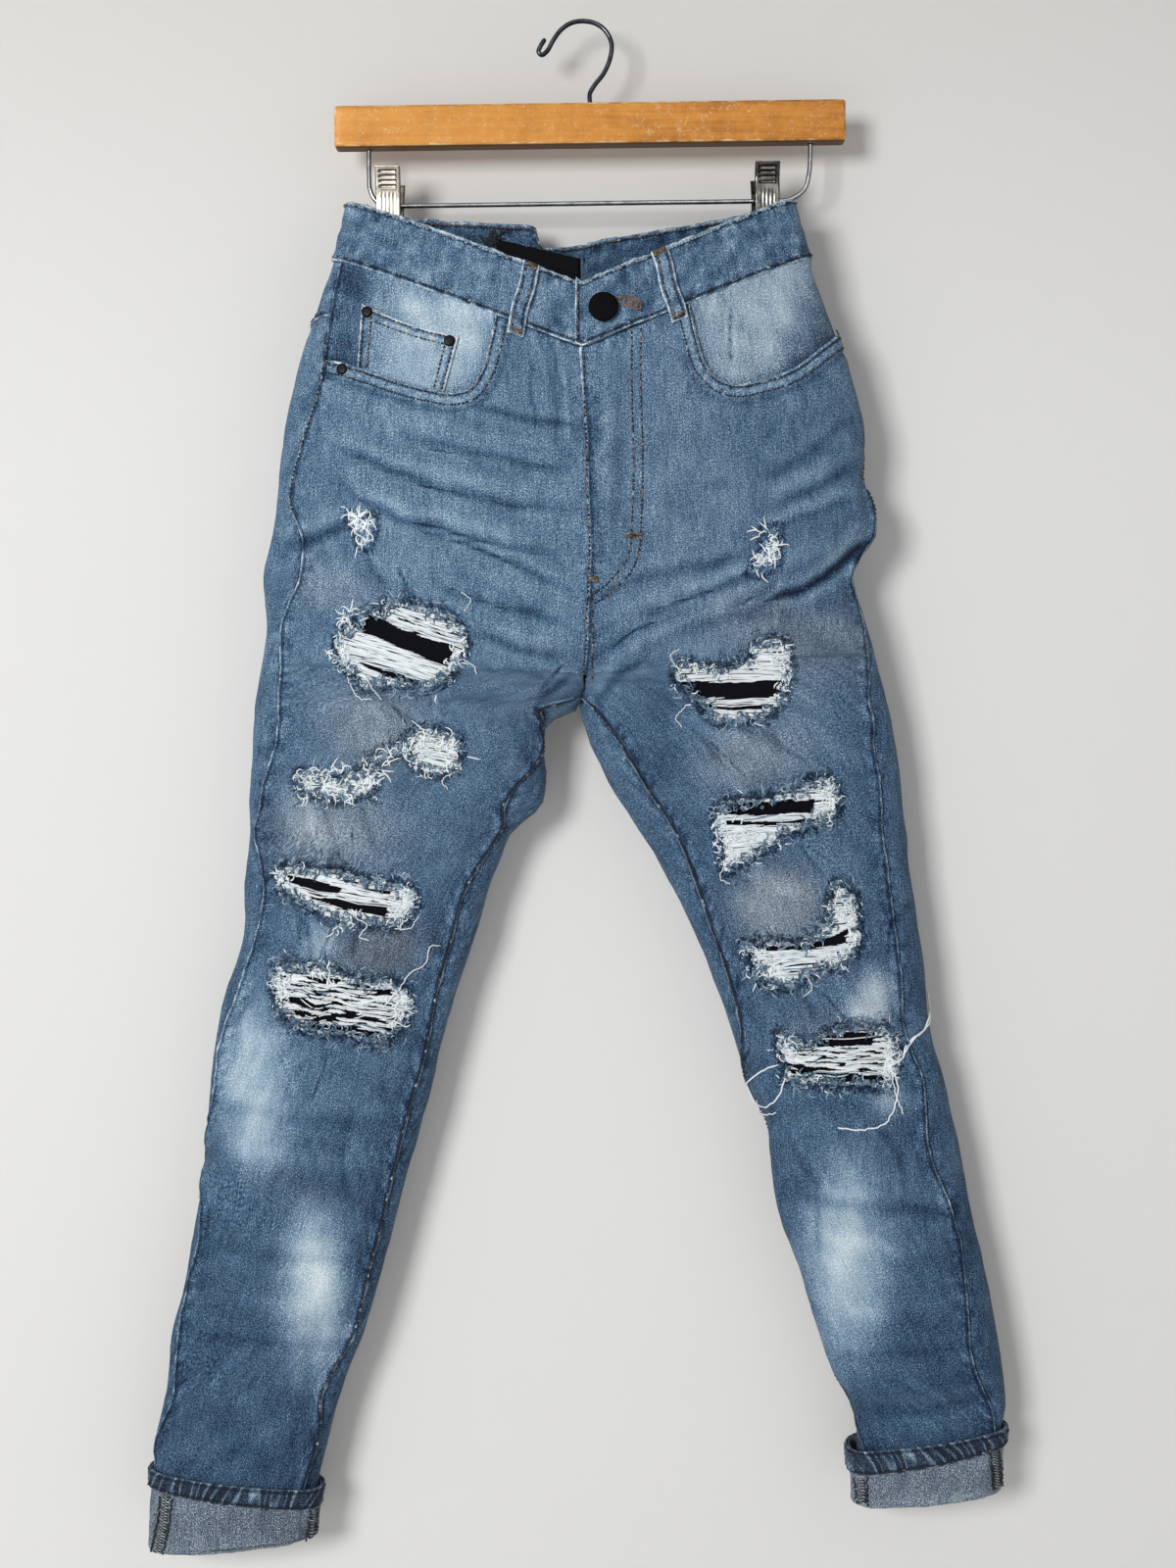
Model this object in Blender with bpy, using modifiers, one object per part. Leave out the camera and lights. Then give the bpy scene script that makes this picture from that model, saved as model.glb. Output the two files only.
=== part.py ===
"""Ripped jeans hanging by the back of their waistband from a wooden clip hanger.

Run with: blender --background --python part.py

The frame: metres, +Z up, -Y towards the front of the jeans, +X towards the wearer's left.
The origin is the inner top of the hanger's hook, where a peg or rail carries it.
Sizes below are in millimetres. "right" and "left" are the wearer's own.

Each half of the jeans, waist to cuff, is one tube made of cross-sections. A section is a flattened
ring: it runs from the inner edge (the centre front, or the leg's inner edge) over the front to the
outer edge, and back behind. Above the crotch the ring is open towards the other half. Every sewn
piece is a patch of that tube, so pieces meet along shared lines with a small gap at the seam.
"""
import math

import bmesh
import bpy
import numpy as np
from mathutils import Matrix, Vector

MM = 0.001
NAME = "ripped_jeans_on_hanger"

# ---- cloth thicknesses and clearances -------------------------------------------------------
DENIM = 1.2             # one layer of denim
BAND = 2.4              # waistband, two layers and interlining
TRIM = 1.0              # loops, label
SEAM_GAP = 0.34         # between pieces that meet at a seam
LAY_GAP = 0.4           # between a piece and what lies on it
TOUCH_GAP = 0.35        # between hard trim and the cloth that it bears on
CENTRE_GAP = 0.2        # from the centre plane to each half
CROTCH_GAP = 1.35       # more of it where the ring closes and the two halves face each other
LEGS_PART = (490, 560)  # down, over which that extra gap fades out again

# ---- sections: one row per cross-section, top to bottom ---------------------------------------
# outer_x, outer_z: the outer edge. front_x, front_z: the inner end of the front. back_z: the
# inner end of the back. closed: 0 open towards the other half, 1 a closed leg. inner_y: depth of
# the inner end. outseam, inseam: how far in front of the outer and inner edge the seams lie
# (negative: behind it).
COLUMNS = ("outer_x", "outer_z", "front_x", "front_z", "back_z", "closed", "inner_y",
           "outseam", "inseam")
RIGHT_ROWS = [
    (-160, -129,   -1, -189, -149, 0.0, -17,  5,  0),   # waistband's top
    (-169, -169,   -1, -233, -187, 0.0, -16,  5,  0),   # waistband's lower seam
    (-181, -203,    1, -263, -224, 0.0, -14, 10,  0),
    (-195, -247,    3, -296, -264, 0.0, -13, 18,  0),
    (-205, -297,    4, -335, -311, 0.0, -11, 14,  0),
    (-208, -327,    5, -361, -342, 0.0, -10, 10,  0),
    (-212, -357,    5, -384, -369, 0.0,  -9, 22,  0),   # notch at the hip
    (-218, -383,    4, -407, -395, 0.0,  -8, 26,  0),
    (-216, -420,    3, -433, -425, 0.2,  -6, 11,  0),
    (-220, -444,    1, -450, -446, 0.6,  -5, 15,  0),
    (-223, -459,    0, -462, -462, 1.0, -14, 18,  0),   # crotch
    (-225, -472,   -4, -472, -472, 1.0,  -7, 19, 22),
    (-225, -483,  -24, -482, -482, 1.0,  -3, 19,  4),
    (-226, -496,  -27, -496, -496, 1.0,  -2, 18,  1),
    (-228, -525,  -27, -526, -526, 1.0,  -1, 11, 18),
    (-228, -541,  -32, -541, -541, 1.0,  -1,  8, 22),
    (-228, -555,  -50, -556, -556, 1.0,   0,  5,  7),   # end of the bulge inside the thigh
    (-230, -575,  -60, -577, -577, 1.0,   0, 10, 10),
    (-232, -595,  -67, -597, -597, 1.0,   0, 15, 14),
    (-233, -633,  -78, -634, -634, 1.0,   0,  9, 13),
    (-245, -668,  -90, -669, -669, 1.0,   0,  9, 11),
    (-252, -700,  -99, -702, -702, 1.0,   0,  5,  8),
    (-257, -741, -109, -742, -742, 1.0,   0,  4,  9),
    (-260, -788, -122, -788, -788, 1.0,   0,  0,  8),
    (-266, -822, -131, -822, -822, 1.0,   0,  5,  7),
    (-275, -873, -143, -869, -869, 1.0,   0,  4,  7),
    (-283, -907, -153, -902, -902, 1.0,   0,  6,  6),
    (-286, -944, -167, -938, -938, 1.0,   0,  6, 11),
    (-294, -977, -178, -976, -976, 1.0,   0,  2,  5),
    (-294, -994, -185, -1006, -1006, 1.0,  0,  1,  7),  # cuff's top
    (-296, -1049, -190, -1040, -1040, 1.0, 0,  1,  7),  # cuff's fold
]
LEFT_ROWS = [
    (141, -127,   -1, -189, -149, 0.0, -17, -4,  0),    # waistband's top
    (153, -168,   -1, -233, -187, 0.0, -16, -4,  0),    # waistband's lower seam
    (167, -205,    1, -263, -223, 0.0, -14, -4,  0),
    (180, -242,    3, -296, -264, 0.0, -13, -4,  0),
    (190, -283,    4, -335, -311, 0.0, -12, -3,  0),
    (189, -318,    5, -361, -342, 0.0, -10,  0,  0),
    (199, -353,    5, -384, -369, 0.0,  -9,  3,  0),    # bulge at the hip
    (184, -377,    4, -407, -395, 0.0,  -8,  2,  0),
    (191, -412,    3, -433, -425, 0.2,  -6,  3,  0),
    (198, -436,    1, -450, -446, 0.6,  -5,  7,  0),
    (204, -457,    0, -462, -462, 1.0, -14, 12,  0),    # crotch
    (206, -468,   -3, -472, -472, 1.0,  -7, 14,  8),
    (209, -481,    0, -485, -485, 1.0,  -3, 14, 15),
    (212, -496,    5, -499, -499, 1.0,  -2, 16, 19),
    (216, -525,   19, -526, -526, 1.0,  -1, 16, 22),
    (220, -558,   42, -560, -560, 1.0,   0, 18, 21),
    (223, -587,   59, -589, -589, 1.0,   0, 17, 16),
    (228, -619,   76, -623, -623, 1.0,   0, 18, 11),
    (233, -654,   90, -657, -657, 1.0,   0, 18,  9),
    (237, -694,  103, -695, -695, 1.0,   0, 19,  5),
    (246, -726,  113, -727, -727, 1.0,   0, 16,  0),
    (253, -758,  127, -759, -759, 1.0,   0, 21, -3),
    (258, -781,  130, -781, -781, 1.0,   0, 22, -5),
    (264, -815,  134, -814, -814, 1.0,   0, 14, -5),
    (273, -852,  149, -856, -856, 1.0,   0, 15, -5),
    (281, -890,  160, -892, -892, 1.0,   0, 20, -4),
    (287, -927,  173, -930, -930, 1.0,   0, 20, -3),
    (288, -954,  188, -957, -957, 1.0,   0, 10,  0),
    (286, -965,  190, -980, -980, 1.0,   0,  7,  3),    # cuff's top
    (283, -1008, 189, -1018, -1018, 1.0, 0,  7,  3),    # cuff's fold
]
WAIST_ROW = 1           # the waistband's lower seam, in both tables
CROTCH_ROW = 10         # the first closed section
CUFF_ROW = -2           # the cuff's top, in both tables

# down, middle_y, half_depth: where the sections' mid plane lies, and how full they are
DEPTHS = np.array([
    (124, -17, 24), (165, -16, 28), (200, -14, 31), (245, -13, 34), (295, -11, 36),
    (350, -9, 37), (400, -7, 36), (440, -5, 34), (472, -4, 32), (500, -3, 31), (560, -2, 30),
    (620, -1, 29), (700, 0, 27), (800, 0, 25), (900, 0, 23), (990, 0, 22), (1045, 0, 24),
], dtype=float)
FULLNESS = 0.8          # exponent of the section's outline: 1 is an ellipse, less is fuller
SEARCH_STEPS = 30       # of the search for the section that passes through a given point
SEARCH_STEP = 0.8       # share of the remaining error taken in each


def smooth(knots, values, at):
    """Read a Catmull-Rom curve through (knots, values) at the places `at`."""
    slopes = np.gradient(values, knots)
    i = np.clip(np.searchsorted(knots, at, side="right") - 1, 0, len(knots) - 2)
    step = knots[i + 1] - knots[i]
    t = np.clip((at - knots[i]) / step, 0.0, 1.0)
    return ((1 + 2 * t) * (1 - t) ** 2 * values[i] + t * (1 - t) ** 2 * step * slopes[i]
            + t * t * (3 - 2 * t) * values[i + 1] + t * t * (t - 1) * step * slopes[i + 1])


def ramp(low, high, at):
    """0 below low, 1 above high, an S-curve between."""
    t = np.clip((at - low) / (high - low), 0.0, 1.0)
    return t * t * (3 - 2 * t)


# ---- largest folds of the front ---------------------------------------------------------------
# from x, z to x, z in the front view, then how far it stands out (negative: a trough) and its
# half width
FOLDS = [
    (205, -357, 160, -388, -4.0, 9),        # crease under the hip bulge, left
    (160, -388, 118, -408, -3.0, 9),
    (196, -338, 120, -380, 4.0, 14),        # the bulge above it
    (-205, -366, -166, -356, -4.0, 8),      # notch at the right hip
    (-200, -330, -60, -432, 2.5, 13),       # whiskers fanning from the crotch
    (-190, -392, -40, -448, 2.5, 12),
    (186, -300, 40, -418, 2.5, 13),
    (195, -425, 45, -462, 2.5, 12),
    (-60, -452, -6, -468, -3.0, 8),         # pull into the crotch
    (8, -470, 60, -500, 2.5, 9),
    (136, -800, 258, -812, -4.0, 10),       # sag below the left knee
    (140, -828, 262, -838, 4.0, 12),
    (-258, -742, -120, -752, -3.0, 10),     # and below the right knee
    (-262, -770, -128, -776, 3.0, 12),
]


def relief(x, z):
    """How far the front stands out at x, z: each fold is a bell across its line, faded at the ends."""
    total = np.zeros_like(x)
    for x0, z0, x1, z1, height, width in FOLDS:
        length = math.hypot(x1 - x0, z1 - z0)
        along = ((x - x0) * (x1 - x0) + (z - z0) * (z1 - z0)) / length ** 2
        nearest = np.clip(along, 0, 1)
        off = np.hypot(x - x0 - nearest * (x1 - x0), z - z0 - nearest * (z1 - z0))
        total = total + height * np.exp(-(off / width) ** 2)
    return total


class Half:
    """One half of the jeans: a tube over down (mm below the hook) and turn (0 inner edge,
    0.5 outer edge, 1 inner edge again, front first)."""

    def __init__(self, rows, side):
        table = np.array(rows, dtype=float)
        self.side = side                                    # -1 wearer's right, +1 left
        self.col = {name: table[:, i] for i, name in enumerate(COLUMNS)}
        self.down = -self.col["outer_z"]
        self.waist = self.down[WAIST_ROW]
        self.cuff = self.down[CUFF_ROW]
        self.bottom = self.down[-1]
        width = np.abs(self.col["outer_x"] - self.col["front_x"])
        start = self._start(self.col["closed"])
        # each seam as a turn away from its edge, signed: positive on the front
        outer = self._turn_of(1 - np.abs(self.col["outseam"]) / width, start)
        self.out_turn = np.sign(self.col["outseam"]) * (0.5 - outer)
        inner = self._turn_of(np.abs(self.col["inseam"]) / width, start)
        self.in_turn = np.sign(self.col["inseam"]) * inner

    @staticmethod
    def _start(closed):
        """Angle at which the section's outline starts: 90 degrees open, 0 closed."""
        return (1 - closed) * math.pi / 2

    @staticmethod
    def _turn_of(across, start):
        """Turn of the front point that lies a share `across` from inner to outer edge."""
        angle = np.arccos(np.clip(np.cos(start) - across * (1 + np.cos(start)), -1, 1))
        return (angle - start) / (math.pi - start) / 2

    def read(self, name, down):
        return smooth(self.down, self.col[name], down)

    def inner_x(self, down):
        """x of the inner end, kept clear of the other half."""
        closed = np.clip(self.read("closed", down), 0, 1)
        facing = CROTCH_GAP * closed ** 2 * (1 - ramp(*LEGS_PART, down))
        return self.read("front_x", down) + self.side * (CENTRE_GAP + facing)

    def outseam(self, down):
        return 0.5 - smooth(self.down, self.out_turn, down)

    def inseam(self, down):
        return smooth(self.down, self.in_turn, down) * (down > self.down[CROTCH_ROW - 1])

    def ring(self, down, turn):
        """Points of the cloth's inner face, shape (..., 3)."""
        down, turn = np.broadcast_arrays(np.asarray(down, float), np.asarray(turn, float))
        turn = np.where(turn > 1, turn - 1, np.where(turn < 0, turn + 1, turn))
        behind = turn > 0.5
        closed = np.clip(self.read("closed", down), 0, 1)
        start = self._start(closed)
        angle = start + (math.pi - start) * 2 * np.where(behind, 1 - turn, turn)
        across = (np.cos(start) - np.cos(angle)) / (1 + np.cos(start))
        inner_x = self.inner_x(down)
        inner_z = np.where(behind, self.read("back_z", down), self.read("front_z", down))
        middle = smooth(DEPTHS[:, 0], DEPTHS[:, 1], down)
        half_depth = smooth(DEPTHS[:, 0], DEPTHS[:, 2], down)
        inner_y = middle + (self.read("inner_y", down) - middle) * closed
        x = inner_x + (self.read("outer_x", down) - inner_x) * across
        z = inner_z + (self.read("outer_z", down) - inner_z) * across
        y = inner_y + (middle - inner_y) * across
        bulge = np.sin(angle) ** FULLNESS
        y = y + np.where(behind, 1, -1) * half_depth * bulge
        y = y - np.where(behind, 0, relief(x, z) * bulge)
        return np.stack([x, y, z], axis=-1)

    def lifted(self, down, turn, lift):
        """Points of the tube moved out along its normal by `lift` (mm, inwards if negative)."""
        down, turn = np.broadcast_arrays(np.asarray(down, float), np.asarray(turn, float))
        here = self.ring(down, turn)
        step = np.where(turn % 1.0 < 0.5, 1e-3, -1e-3)
        around = (self.ring(down, turn + step) - here) / step[..., None]
        down_step = np.where(down > self.bottom - 1, -0.5, 0.5)
        along = (self.ring(down + down_step, turn) - here) / down_step[..., None]
        normal = np.cross(along, around) * self.side
        normal /= np.linalg.norm(normal, axis=-1, keepdims=True)
        return here + normal * np.asarray(lift)[..., None]

    def turn_at(self, x, down, behind=False):
        """Turn of the front (or back) point of a section that lies at x."""
        inner_x = self.inner_x(down)
        across = np.clip((x - inner_x) / (self.read("outer_x", down) - inner_x), 0, 1)
        turn = self._turn_of(across, self._start(np.clip(self.read("closed", down), 0, 1)))
        return np.where(behind, 1 - turn, turn)

    def locate(self, x, z, behind=False):
        """(down, turn) of the front (or back) point that lies at x, z in the front view."""
        x, z = np.asarray(x, float), np.asarray(z, float)
        down = -z
        for _ in range(SEARCH_STEPS):
            inner_x = self.inner_x(down)
            inner_z = self.read("back_z" if behind else "front_z", down)
            across = np.clip((x - inner_x) / (self.read("outer_x", down) - inner_x), 0, 1)
            row_z = inner_z + (self.read("outer_z", down) - inner_z) * across
            down = np.clip(down + SEARCH_STEP * (row_z - z), self.down[0], self.bottom)
        turn = self._turn_of(across, self._start(np.clip(self.read("closed", down), 0, 1)))
        return down, np.where(behind, 1 - turn, turn)


RIGHT = Half(RIGHT_ROWS, -1)
LEFT = Half(LEFT_ROWS, 1)
HALVES = {"right": RIGHT, "left": LEFT}


# ---- how the tube is divided ------------------------------------------------------------------
FRONT_COLUMNS = 10
# the back's columns crowd where it wraps round the outer and inner edges
BACK_SHARES = np.array([0, 0.06, 0.13, 0.22, 0.36, 0.50, 0.64, 0.78, 0.89, 1.0])
LONGEST_STEP = 54       # a row is added halfway where the sections are further apart
YOKE_ROW = 2            # the yoke's seam meets the outseam at this section
YOKE_DROP = 43          # and hangs this much lower at the centre back
FOLD_LIP = 2.4          # the panels end this far above the cuff's fold
HEM_HEIGHT = 12         # of the stitched band at the cuff's top


def panel_rows(half):
    """Rows of the panels: the sections and the hem's edge, and one halfway in the long steps."""
    rows = list(half.down[WAIST_ROW:])
    rows[-1:] = [half.cuff + HEM_HEIGHT, half.bottom - FOLD_LIP]
    filled = [rows[0]]
    for low, high in zip(rows, rows[1:]):
        if high - low > LONGEST_STEP:
            filled.append((low + high) / 2)
        filled.append(high)
    return np.array(filled)


def front_turns(half, rows):
    """Turns of the front panel's columns, shape (rows, columns)."""
    share = np.linspace(0, 1, FRONT_COLUMNS + 1)
    inner, outer = half.inseam(rows)[..., None], half.outseam(rows)[..., None]
    return inner + (outer - inner) * share


def back_turns(half, rows):
    """Turns of the back's columns, from the outseam round to the inseam or centre back."""
    outer, inner = half.outseam(rows)[..., None], 1 + half.inseam(rows)[..., None]
    return outer + (inner - outer) * BACK_SHARES


def under_front(half, outline, margin, lift):
    """Points inside the front panel, on its own rows and columns, that cover an outline."""
    x, z = np.array(outline, dtype=float).T
    middle = np.array([x.mean(), z.mean()])
    away = np.stack([x, z]) - middle[:, None]
    x, z = middle[:, None] + away * (1 + margin / np.linalg.norm(away, axis=0))
    down, turn = half.locate(x, z)
    rows = panel_rows(half)
    column = (turn - half.inseam(down)) / (half.outseam(down) - half.inseam(down)) * FRONT_COLUMNS
    first_row = np.searchsorted(rows, down.min()) - 1
    last_row = np.searchsorted(rows, down.max())
    first, last = max(0, int(column.min())), min(FRONT_COLUMNS, math.ceil(column.max()))
    rows = rows[first_row:last_row + 1]
    turns = front_turns(half, rows)[:, first:last + 1]
    return half.lifted(rows[:, None], turns, np.full(turns.shape, lift))


# ---- materials -----------------------------------------------------------------------------------
# name: colour (linear), roughness, metallic
FINISHES = {
    "denim": ((0.100, 0.175, 0.270), 0.90, 0.0),
    "denim_pale": ((0.330, 0.450, 0.550), 0.90, 0.0),
    "denim_reverse": ((0.190, 0.250, 0.310), 0.92, 0.0),
    "denim_dark": ((0.045, 0.075, 0.115), 0.90, 0.0),
    "backing_black": ((0.010, 0.010, 0.013), 0.95, 0.0),
    "button_black": ((0.015, 0.015, 0.017), 0.35, 0.6),
    "rivet_dark": ((0.080, 0.075, 0.070), 0.40, 0.9),
    "wood_varnished": ((0.630, 0.300, 0.095), 0.35, 0.0),
    "steel_bright": ((0.550, 0.550, 0.560), 0.25, 1.0),
    "steel_dark": ((0.080, 0.085, 0.095), 0.20, 1.0),
}


def finish(name):
    """The material of this name, made on first use."""
    material = bpy.data.materials.get(name)
    if material is None:
        colour, roughness, metallic = FINISHES[name]
        material = bpy.data.materials.new(name)
        material.use_nodes = True
        shader = material.node_tree.nodes["Principled BSDF"]
        shader.inputs["Base Color"].default_value = (*colour, 1.0)
        shader.inputs["Roughness"].default_value = roughness
        shader.inputs["Metallic"].default_value = metallic
    return material


# ---- building blocks ------------------------------------------------------------------------------
def add_object(name, mesh, material, collection):
    """Wrap a mesh in a named object with its own copy of the material."""
    thing = bpy.data.objects.new(name, mesh)
    if material:
        own = finish(material).copy()
        own.name = f"{name}_{material}"
        mesh.materials.append(own)
    collection.objects.link(thing)
    return thing


def pull_back(points, edges, gap=SEAM_GAP / 2):
    """Move the named edges of a grid of points inwards, along the grid, by half a seam's gap."""
    points = points.copy()
    ends = {"top": (0, 1), "bottom": (-1, -2)}
    sides = {"first": (0, 1), "last": (-1, -2)}
    for edge in edges:
        if edge in ends:
            row, inner = ends[edge]
            step = points[inner] - points[row]
            points[row] += gap * step / np.linalg.norm(step, axis=-1, keepdims=True)
        else:
            col, inner = sides[edge]
            step = points[:, inner] - points[:, col]
            points[:, col] += gap * step / np.linalg.norm(step, axis=-1, keepdims=True)
    return points


def cloth(name, points, thickness, material, collection, side=-1, all_round=False):
    """A wall of cloth: a loft through a grid of points (mm), thickened outwards.

    side is that of the half it belongs to; all_round joins the last column to the first.
    """
    rows, columns = points.shape[:2]
    index = np.arange(rows * columns).reshape(rows, columns)
    if all_round:
        index = np.hstack([index, index[:, :1]])
    corners = (index[:-1, :-1], index[:-1, 1:], index[1:, 1:], index[1:, :-1])
    faces = np.stack(corners, axis=-1).reshape(-1, 4)
    if side > 0:
        faces = faces[:, ::-1]
    mesh = bpy.data.meshes.new(name)
    mesh.from_pydata((points.reshape(-1, 3) * MM).tolist(), [], faces.tolist())
    mesh.validate()
    wall = add_object(name, mesh, material, collection)
    thicken = wall.modifiers.new("Wall", "SOLIDIFY")
    thicken.thickness = thickness * MM
    thicken.offset = 1.0
    return wall


def patch(half, corners, rows, columns, lift, behind=False, dip=0.0):
    """A grid on the tube between four corners given as x, z in the front view.

    corners: inner top, outer top, inner bottom, outer bottom. dip lowers the bottom's middle.
    """
    (ax, az), (bx, bz), (cx, cz), (dx, dz) = corners
    t, s = np.meshgrid(np.linspace(0, 1, rows + 1), np.linspace(0, 1, columns + 1), indexing="ij")
    x = (ax * (1 - s) + bx * s) * (1 - t) + (cx * (1 - s) + dx * s) * t
    z = (az * (1 - s) + bz * s) * (1 - t) + (cz * (1 - s) + dz * s) * t
    z = z - dip * t * (1 - np.abs(2 * s - 1))
    down, turn = half.locate(x, z, behind)
    points = half.lifted(down, turn, np.full(x.shape, lift))
    return points[:, ::-1] if behind else points


def wire(name, path, material, collection):
    """A round wire along a path of (x, z) points in the hanger's plane."""
    curve = bpy.data.curves.new(name, "CURVE")
    curve.dimensions = "3D"
    curve.bevel_depth = WIRE * MM
    curve.bevel_resolution = 2
    curve.use_fill_caps = True
    spline = curve.splines.new("POLY")
    spline.points.add(len(path) - 1)
    for point, (x, z) in zip(spline.points, path):
        point.co = (x * MM, 0.0, z * MM, 1.0)
    return add_object(name, curve, material, collection)


def through(points, steps):
    """A Catmull-Rom curve through the points, with `steps` pieces between each two."""
    points = np.array(points, dtype=float)
    length = np.concatenate([[0], np.cumsum(np.linalg.norm(np.diff(points, axis=0), axis=1))])
    at = np.interp(np.arange(steps * (len(points) - 1) + 1) / steps, np.arange(len(points)), length)
    return np.stack([smooth(length, points[:, k], at) for k in range(points.shape[1])], axis=-1)


def prism(name, outline, near_y, far_y, collection):
    """A cutter: an outline in the front view carried from near_y to far_y."""
    shape = bmesh.new()
    corners = [shape.verts.new((x * MM, near_y * MM, z * MM)) for x, z in outline]
    face = shape.faces.new(corners)
    moved = bmesh.ops.extrude_face_region(shape, geom=[face])
    carried = [item for item in moved["geom"] if isinstance(item, bmesh.types.BMVert)]
    bmesh.ops.translate(shape, verts=carried, vec=Vector((0, (far_y - near_y) * MM, 0)))
    bmesh.ops.recalc_face_normals(shape, faces=shape.faces)
    mesh = bpy.data.meshes.new(name)
    shape.to_mesh(mesh)
    shape.free()
    cutter = add_object(name, mesh, None, collection)
    cutter.hide_render = True
    cutter.display_type = "WIRE"
    return cutter


def cut(thing, cutter):
    """Cut an object with a cutter."""
    boolean = thing.modifiers.new(cutter.name, "BOOLEAN")
    boolean.operation = "DIFFERENCE"
    boolean.solver = "EXACT"
    boolean.object = cutter


def seat_on(thing, half, x, z, lift, behind=False):
    """Place a turned piece, made along +Z, on the tube at x, z with its +Z along the normal."""
    down, turn = half.locate(np.array([x]), np.array([z]), behind)
    near = half.lifted(down, turn, np.array([lift]))[0]
    far = half.lifted(down, turn, np.array([lift + 1.0]))[0]
    normal = Vector(far - near).normalized()
    thing.matrix_world = (Matrix.Translation(Vector(near) * MM)
                          @ normal.to_track_quat("Z", "Y").to_matrix().to_4x4())


def turned(name, profile, segments, material, collection):
    """A turned piece about +Z: profile rows are radius, height (mm), top to bottom."""
    mesh = bpy.data.meshes.new(name)
    points = [(radius * MM, 0.0, height * MM) for radius, height in profile]
    mesh.from_pydata(points, [(i, i + 1) for i in range(len(points) - 1)], [])
    piece = add_object(name, mesh, material, collection)
    spin = piece.modifiers.new("Turn", "SCREW")
    spin.steps = segments
    spin.render_steps = segments
    spin.use_merge_vertices = True
    spin.merge_threshold = 0.00005
    return piece


# ---- front and back -----------------------------------------------------------------------------
CUT_NEAR, CUT_FAR = -90, -3             # depth that the cutters reach through

# the front pocket's edge, from the waistband to the outseam, and points past the panel's corner
POCKET_MOUTH = {
    "right": [(-59, -209), (-66, -246), (-74, -258), (-84, -262), (-101, -258), (-126, -252),
              (-151, -244), (-168, -239), (-200, -236), (-200, -120), (-59, -180)],
    "left": [(71, -204), (75, -223), (83, -246), (91, -254), (97, -256), (118, -253),
             (141, -244), (169, -222), (200, -215), (200, -120), (71, -170)],
}
POCKET_FAR = {"right": -3, "left": 20}      # the left front wraps past the outer edge

# outlines of the rips, each worn right through to the black cloth sewn behind
RIPS = {
    "right": {
        "thigh": [(-143, -410), (-131, -404), (-113, -405), (-90, -412), (-79, -424), (-80, -436),
                  (-92, -453), (-104, -460), (-144, -460), (-165, -442), (-165, -428)],
        "thigh_low": [(-117, -489), (-100, -486), (-85, -494), (-84, -514), (-104, -519),
                      (-117, -510)],
        "thigh_side": [(-193, -515), (-165, -520), (-143, -513), (-142, -532), (-165, -538),
                       (-190, -532)],
        "knee": [(-206, -583), (-164, -581), (-116, -594), (-116, -613), (-130, -619),
                 (-169, -617), (-206, -593)],
        "knee_low": [(-209, -649), (-169, -650), (-121, -663), (-121, -684), (-133, -700),
                     (-150, -693), (-196, -690), (-208, -668)],
    },
    "left": {
        "thigh": [(62, -445), (80, -445), (101, -445), (122, -430), (134, -430), (138, -452),
                  (132, -469), (123, -481), (90, -482), (72, -464), (61, -454)],
        "thigh_low": [(87, -545), (97, -536), (129, -533), (151, -522), (165, -521), (171, -532),
                      (160, -550), (131, -558), (118, -572), (97, -584), (92, -561)],
        "knee": [(109, -632), (146, -632), (167, -616), (168, -590), (184, -600), (187, -628),
                 (183, -638), (165, -652), (148, -656), (125, -662), (112, -641)],
        "knee_low": [(132, -694), (153, -699), (185, -686), (201, -688), (209, -695),
                     (207, -729), (170, -727), (137, -725)],
    },
}
BACKING = 1.0           # the black cloth's thickness
BACKING_MARGIN = 6      # it reaches at least this far past its rip
BACKING_LIFT = -1.9     # it lies inside the front
SECOND_LAYER = -1.5     # and every second one a layer further in, as neighbours lap


def build_fronts(collection, cutters):
    """Two front panels with pocket mouths and rips cut through them."""
    for name, half in HALVES.items():
        rows = panel_rows(half)
        points = half.ring(rows[:, None], front_turns(half, rows))
        points = pull_back(points, ("top", "last"))
        below = rows > half.down[CROTCH_ROW]
        points[below] = pull_back(points, ("first",))[below]
        front = cloth(f"front_{name}", points, DENIM, "denim", collection, half.side)
        mouth = prism(f"cut_pocket_{name}", POCKET_MOUTH[name], CUT_NEAR, POCKET_FAR[name], cutters)
        cut(front, mouth)
        for place, outline in RIPS[name].items():
            cut(front, prism(f"cut_{place}_{name}", outline, CUT_NEAR, CUT_FAR, cutters))


def build_backings(collection):
    """Black cloth behind each rip; one piece serves the two low rips of the right thigh."""
    for name, half in HALVES.items():
        outlines = dict(RIPS[name])
        if "thigh_side" in outlines:
            outlines["thigh_low"] = outlines["thigh_low"] + outlines.pop("thigh_side")
        for number, (place, outline) in enumerate(outlines.items()):
            lift = BACKING_LIFT + SECOND_LAYER * (number % 2)
            points = under_front(half, outline, BACKING_MARGIN, lift)
            cloth(f"backing_{place}_{name}", points, BACKING, "backing_black", collection, half.side)


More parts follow.
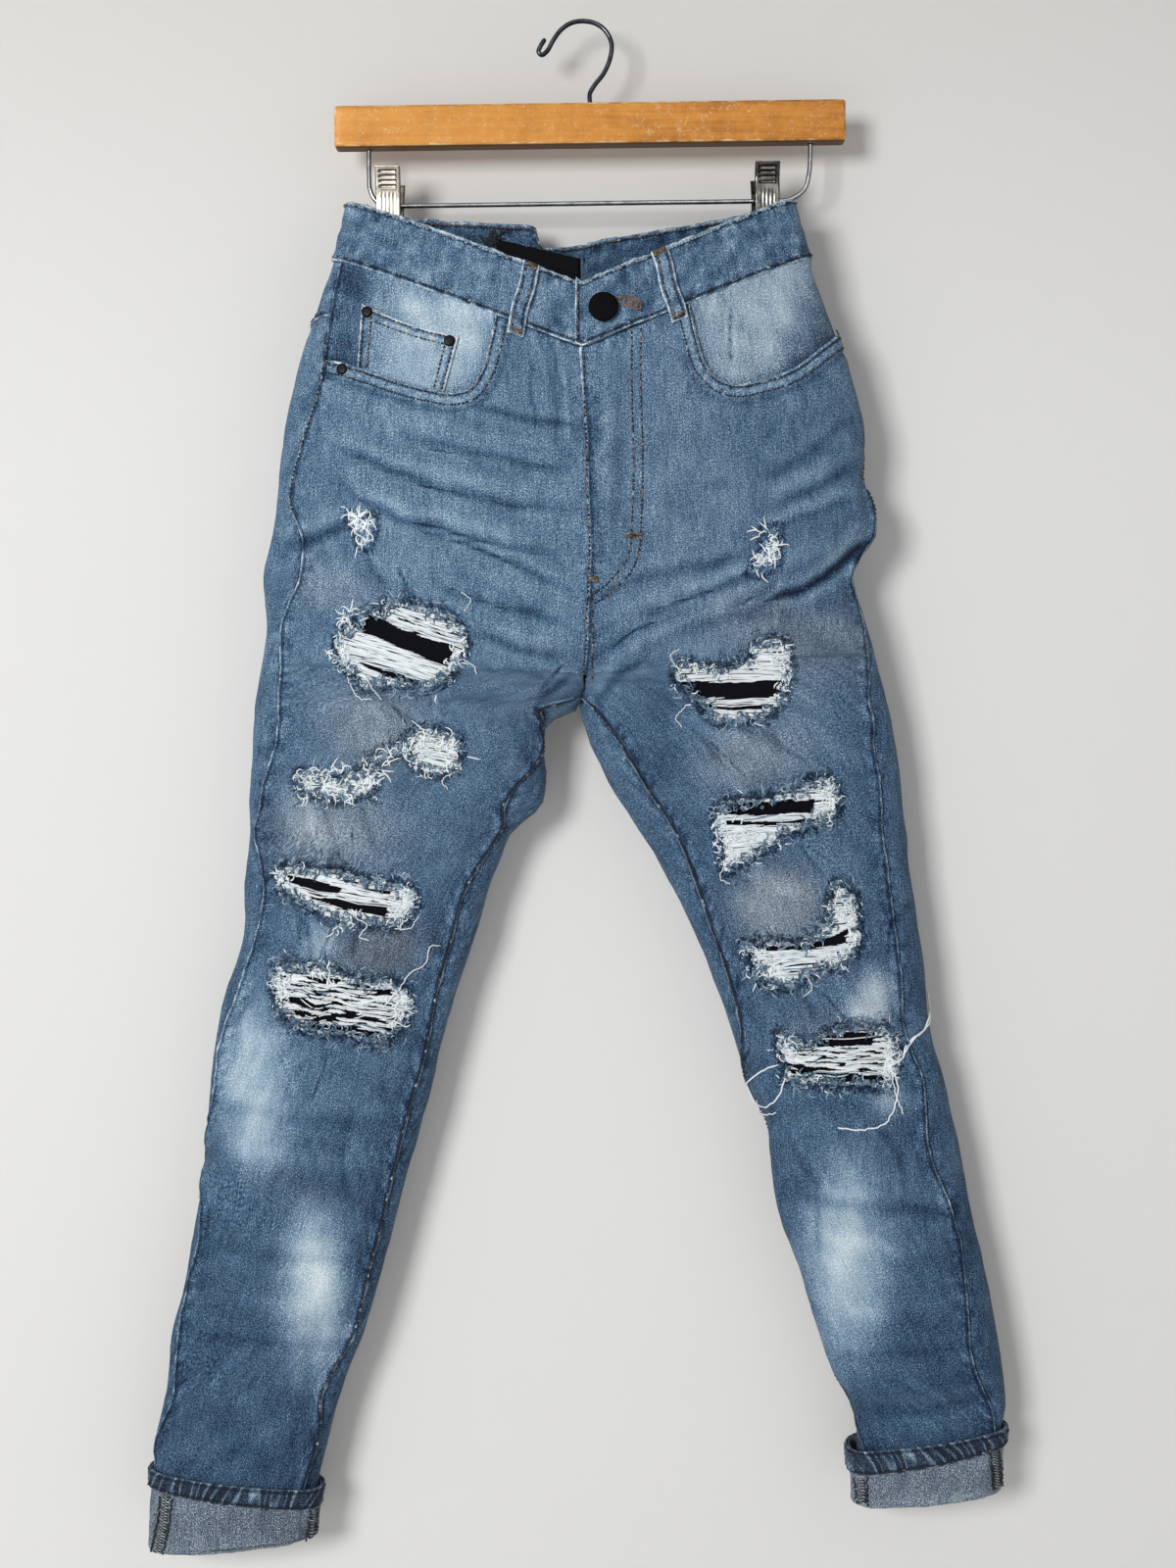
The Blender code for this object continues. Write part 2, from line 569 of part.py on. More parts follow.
def build_backs(collection):
    """Two yokes and two back panels; they meet along a seam that falls to the centre back."""
    share = BACK_SHARES
    for name, half in HALVES.items():
        waist, side = half.down[WAIST_ROW], half.down[YOKE_ROW]
        seam = side + YOKE_DROP * share
        steps = np.linspace(0, 1, 4)[:, None]
        rows = waist + (seam - waist) * steps
        # columns follow the turn at each point's own depth
        turns = half.outseam(rows) + (1 - half.outseam(rows)) * share
        points = pull_back(half.ring(rows, turns), ("top", "bottom", "first"))
        cloth(f"yoke_{name}", points, DENIM, "denim", collection, half.side)

        rows = panel_rows(half)
        rows = rows[rows >= side - 0.01]
        hang = 1 - ramp(side, half.down[CROTCH_ROW], rows)[:, None]
        rows = rows[:, None] + YOKE_DROP * share * hang
        turns = half.outseam(rows) + (1 + half.inseam(rows) - half.outseam(rows)) * share
        points = pull_back(half.ring(rows, turns), ("top", "first"))
        below = rows[:, 0] > half.down[CROTCH_ROW]
        points[below] = pull_back(points, ("last",))[below]
        cloth(f"back_{name}", points, DENIM, "denim", collection, half.side)


# ---- pockets ----------------------------------------------------------------------------------------
# the facings lie inside the fronts, the right one further, to leave room for the coin pocket
FACING_LIFT = {"right": -3.0, "left": -1.6}
FACING_COLUMN = 2       # it starts at this column of the front panel
FACING_ROWS = 3         # and takes this many of the front's rows
COIN_LIFT = -1.5
COIN_WALL = 1.1
COIN_POCKET = ((-84, -225), (-150, -201), (-95, -267), (-153, -250))
BACK_POCKET = ((20, -287), (154, -268), (24, -420), (148, -402))   # corners as x, z, left half
BACK_POCKET_POINT = 14  # how much lower the middle of its bottom edge hangs
BACK_POCKET_LIFT = DENIM + 2 * LAY_GAP


def build_pockets(collection):
    """Facings inside the front pockets, the coin pocket on the right one, two back pockets."""
    for name, half in HALVES.items():
        rows = panel_rows(half)[:FACING_ROWS]
        turns = front_turns(half, rows)[:, FACING_COLUMN:]
        points = half.lifted(rows[:, None], turns, np.full(turns.shape, FACING_LIFT[name]))
        points = pull_back(points, ("last", "top"))
        cloth(f"pocket_facing_{name}", points, DENIM, "denim_pale", collection, half.side)

        corners = tuple((half.side * x, z) for x, z in BACK_POCKET)
        points = patch(half, corners, 6, 6, BACK_POCKET_LIFT, behind=True, dip=BACK_POCKET_POINT)
        cloth(f"back_pocket_{name}", points, DENIM, "denim", collection, half.side)

    points = patch(RIGHT, COIN_POCKET, 3, 4, COIN_LIFT)
    cloth("coin_pocket", points, COIN_WALL, "denim", collection, RIGHT.side)


# ---- waistband and its trim ---------------------------------------------------------------------------
UNDERLAP = (30, 4)      # x of the right end, past the centre under the left one, and of its start
OVERLAP = (-3, -6)      # x of the left end's last two columns, past the centre and on top
OVERLAP_LIFT = BAND + LAY_GAP
OVERLAP_RAMP = (33, 42)  # x over which the left front rises onto the right one
BAND_ROWS = 3


def build_waistband(collection):
    """One strip: underlap, right front, right back, left back, left front, overlap."""
    share = np.linspace(0, 1, BAND_ROWS + 1)[:, None]

    def rows_of(half):
        return half.down[0] + (half.waist - half.down[0]) * share

    def columns_of(half, turns, lift):
        rows = np.broadcast_to(rows_of(half), (BAND_ROWS + 1, len(turns)))
        return half.lifted(rows, np.broadcast_to(turns, rows.shape), lift)

    right = np.concatenate([front_turns(RIGHT, RIGHT.waist), back_turns(RIGHT, RIGHT.waist)[1:]])
    left = np.concatenate([front_turns(LEFT, LEFT.waist), back_turns(LEFT, LEFT.waist)[1:-1]])[::-1]
    under = LEFT.turn_at(np.linspace(*UNDERLAP, 4), LEFT.waist)
    over = RIGHT.turn_at(np.array(OVERLAP), RIGHT.waist)
    # the left front is read more finely where it rises onto the right end
    rise = LEFT.turn_at(np.array([OVERLAP_RAMP[1], OVERLAP_RAMP[0]]), LEFT.waist)
    left = np.concatenate([left[left > rise[0] + 0.02], rise, [rise[1] * 0.5, 0.0]])

    flat = np.zeros((BAND_ROWS + 1, 1))
    left_points = columns_of(LEFT, left, np.zeros((BAND_ROWS + 1, len(left))))
    raised = 1 - ramp(*OVERLAP_RAMP, left_points[..., 0])
    raised = raised * (left < 0.4)
    left_points = columns_of(LEFT, left, OVERLAP_LIFT * raised)
    strip = np.concatenate([
        columns_of(LEFT, under, flat + np.zeros(len(under))),
        columns_of(RIGHT, right, flat + np.zeros(len(right))),
        left_points,
        columns_of(RIGHT, over, flat + OVERLAP_LIFT * np.ones(len(over))),
    ], axis=1)
    strip = pull_back(strip, ("bottom",))
    cloth("waistband", strip, BAND, "denim", collection)


# name, half, x at the top, x at the bottom, behind
BELT_LOOPS = [
    ("belt_loop_front_right", "right", -35, -46, False),
    ("belt_loop_front_left", "left", 50, 64, False),
    ("belt_loop_back_right", "right", -104, -112, True),
    ("belt_loop_back_left", "left", 96, 104, True),
    ("belt_loop_back_centre", "left", 6.6, 6.6, True),
]
LOOP_WIDTH = 11
LOOP_TOP = 0.3          # starts this far below the waistband's top
LOOP_TAIL = 9           # reaches this far below the waistband's seam
# share of the length, and lift there: clear of the band, then down onto the panel
LOOP_SHAPE = [(0.0, 2.8), (0.15, 4.0), (0.5, 4.6), (0.80, 3.4), (0.86, 2.9), (0.93, 2.0), (1.0, 1.7)]


def build_belt_loops(collection):
    """Narrow strips that stand off the waistband between their two sewn ends."""
    share = np.array([s for s, _ in LOOP_SHAPE])[:, None]
    lift = np.array([h for _, h in LOOP_SHAPE])[:, None]
    across = np.array([-0.5, 0.0, 0.5]) * LOOP_WIDTH
    for name, side, top_x, bottom_x, behind in BELT_LOOPS:
        half = HALVES[side]
        down = half.down[0] + LOOP_TOP + (half.waist + LOOP_TAIL - half.down[0]) * share
        x = top_x + (bottom_x - top_x) * share + across * half.side
        down = np.broadcast_to(down, x.shape)
        points = half.lifted(down, half.turn_at(x, down, behind), np.broadcast_to(lift, x.shape))
        if behind:
            points = points[:, ::-1]
        cloth(name, points, TRIM, "denim", collection, half.side)


LABEL = ((-3, -152), (-61, -146), (-3, -173), (-61, -167))      # x, z, inside the back waistband
BUTTON_PLACE = (13, -208)
BUTTON_PROFILE = [(0, 4.6), (7.4, 4.6), (9.4, 4.2), (10, 3.2), (9.4, 2.2), (4.2, 1.8), (4.2, 0), (0, 0)]
RIVET_PROFILE = [(0, 1.5), (2.2, 1.4), (3.4, 0.8), (3.6, 0), (0, 0)]
# x, z, lift: the pocket's corner, then the coin pocket's two
RIVETS = [(-162, -246, DENIM + TOUCH_GAP), (-146, -207, 0.0), (-90, -228, 0.0)]


def build_trim(collection):
    """Label, button and rivets."""
    points = patch(RIGHT, LABEL, 2, 4, -TRIM - LAY_GAP, behind=True)
    cloth("waist_label", points, TRIM, "backing_black", collection, RIGHT.side)
    button = turned("waist_button", BUTTON_PROFILE, 20, "button_black", collection)
    seat_on(button, LEFT, *BUTTON_PLACE, OVERLAP_LIFT + BAND + TOUCH_GAP)
    for number, (x, z, lift) in enumerate(RIVETS, start=1):
        rivet = turned(f"rivet_{number}", RIVET_PROFILE, 12, "rivet_dark", collection)
        seat_on(rivet, RIGHT, x, z, lift)


# ---- cuffs ----------------------------------------------------------------------------------------------
CUFF_LIFT = DENIM + LAY_GAP + 0.8   # it stands a little further out than the cloth asks
# the fold, round under the leg's raw end: height above the leg's bottom, lift
CUFF_FOLD = [(0.4, 1.35), (0.0, 0.2)]


def leg_band(half, rows, lifts):
    """Points all round a leg, on the columns of its front and back, one lift for each row."""
    turns = np.concatenate([front_turns(half, rows), back_turns(half, rows)[:, 1:-1]], axis=1)
    return half.lifted(rows[:, None], turns, np.broadcast_to(lifts[:, None], turns.shape))


def build_cuffs(collection):
    """The leg's end turned up once, with the stitched hem band round the cuff's top."""
    fold_heights, fold_lifts = np.array(CUFF_FOLD).T
    for name, half in HALVES.items():
        rows = panel_rows(half)
        rows = rows[rows >= half.cuff]
        lifts = np.append(np.full(len(rows), CUFF_LIFT), fold_lifts)
        rows = np.append(rows, half.bottom - fold_heights)
        points = leg_band(half, rows, lifts)
        cloth(f"cuff_{name}", points, DENIM, "denim_reverse", collection, half.side, all_round=True)

        points = leg_band(half, rows[:2], lifts[:2] + DENIM + LAY_GAP)
        cloth(f"hem_{name}", points, DENIM, "denim_dark", collection, half.side, all_round=True)


# ---- hanger ---------------------------------------------------------------------------------------------
WIRE = 1.6              # radius of the hook and of the trapeze wire
BAR_SIZE = (351.8, 14.0, 28.9)
BAR_ROUNDING = 1.8
BAR_CENTRE = (4.05, 0.0, -70.55)
BAR_TILT = math.radians(0.78)
# the hook, from the bar up over the seat to its turned-back tip
HOOK_PATH = [(4.1, -55.9), (4.1, -48.0), (6.8, -43.3), (13.5, -34.5), (18.4, -22.3), (18.9, -13.5),
             (15.0, -5.4), (7.8, 0.0), (0.0, 1.6), (-8.8, 0.3), (-16.2, -4.7), (-21.6, -12.2),
             (-26.0, -19.6), (-29.1, -21.8), (-31.4, -19.8), (-30.2, -16.0), (-26.9, -10.8)]
# the trapeze wire that carries the clips
TRAPEZE_PATH = [(-148.4, -87.5), (-148.2, -106), (-147.7, -114.2), (-142.6, -123.2),
                (-132.5, -126.0), (-60, -125.1), (40, -123.7), (117.6, -122.7), (141.3, -121.9),
                (152.1, -114.2), (155.2, -103), (156.0, -83.3)]
CLIP_WIDTH = 17
CLIP_SHEET = 0.8
# x of each clip, z of its lever's end
CLIPS = {"right": (-134.6, -102.0), "left": (125.7, -98.9)}
JAW_DROP = 12           # the jaws reach this far below the wire
LEVER_SPREAD = {"front": 12.0, "back": 10.0}
# where each plate bends on its way from the lever's end to the jaw: height above the wire
LEVER_BEND, WAIST_TOP, WAIST_BOTTOM = 12, 3, -4
LEVER_BEND_OUT = 8.0    # distance of the first bend from the wire's plane
WAIST_FLARE = 0.6       # the waist is this much wider at its top


def build_hanger(collection):
    """Wooden bar, hook, trapeze wire and two spring clips, plainly made."""
    bpy.ops.mesh.primitive_cube_add(size=1)
    bar = bpy.context.active_object
    bar.name = "hanger_bar"
    for other in bar.users_collection:
        other.objects.unlink(bar)
    collection.objects.link(bar)
    bar.data.transform(Matrix.Diagonal((*[size * MM for size in BAR_SIZE], 1.0)))
    bar.location = Vector(BAR_CENTRE) * MM
    bar.rotation_euler = (0.0, -BAR_TILT, 0.0)
    bar.data.materials.append(finish("wood_varnished").copy())
    rounding = bar.modifiers.new("Rounded edges", "BEVEL")
    rounding.width = BAR_ROUNDING * MM
    rounding.segments = 2

    wire("hanger_hook", through(HOOK_PATH, 2), "steel_dark", collection)
    wire("hanger_wire", through(TRAPEZE_PATH, 3), "steel_bright", collection)


def build_clips(collection):
    """Two bent plates a clip: levers apart above the wire, jaws shut on the back waistband."""
    for name, (clip_x, lever_z) in CLIPS.items():
        half = HALVES[name]
        wire_z = float(np.interp(clip_x, [p[0] for p in TRAPEZE_PATH[4:8]],
                                 [p[1] for p in TRAPEZE_PATH[4:8]]))
        jaw_z = wire_z - JAW_DROP
        across = np.array([-0.5, 0.0, 0.5]) * CLIP_WIDTH
        gripped_x, gripped_z = np.meshgrid(clip_x + across, np.linspace(jaw_z, wire_z, 5))
        down, turn = half.locate(gripped_x, gripped_z, behind=True)
        inner_y = half.ring(down, turn)[..., 1].min() - TOUCH_GAP
        outer_y = half.lifted(down, turn, np.full(turn.shape, BAND))[..., 1].max() + TOUCH_GAP
        for facing, sign, seat in (("front", -1, inner_y), ("back", 1, outer_y)):
            waist_y = sign * max(WIRE + TOUCH_GAP, sign * seat)
            profile = [(sign * LEVER_SPREAD[facing], lever_z),
                       (sign * LEVER_BEND_OUT, wire_z + LEVER_BEND),
                       (waist_y + sign * WAIST_FLARE, wire_z + WAIST_TOP),
                       (waist_y, wire_z + WAIST_BOTTOM),
                       (seat, jaw_z)]
            rows = np.array([[(clip_x + off, y, z) for off in across] for y, z in profile])
            side = -1 if sign > 0 else 1
            cloth(f"clip_{name}_{facing}", rows, CLIP_SHEET, "steel_bright", collection, side)


# ---- the whole model --------------------------------------------------------------------------------------
def clear_scene():
    """Remove what the start-up scene holds."""
    for thing in list(bpy.data.objects):
        bpy.data.objects.remove(thing, do_unlink=True)


def new_collection(name):
    """A collection in the scene."""
    collection = bpy.data.collections.new(name)
    bpy.context.scene.collection.children.link(collection)
    return collection


def main():
    """Build the jeans and their hanger."""
    clear_scene()
    jeans = new_collection(NAME)
    cutters = new_collection("cutters")
    build_fronts(jeans, cutters)
    build_backings(jeans)
    build_backs(jeans)
    build_pockets(jeans)
    build_waistband(jeans)
    build_belt_loops(jeans)
    build_trim(jeans)
    build_cuffs(jeans)
    build_hanger(jeans)
    build_clips(jeans)


main()
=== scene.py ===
# %% [markdown]
# # Ripped jeans on a clip hanger
#
# A pair of slim, washed and torn jeans hangs by the back of its waistband from a wooden hanger
# with two spring clips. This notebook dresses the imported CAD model: every cloth solid gets a fine
# shell with its creases, seams, stitches and holes, and every finish is made of shader nodes.
#
# The CAD model is the frame. It is loaded first and never changed, and each new piece stands for
# a node of it. All sizes below are millimetres in the model's own frame: +X to the wearer's left,
# -Y to the front, +Z up, and the origin where the hook sits on its peg.

# %% Load the frame
import math

import bpy
import numpy as np
from mathutils import Matrix, Vector


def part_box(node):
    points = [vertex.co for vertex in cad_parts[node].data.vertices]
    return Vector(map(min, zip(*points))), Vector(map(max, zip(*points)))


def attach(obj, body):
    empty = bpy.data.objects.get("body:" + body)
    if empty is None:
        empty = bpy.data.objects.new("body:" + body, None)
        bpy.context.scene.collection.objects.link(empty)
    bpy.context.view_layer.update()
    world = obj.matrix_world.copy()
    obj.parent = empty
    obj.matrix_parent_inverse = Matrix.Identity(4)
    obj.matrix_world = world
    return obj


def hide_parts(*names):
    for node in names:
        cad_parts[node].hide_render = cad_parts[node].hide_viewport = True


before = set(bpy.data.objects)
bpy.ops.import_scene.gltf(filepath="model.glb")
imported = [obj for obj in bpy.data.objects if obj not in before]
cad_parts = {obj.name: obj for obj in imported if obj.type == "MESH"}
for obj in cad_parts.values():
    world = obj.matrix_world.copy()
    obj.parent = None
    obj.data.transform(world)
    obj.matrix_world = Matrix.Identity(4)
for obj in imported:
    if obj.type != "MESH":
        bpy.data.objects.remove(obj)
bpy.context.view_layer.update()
MM = 0.001
rng = np.random.default_rng(862)


def node_box(name):
    """Lowest and highest corner of a CAD node in mm."""
    low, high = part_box(name)
    return np.array(low) / MM, np.array(high) / MM


# %% [markdown]
# ## The form: two tubes made of sections
#
# A pair of jeans is two tubes of cloth joined at the top. Modelling them by hand would work, but
# every other piece (pockets, belt loops, stitches, threads) has to lie on that cloth, so it helps
# to have the surface as a function. Each half is a table of cross-sections. A place on it has two
# numbers: `down`, the section's height below the hook, and `turn`, how far round the section it
# lies (0 inner edge, 0.25 middle of the front, 0.5 outer edge, 0.75 middle of the back).

# %% Sections of both halves
# outer_x, outer_z: the outer edge. front_x, front_z: the inner end of the front. back_z: the
# inner end of the back. closed: 0 open towards the other half, 1 a closed leg. inner_y: depth of
# the inner end. outseam, inseam: how far in front of the outer and inner edge the seams lie.
COLUMNS = ("outer_x", "outer_z", "front_x", "front_z", "back_z", "closed", "inner_y",
           "outseam", "inseam")
RIGHT_ROWS = [
    (-160, -129,   -1, -189, -149, 0.0, -17,  5,  0),   # waistband's top
    (-169, -169,   -1, -233, -187, 0.0, -16,  5,  0),   # waistband's lower seam
    (-181, -203,    1, -263, -224, 0.0, -14, 10,  0),
    (-195, -247,    3, -296, -264, 0.0, -13, 18,  0),
    (-205, -297,    4, -335, -311, 0.0, -11, 14,  0),
    (-208, -327,    5, -361, -342, 0.0, -10, 10,  0),
    (-212, -357,    5, -384, -369, 0.0,  -9, 22,  0),   # notch at the hip
    (-218, -383,    4, -407, -395, 0.0,  -8, 26,  0),
    (-216, -420,    3, -433, -425, 0.2,  -6, 11,  0),
    (-220, -444,    1, -450, -446, 0.6,  -5, 15,  0),
    (-223, -459,    0, -462, -462, 1.0, -14, 18,  0),   # crotch
    (-225, -472,   -4, -472, -472, 1.0,  -7, 19, 22),
    (-225, -483,  -24, -482, -482, 1.0,  -3, 19,  4),
    (-226, -496,  -27, -496, -496, 1.0,  -2, 18,  1),
    (-228, -525,  -27, -526, -526, 1.0,  -1, 11, 18),
    (-228, -541,  -32, -541, -541, 1.0,  -1,  8, 22),
    (-228, -555,  -50, -556, -556, 1.0,   0,  5,  7),   # end of the bulge inside the thigh
    (-230, -575,  -60, -577, -577, 1.0,   0, 10, 10),
    (-232, -595,  -67, -597, -597, 1.0,   0, 15, 14),
    (-233, -633,  -78, -634, -634, 1.0,   0,  9, 13),
    (-245, -668,  -90, -669, -669, 1.0,   0,  9, 11),
    (-252, -700,  -99, -702, -702, 1.0,   0,  5,  8),
    (-257, -741, -109, -742, -742, 1.0,   0,  4,  9),
    (-260, -788, -122, -788, -788, 1.0,   0,  0,  8),
    (-266, -822, -131, -822, -822, 1.0,   0,  5,  7),
    (-275, -873, -143, -869, -869, 1.0,   0,  4,  7),
    (-283, -907, -153, -902, -902, 1.0,   0,  6,  6),
    (-286, -944, -167, -938, -938, 1.0,   0,  6, 11),
    (-294, -977, -178, -976, -976, 1.0,   0,  2,  5),
    (-294, -994, -185, -1006, -1006, 1.0,  0,  1,  7),  # cuff's top
    (-296, -1049, -190, -1040, -1040, 1.0, 0,  1,  7),  # cuff's fold
]
LEFT_ROWS = [
    (141, -127,   -1, -189, -149, 0.0, -17, -4,  0),    # waistband's top
    (153, -168,   -1, -233, -187, 0.0, -16, -4,  0),    # waistband's lower seam
    (167, -205,    1, -263, -223, 0.0, -14, -4,  0),
    (180, -242,    3, -296, -264, 0.0, -13, -4,  0),
    (190, -283,    4, -335, -311, 0.0, -12, -3,  0),
    (189, -318,    5, -361, -342, 0.0, -10,  0,  0),
    (199, -353,    5, -384, -369, 0.0,  -9,  3,  0),    # bulge at the hip
    (184, -377,    4, -407, -395, 0.0,  -8,  2,  0),
    (191, -412,    3, -433, -425, 0.2,  -6,  3,  0),
    (198, -436,    1, -450, -446, 0.6,  -5,  7,  0),
    (204, -457,    0, -462, -462, 1.0, -14, 12,  0),    # crotch
    (206, -468,   -3, -472, -472, 1.0,  -7, 14,  8),
    (209, -481,    0, -485, -485, 1.0,  -3, 14, 15),
    (212, -496,    5, -499, -499, 1.0,  -2, 16, 19),
    (216, -525,   19, -526, -526, 1.0,  -1, 16, 22),
    (220, -558,   42, -560, -560, 1.0,   0, 18, 21),
    (223, -587,   59, -589, -589, 1.0,   0, 17, 16),
    (228, -619,   76, -623, -623, 1.0,   0, 18, 11),
    (233, -654,   90, -657, -657, 1.0,   0, 18,  9),
    (237, -694,  103, -695, -695, 1.0,   0, 19,  5),
    (246, -726,  113, -727, -727, 1.0,   0, 16,  0),
    (253, -758,  127, -759, -759, 1.0,   0, 21, -3),
    (258, -781,  130, -781, -781, 1.0,   0, 22, -5),
    (264, -815,  134, -814, -814, 1.0,   0, 14, -5),
    (273, -852,  149, -856, -856, 1.0,   0, 15, -5),
    (281, -890,  160, -892, -892, 1.0,   0, 20, -4),
    (287, -927,  173, -930, -930, 1.0,   0, 20, -3),
    (288, -954,  188, -957, -957, 1.0,   0, 10,  0),
    (286, -965,  190, -980, -980, 1.0,   0,  7,  3),    # cuff's top
    (283, -1008, 189, -1018, -1018, 1.0, 0,  7,  3),    # cuff's fold
]
WAIST_ROW, YOKE_ROW, CROTCH_ROW, CUFF_ROW = 1, 2, 10, -2
# down, middle_y, half_depth: where the sections' mid plane lies, and how full they are
DEPTHS = np.array([
    (124, -17, 24), (165, -16, 28), (200, -14, 31), (245, -13, 34), (295, -11, 36),
    (350, -9, 37), (400, -7, 36), (440, -5, 34), (472, -4, 32), (500, -3, 31), (560, -2, 30),
    (620, -1, 29), (700, 0, 27), (800, 0, 25), (900, 0, 23), (990, 0, 22), (1045, 0, 24),
], dtype=float)
FULLNESS = 0.8          # exponent of the section's outline: 1 is an ellipse, less is fuller
DENIM = 1.2             # thickness of one layer
# gaps between the halves at the centre and under the crotch, and where the legs part
CENTRE_GAP, CROTCH_GAP, LEGS_PART = 0.2, 1.35, (490, 560)
CORRECTIONS = 24        # steps by which a place's depth is found from its height
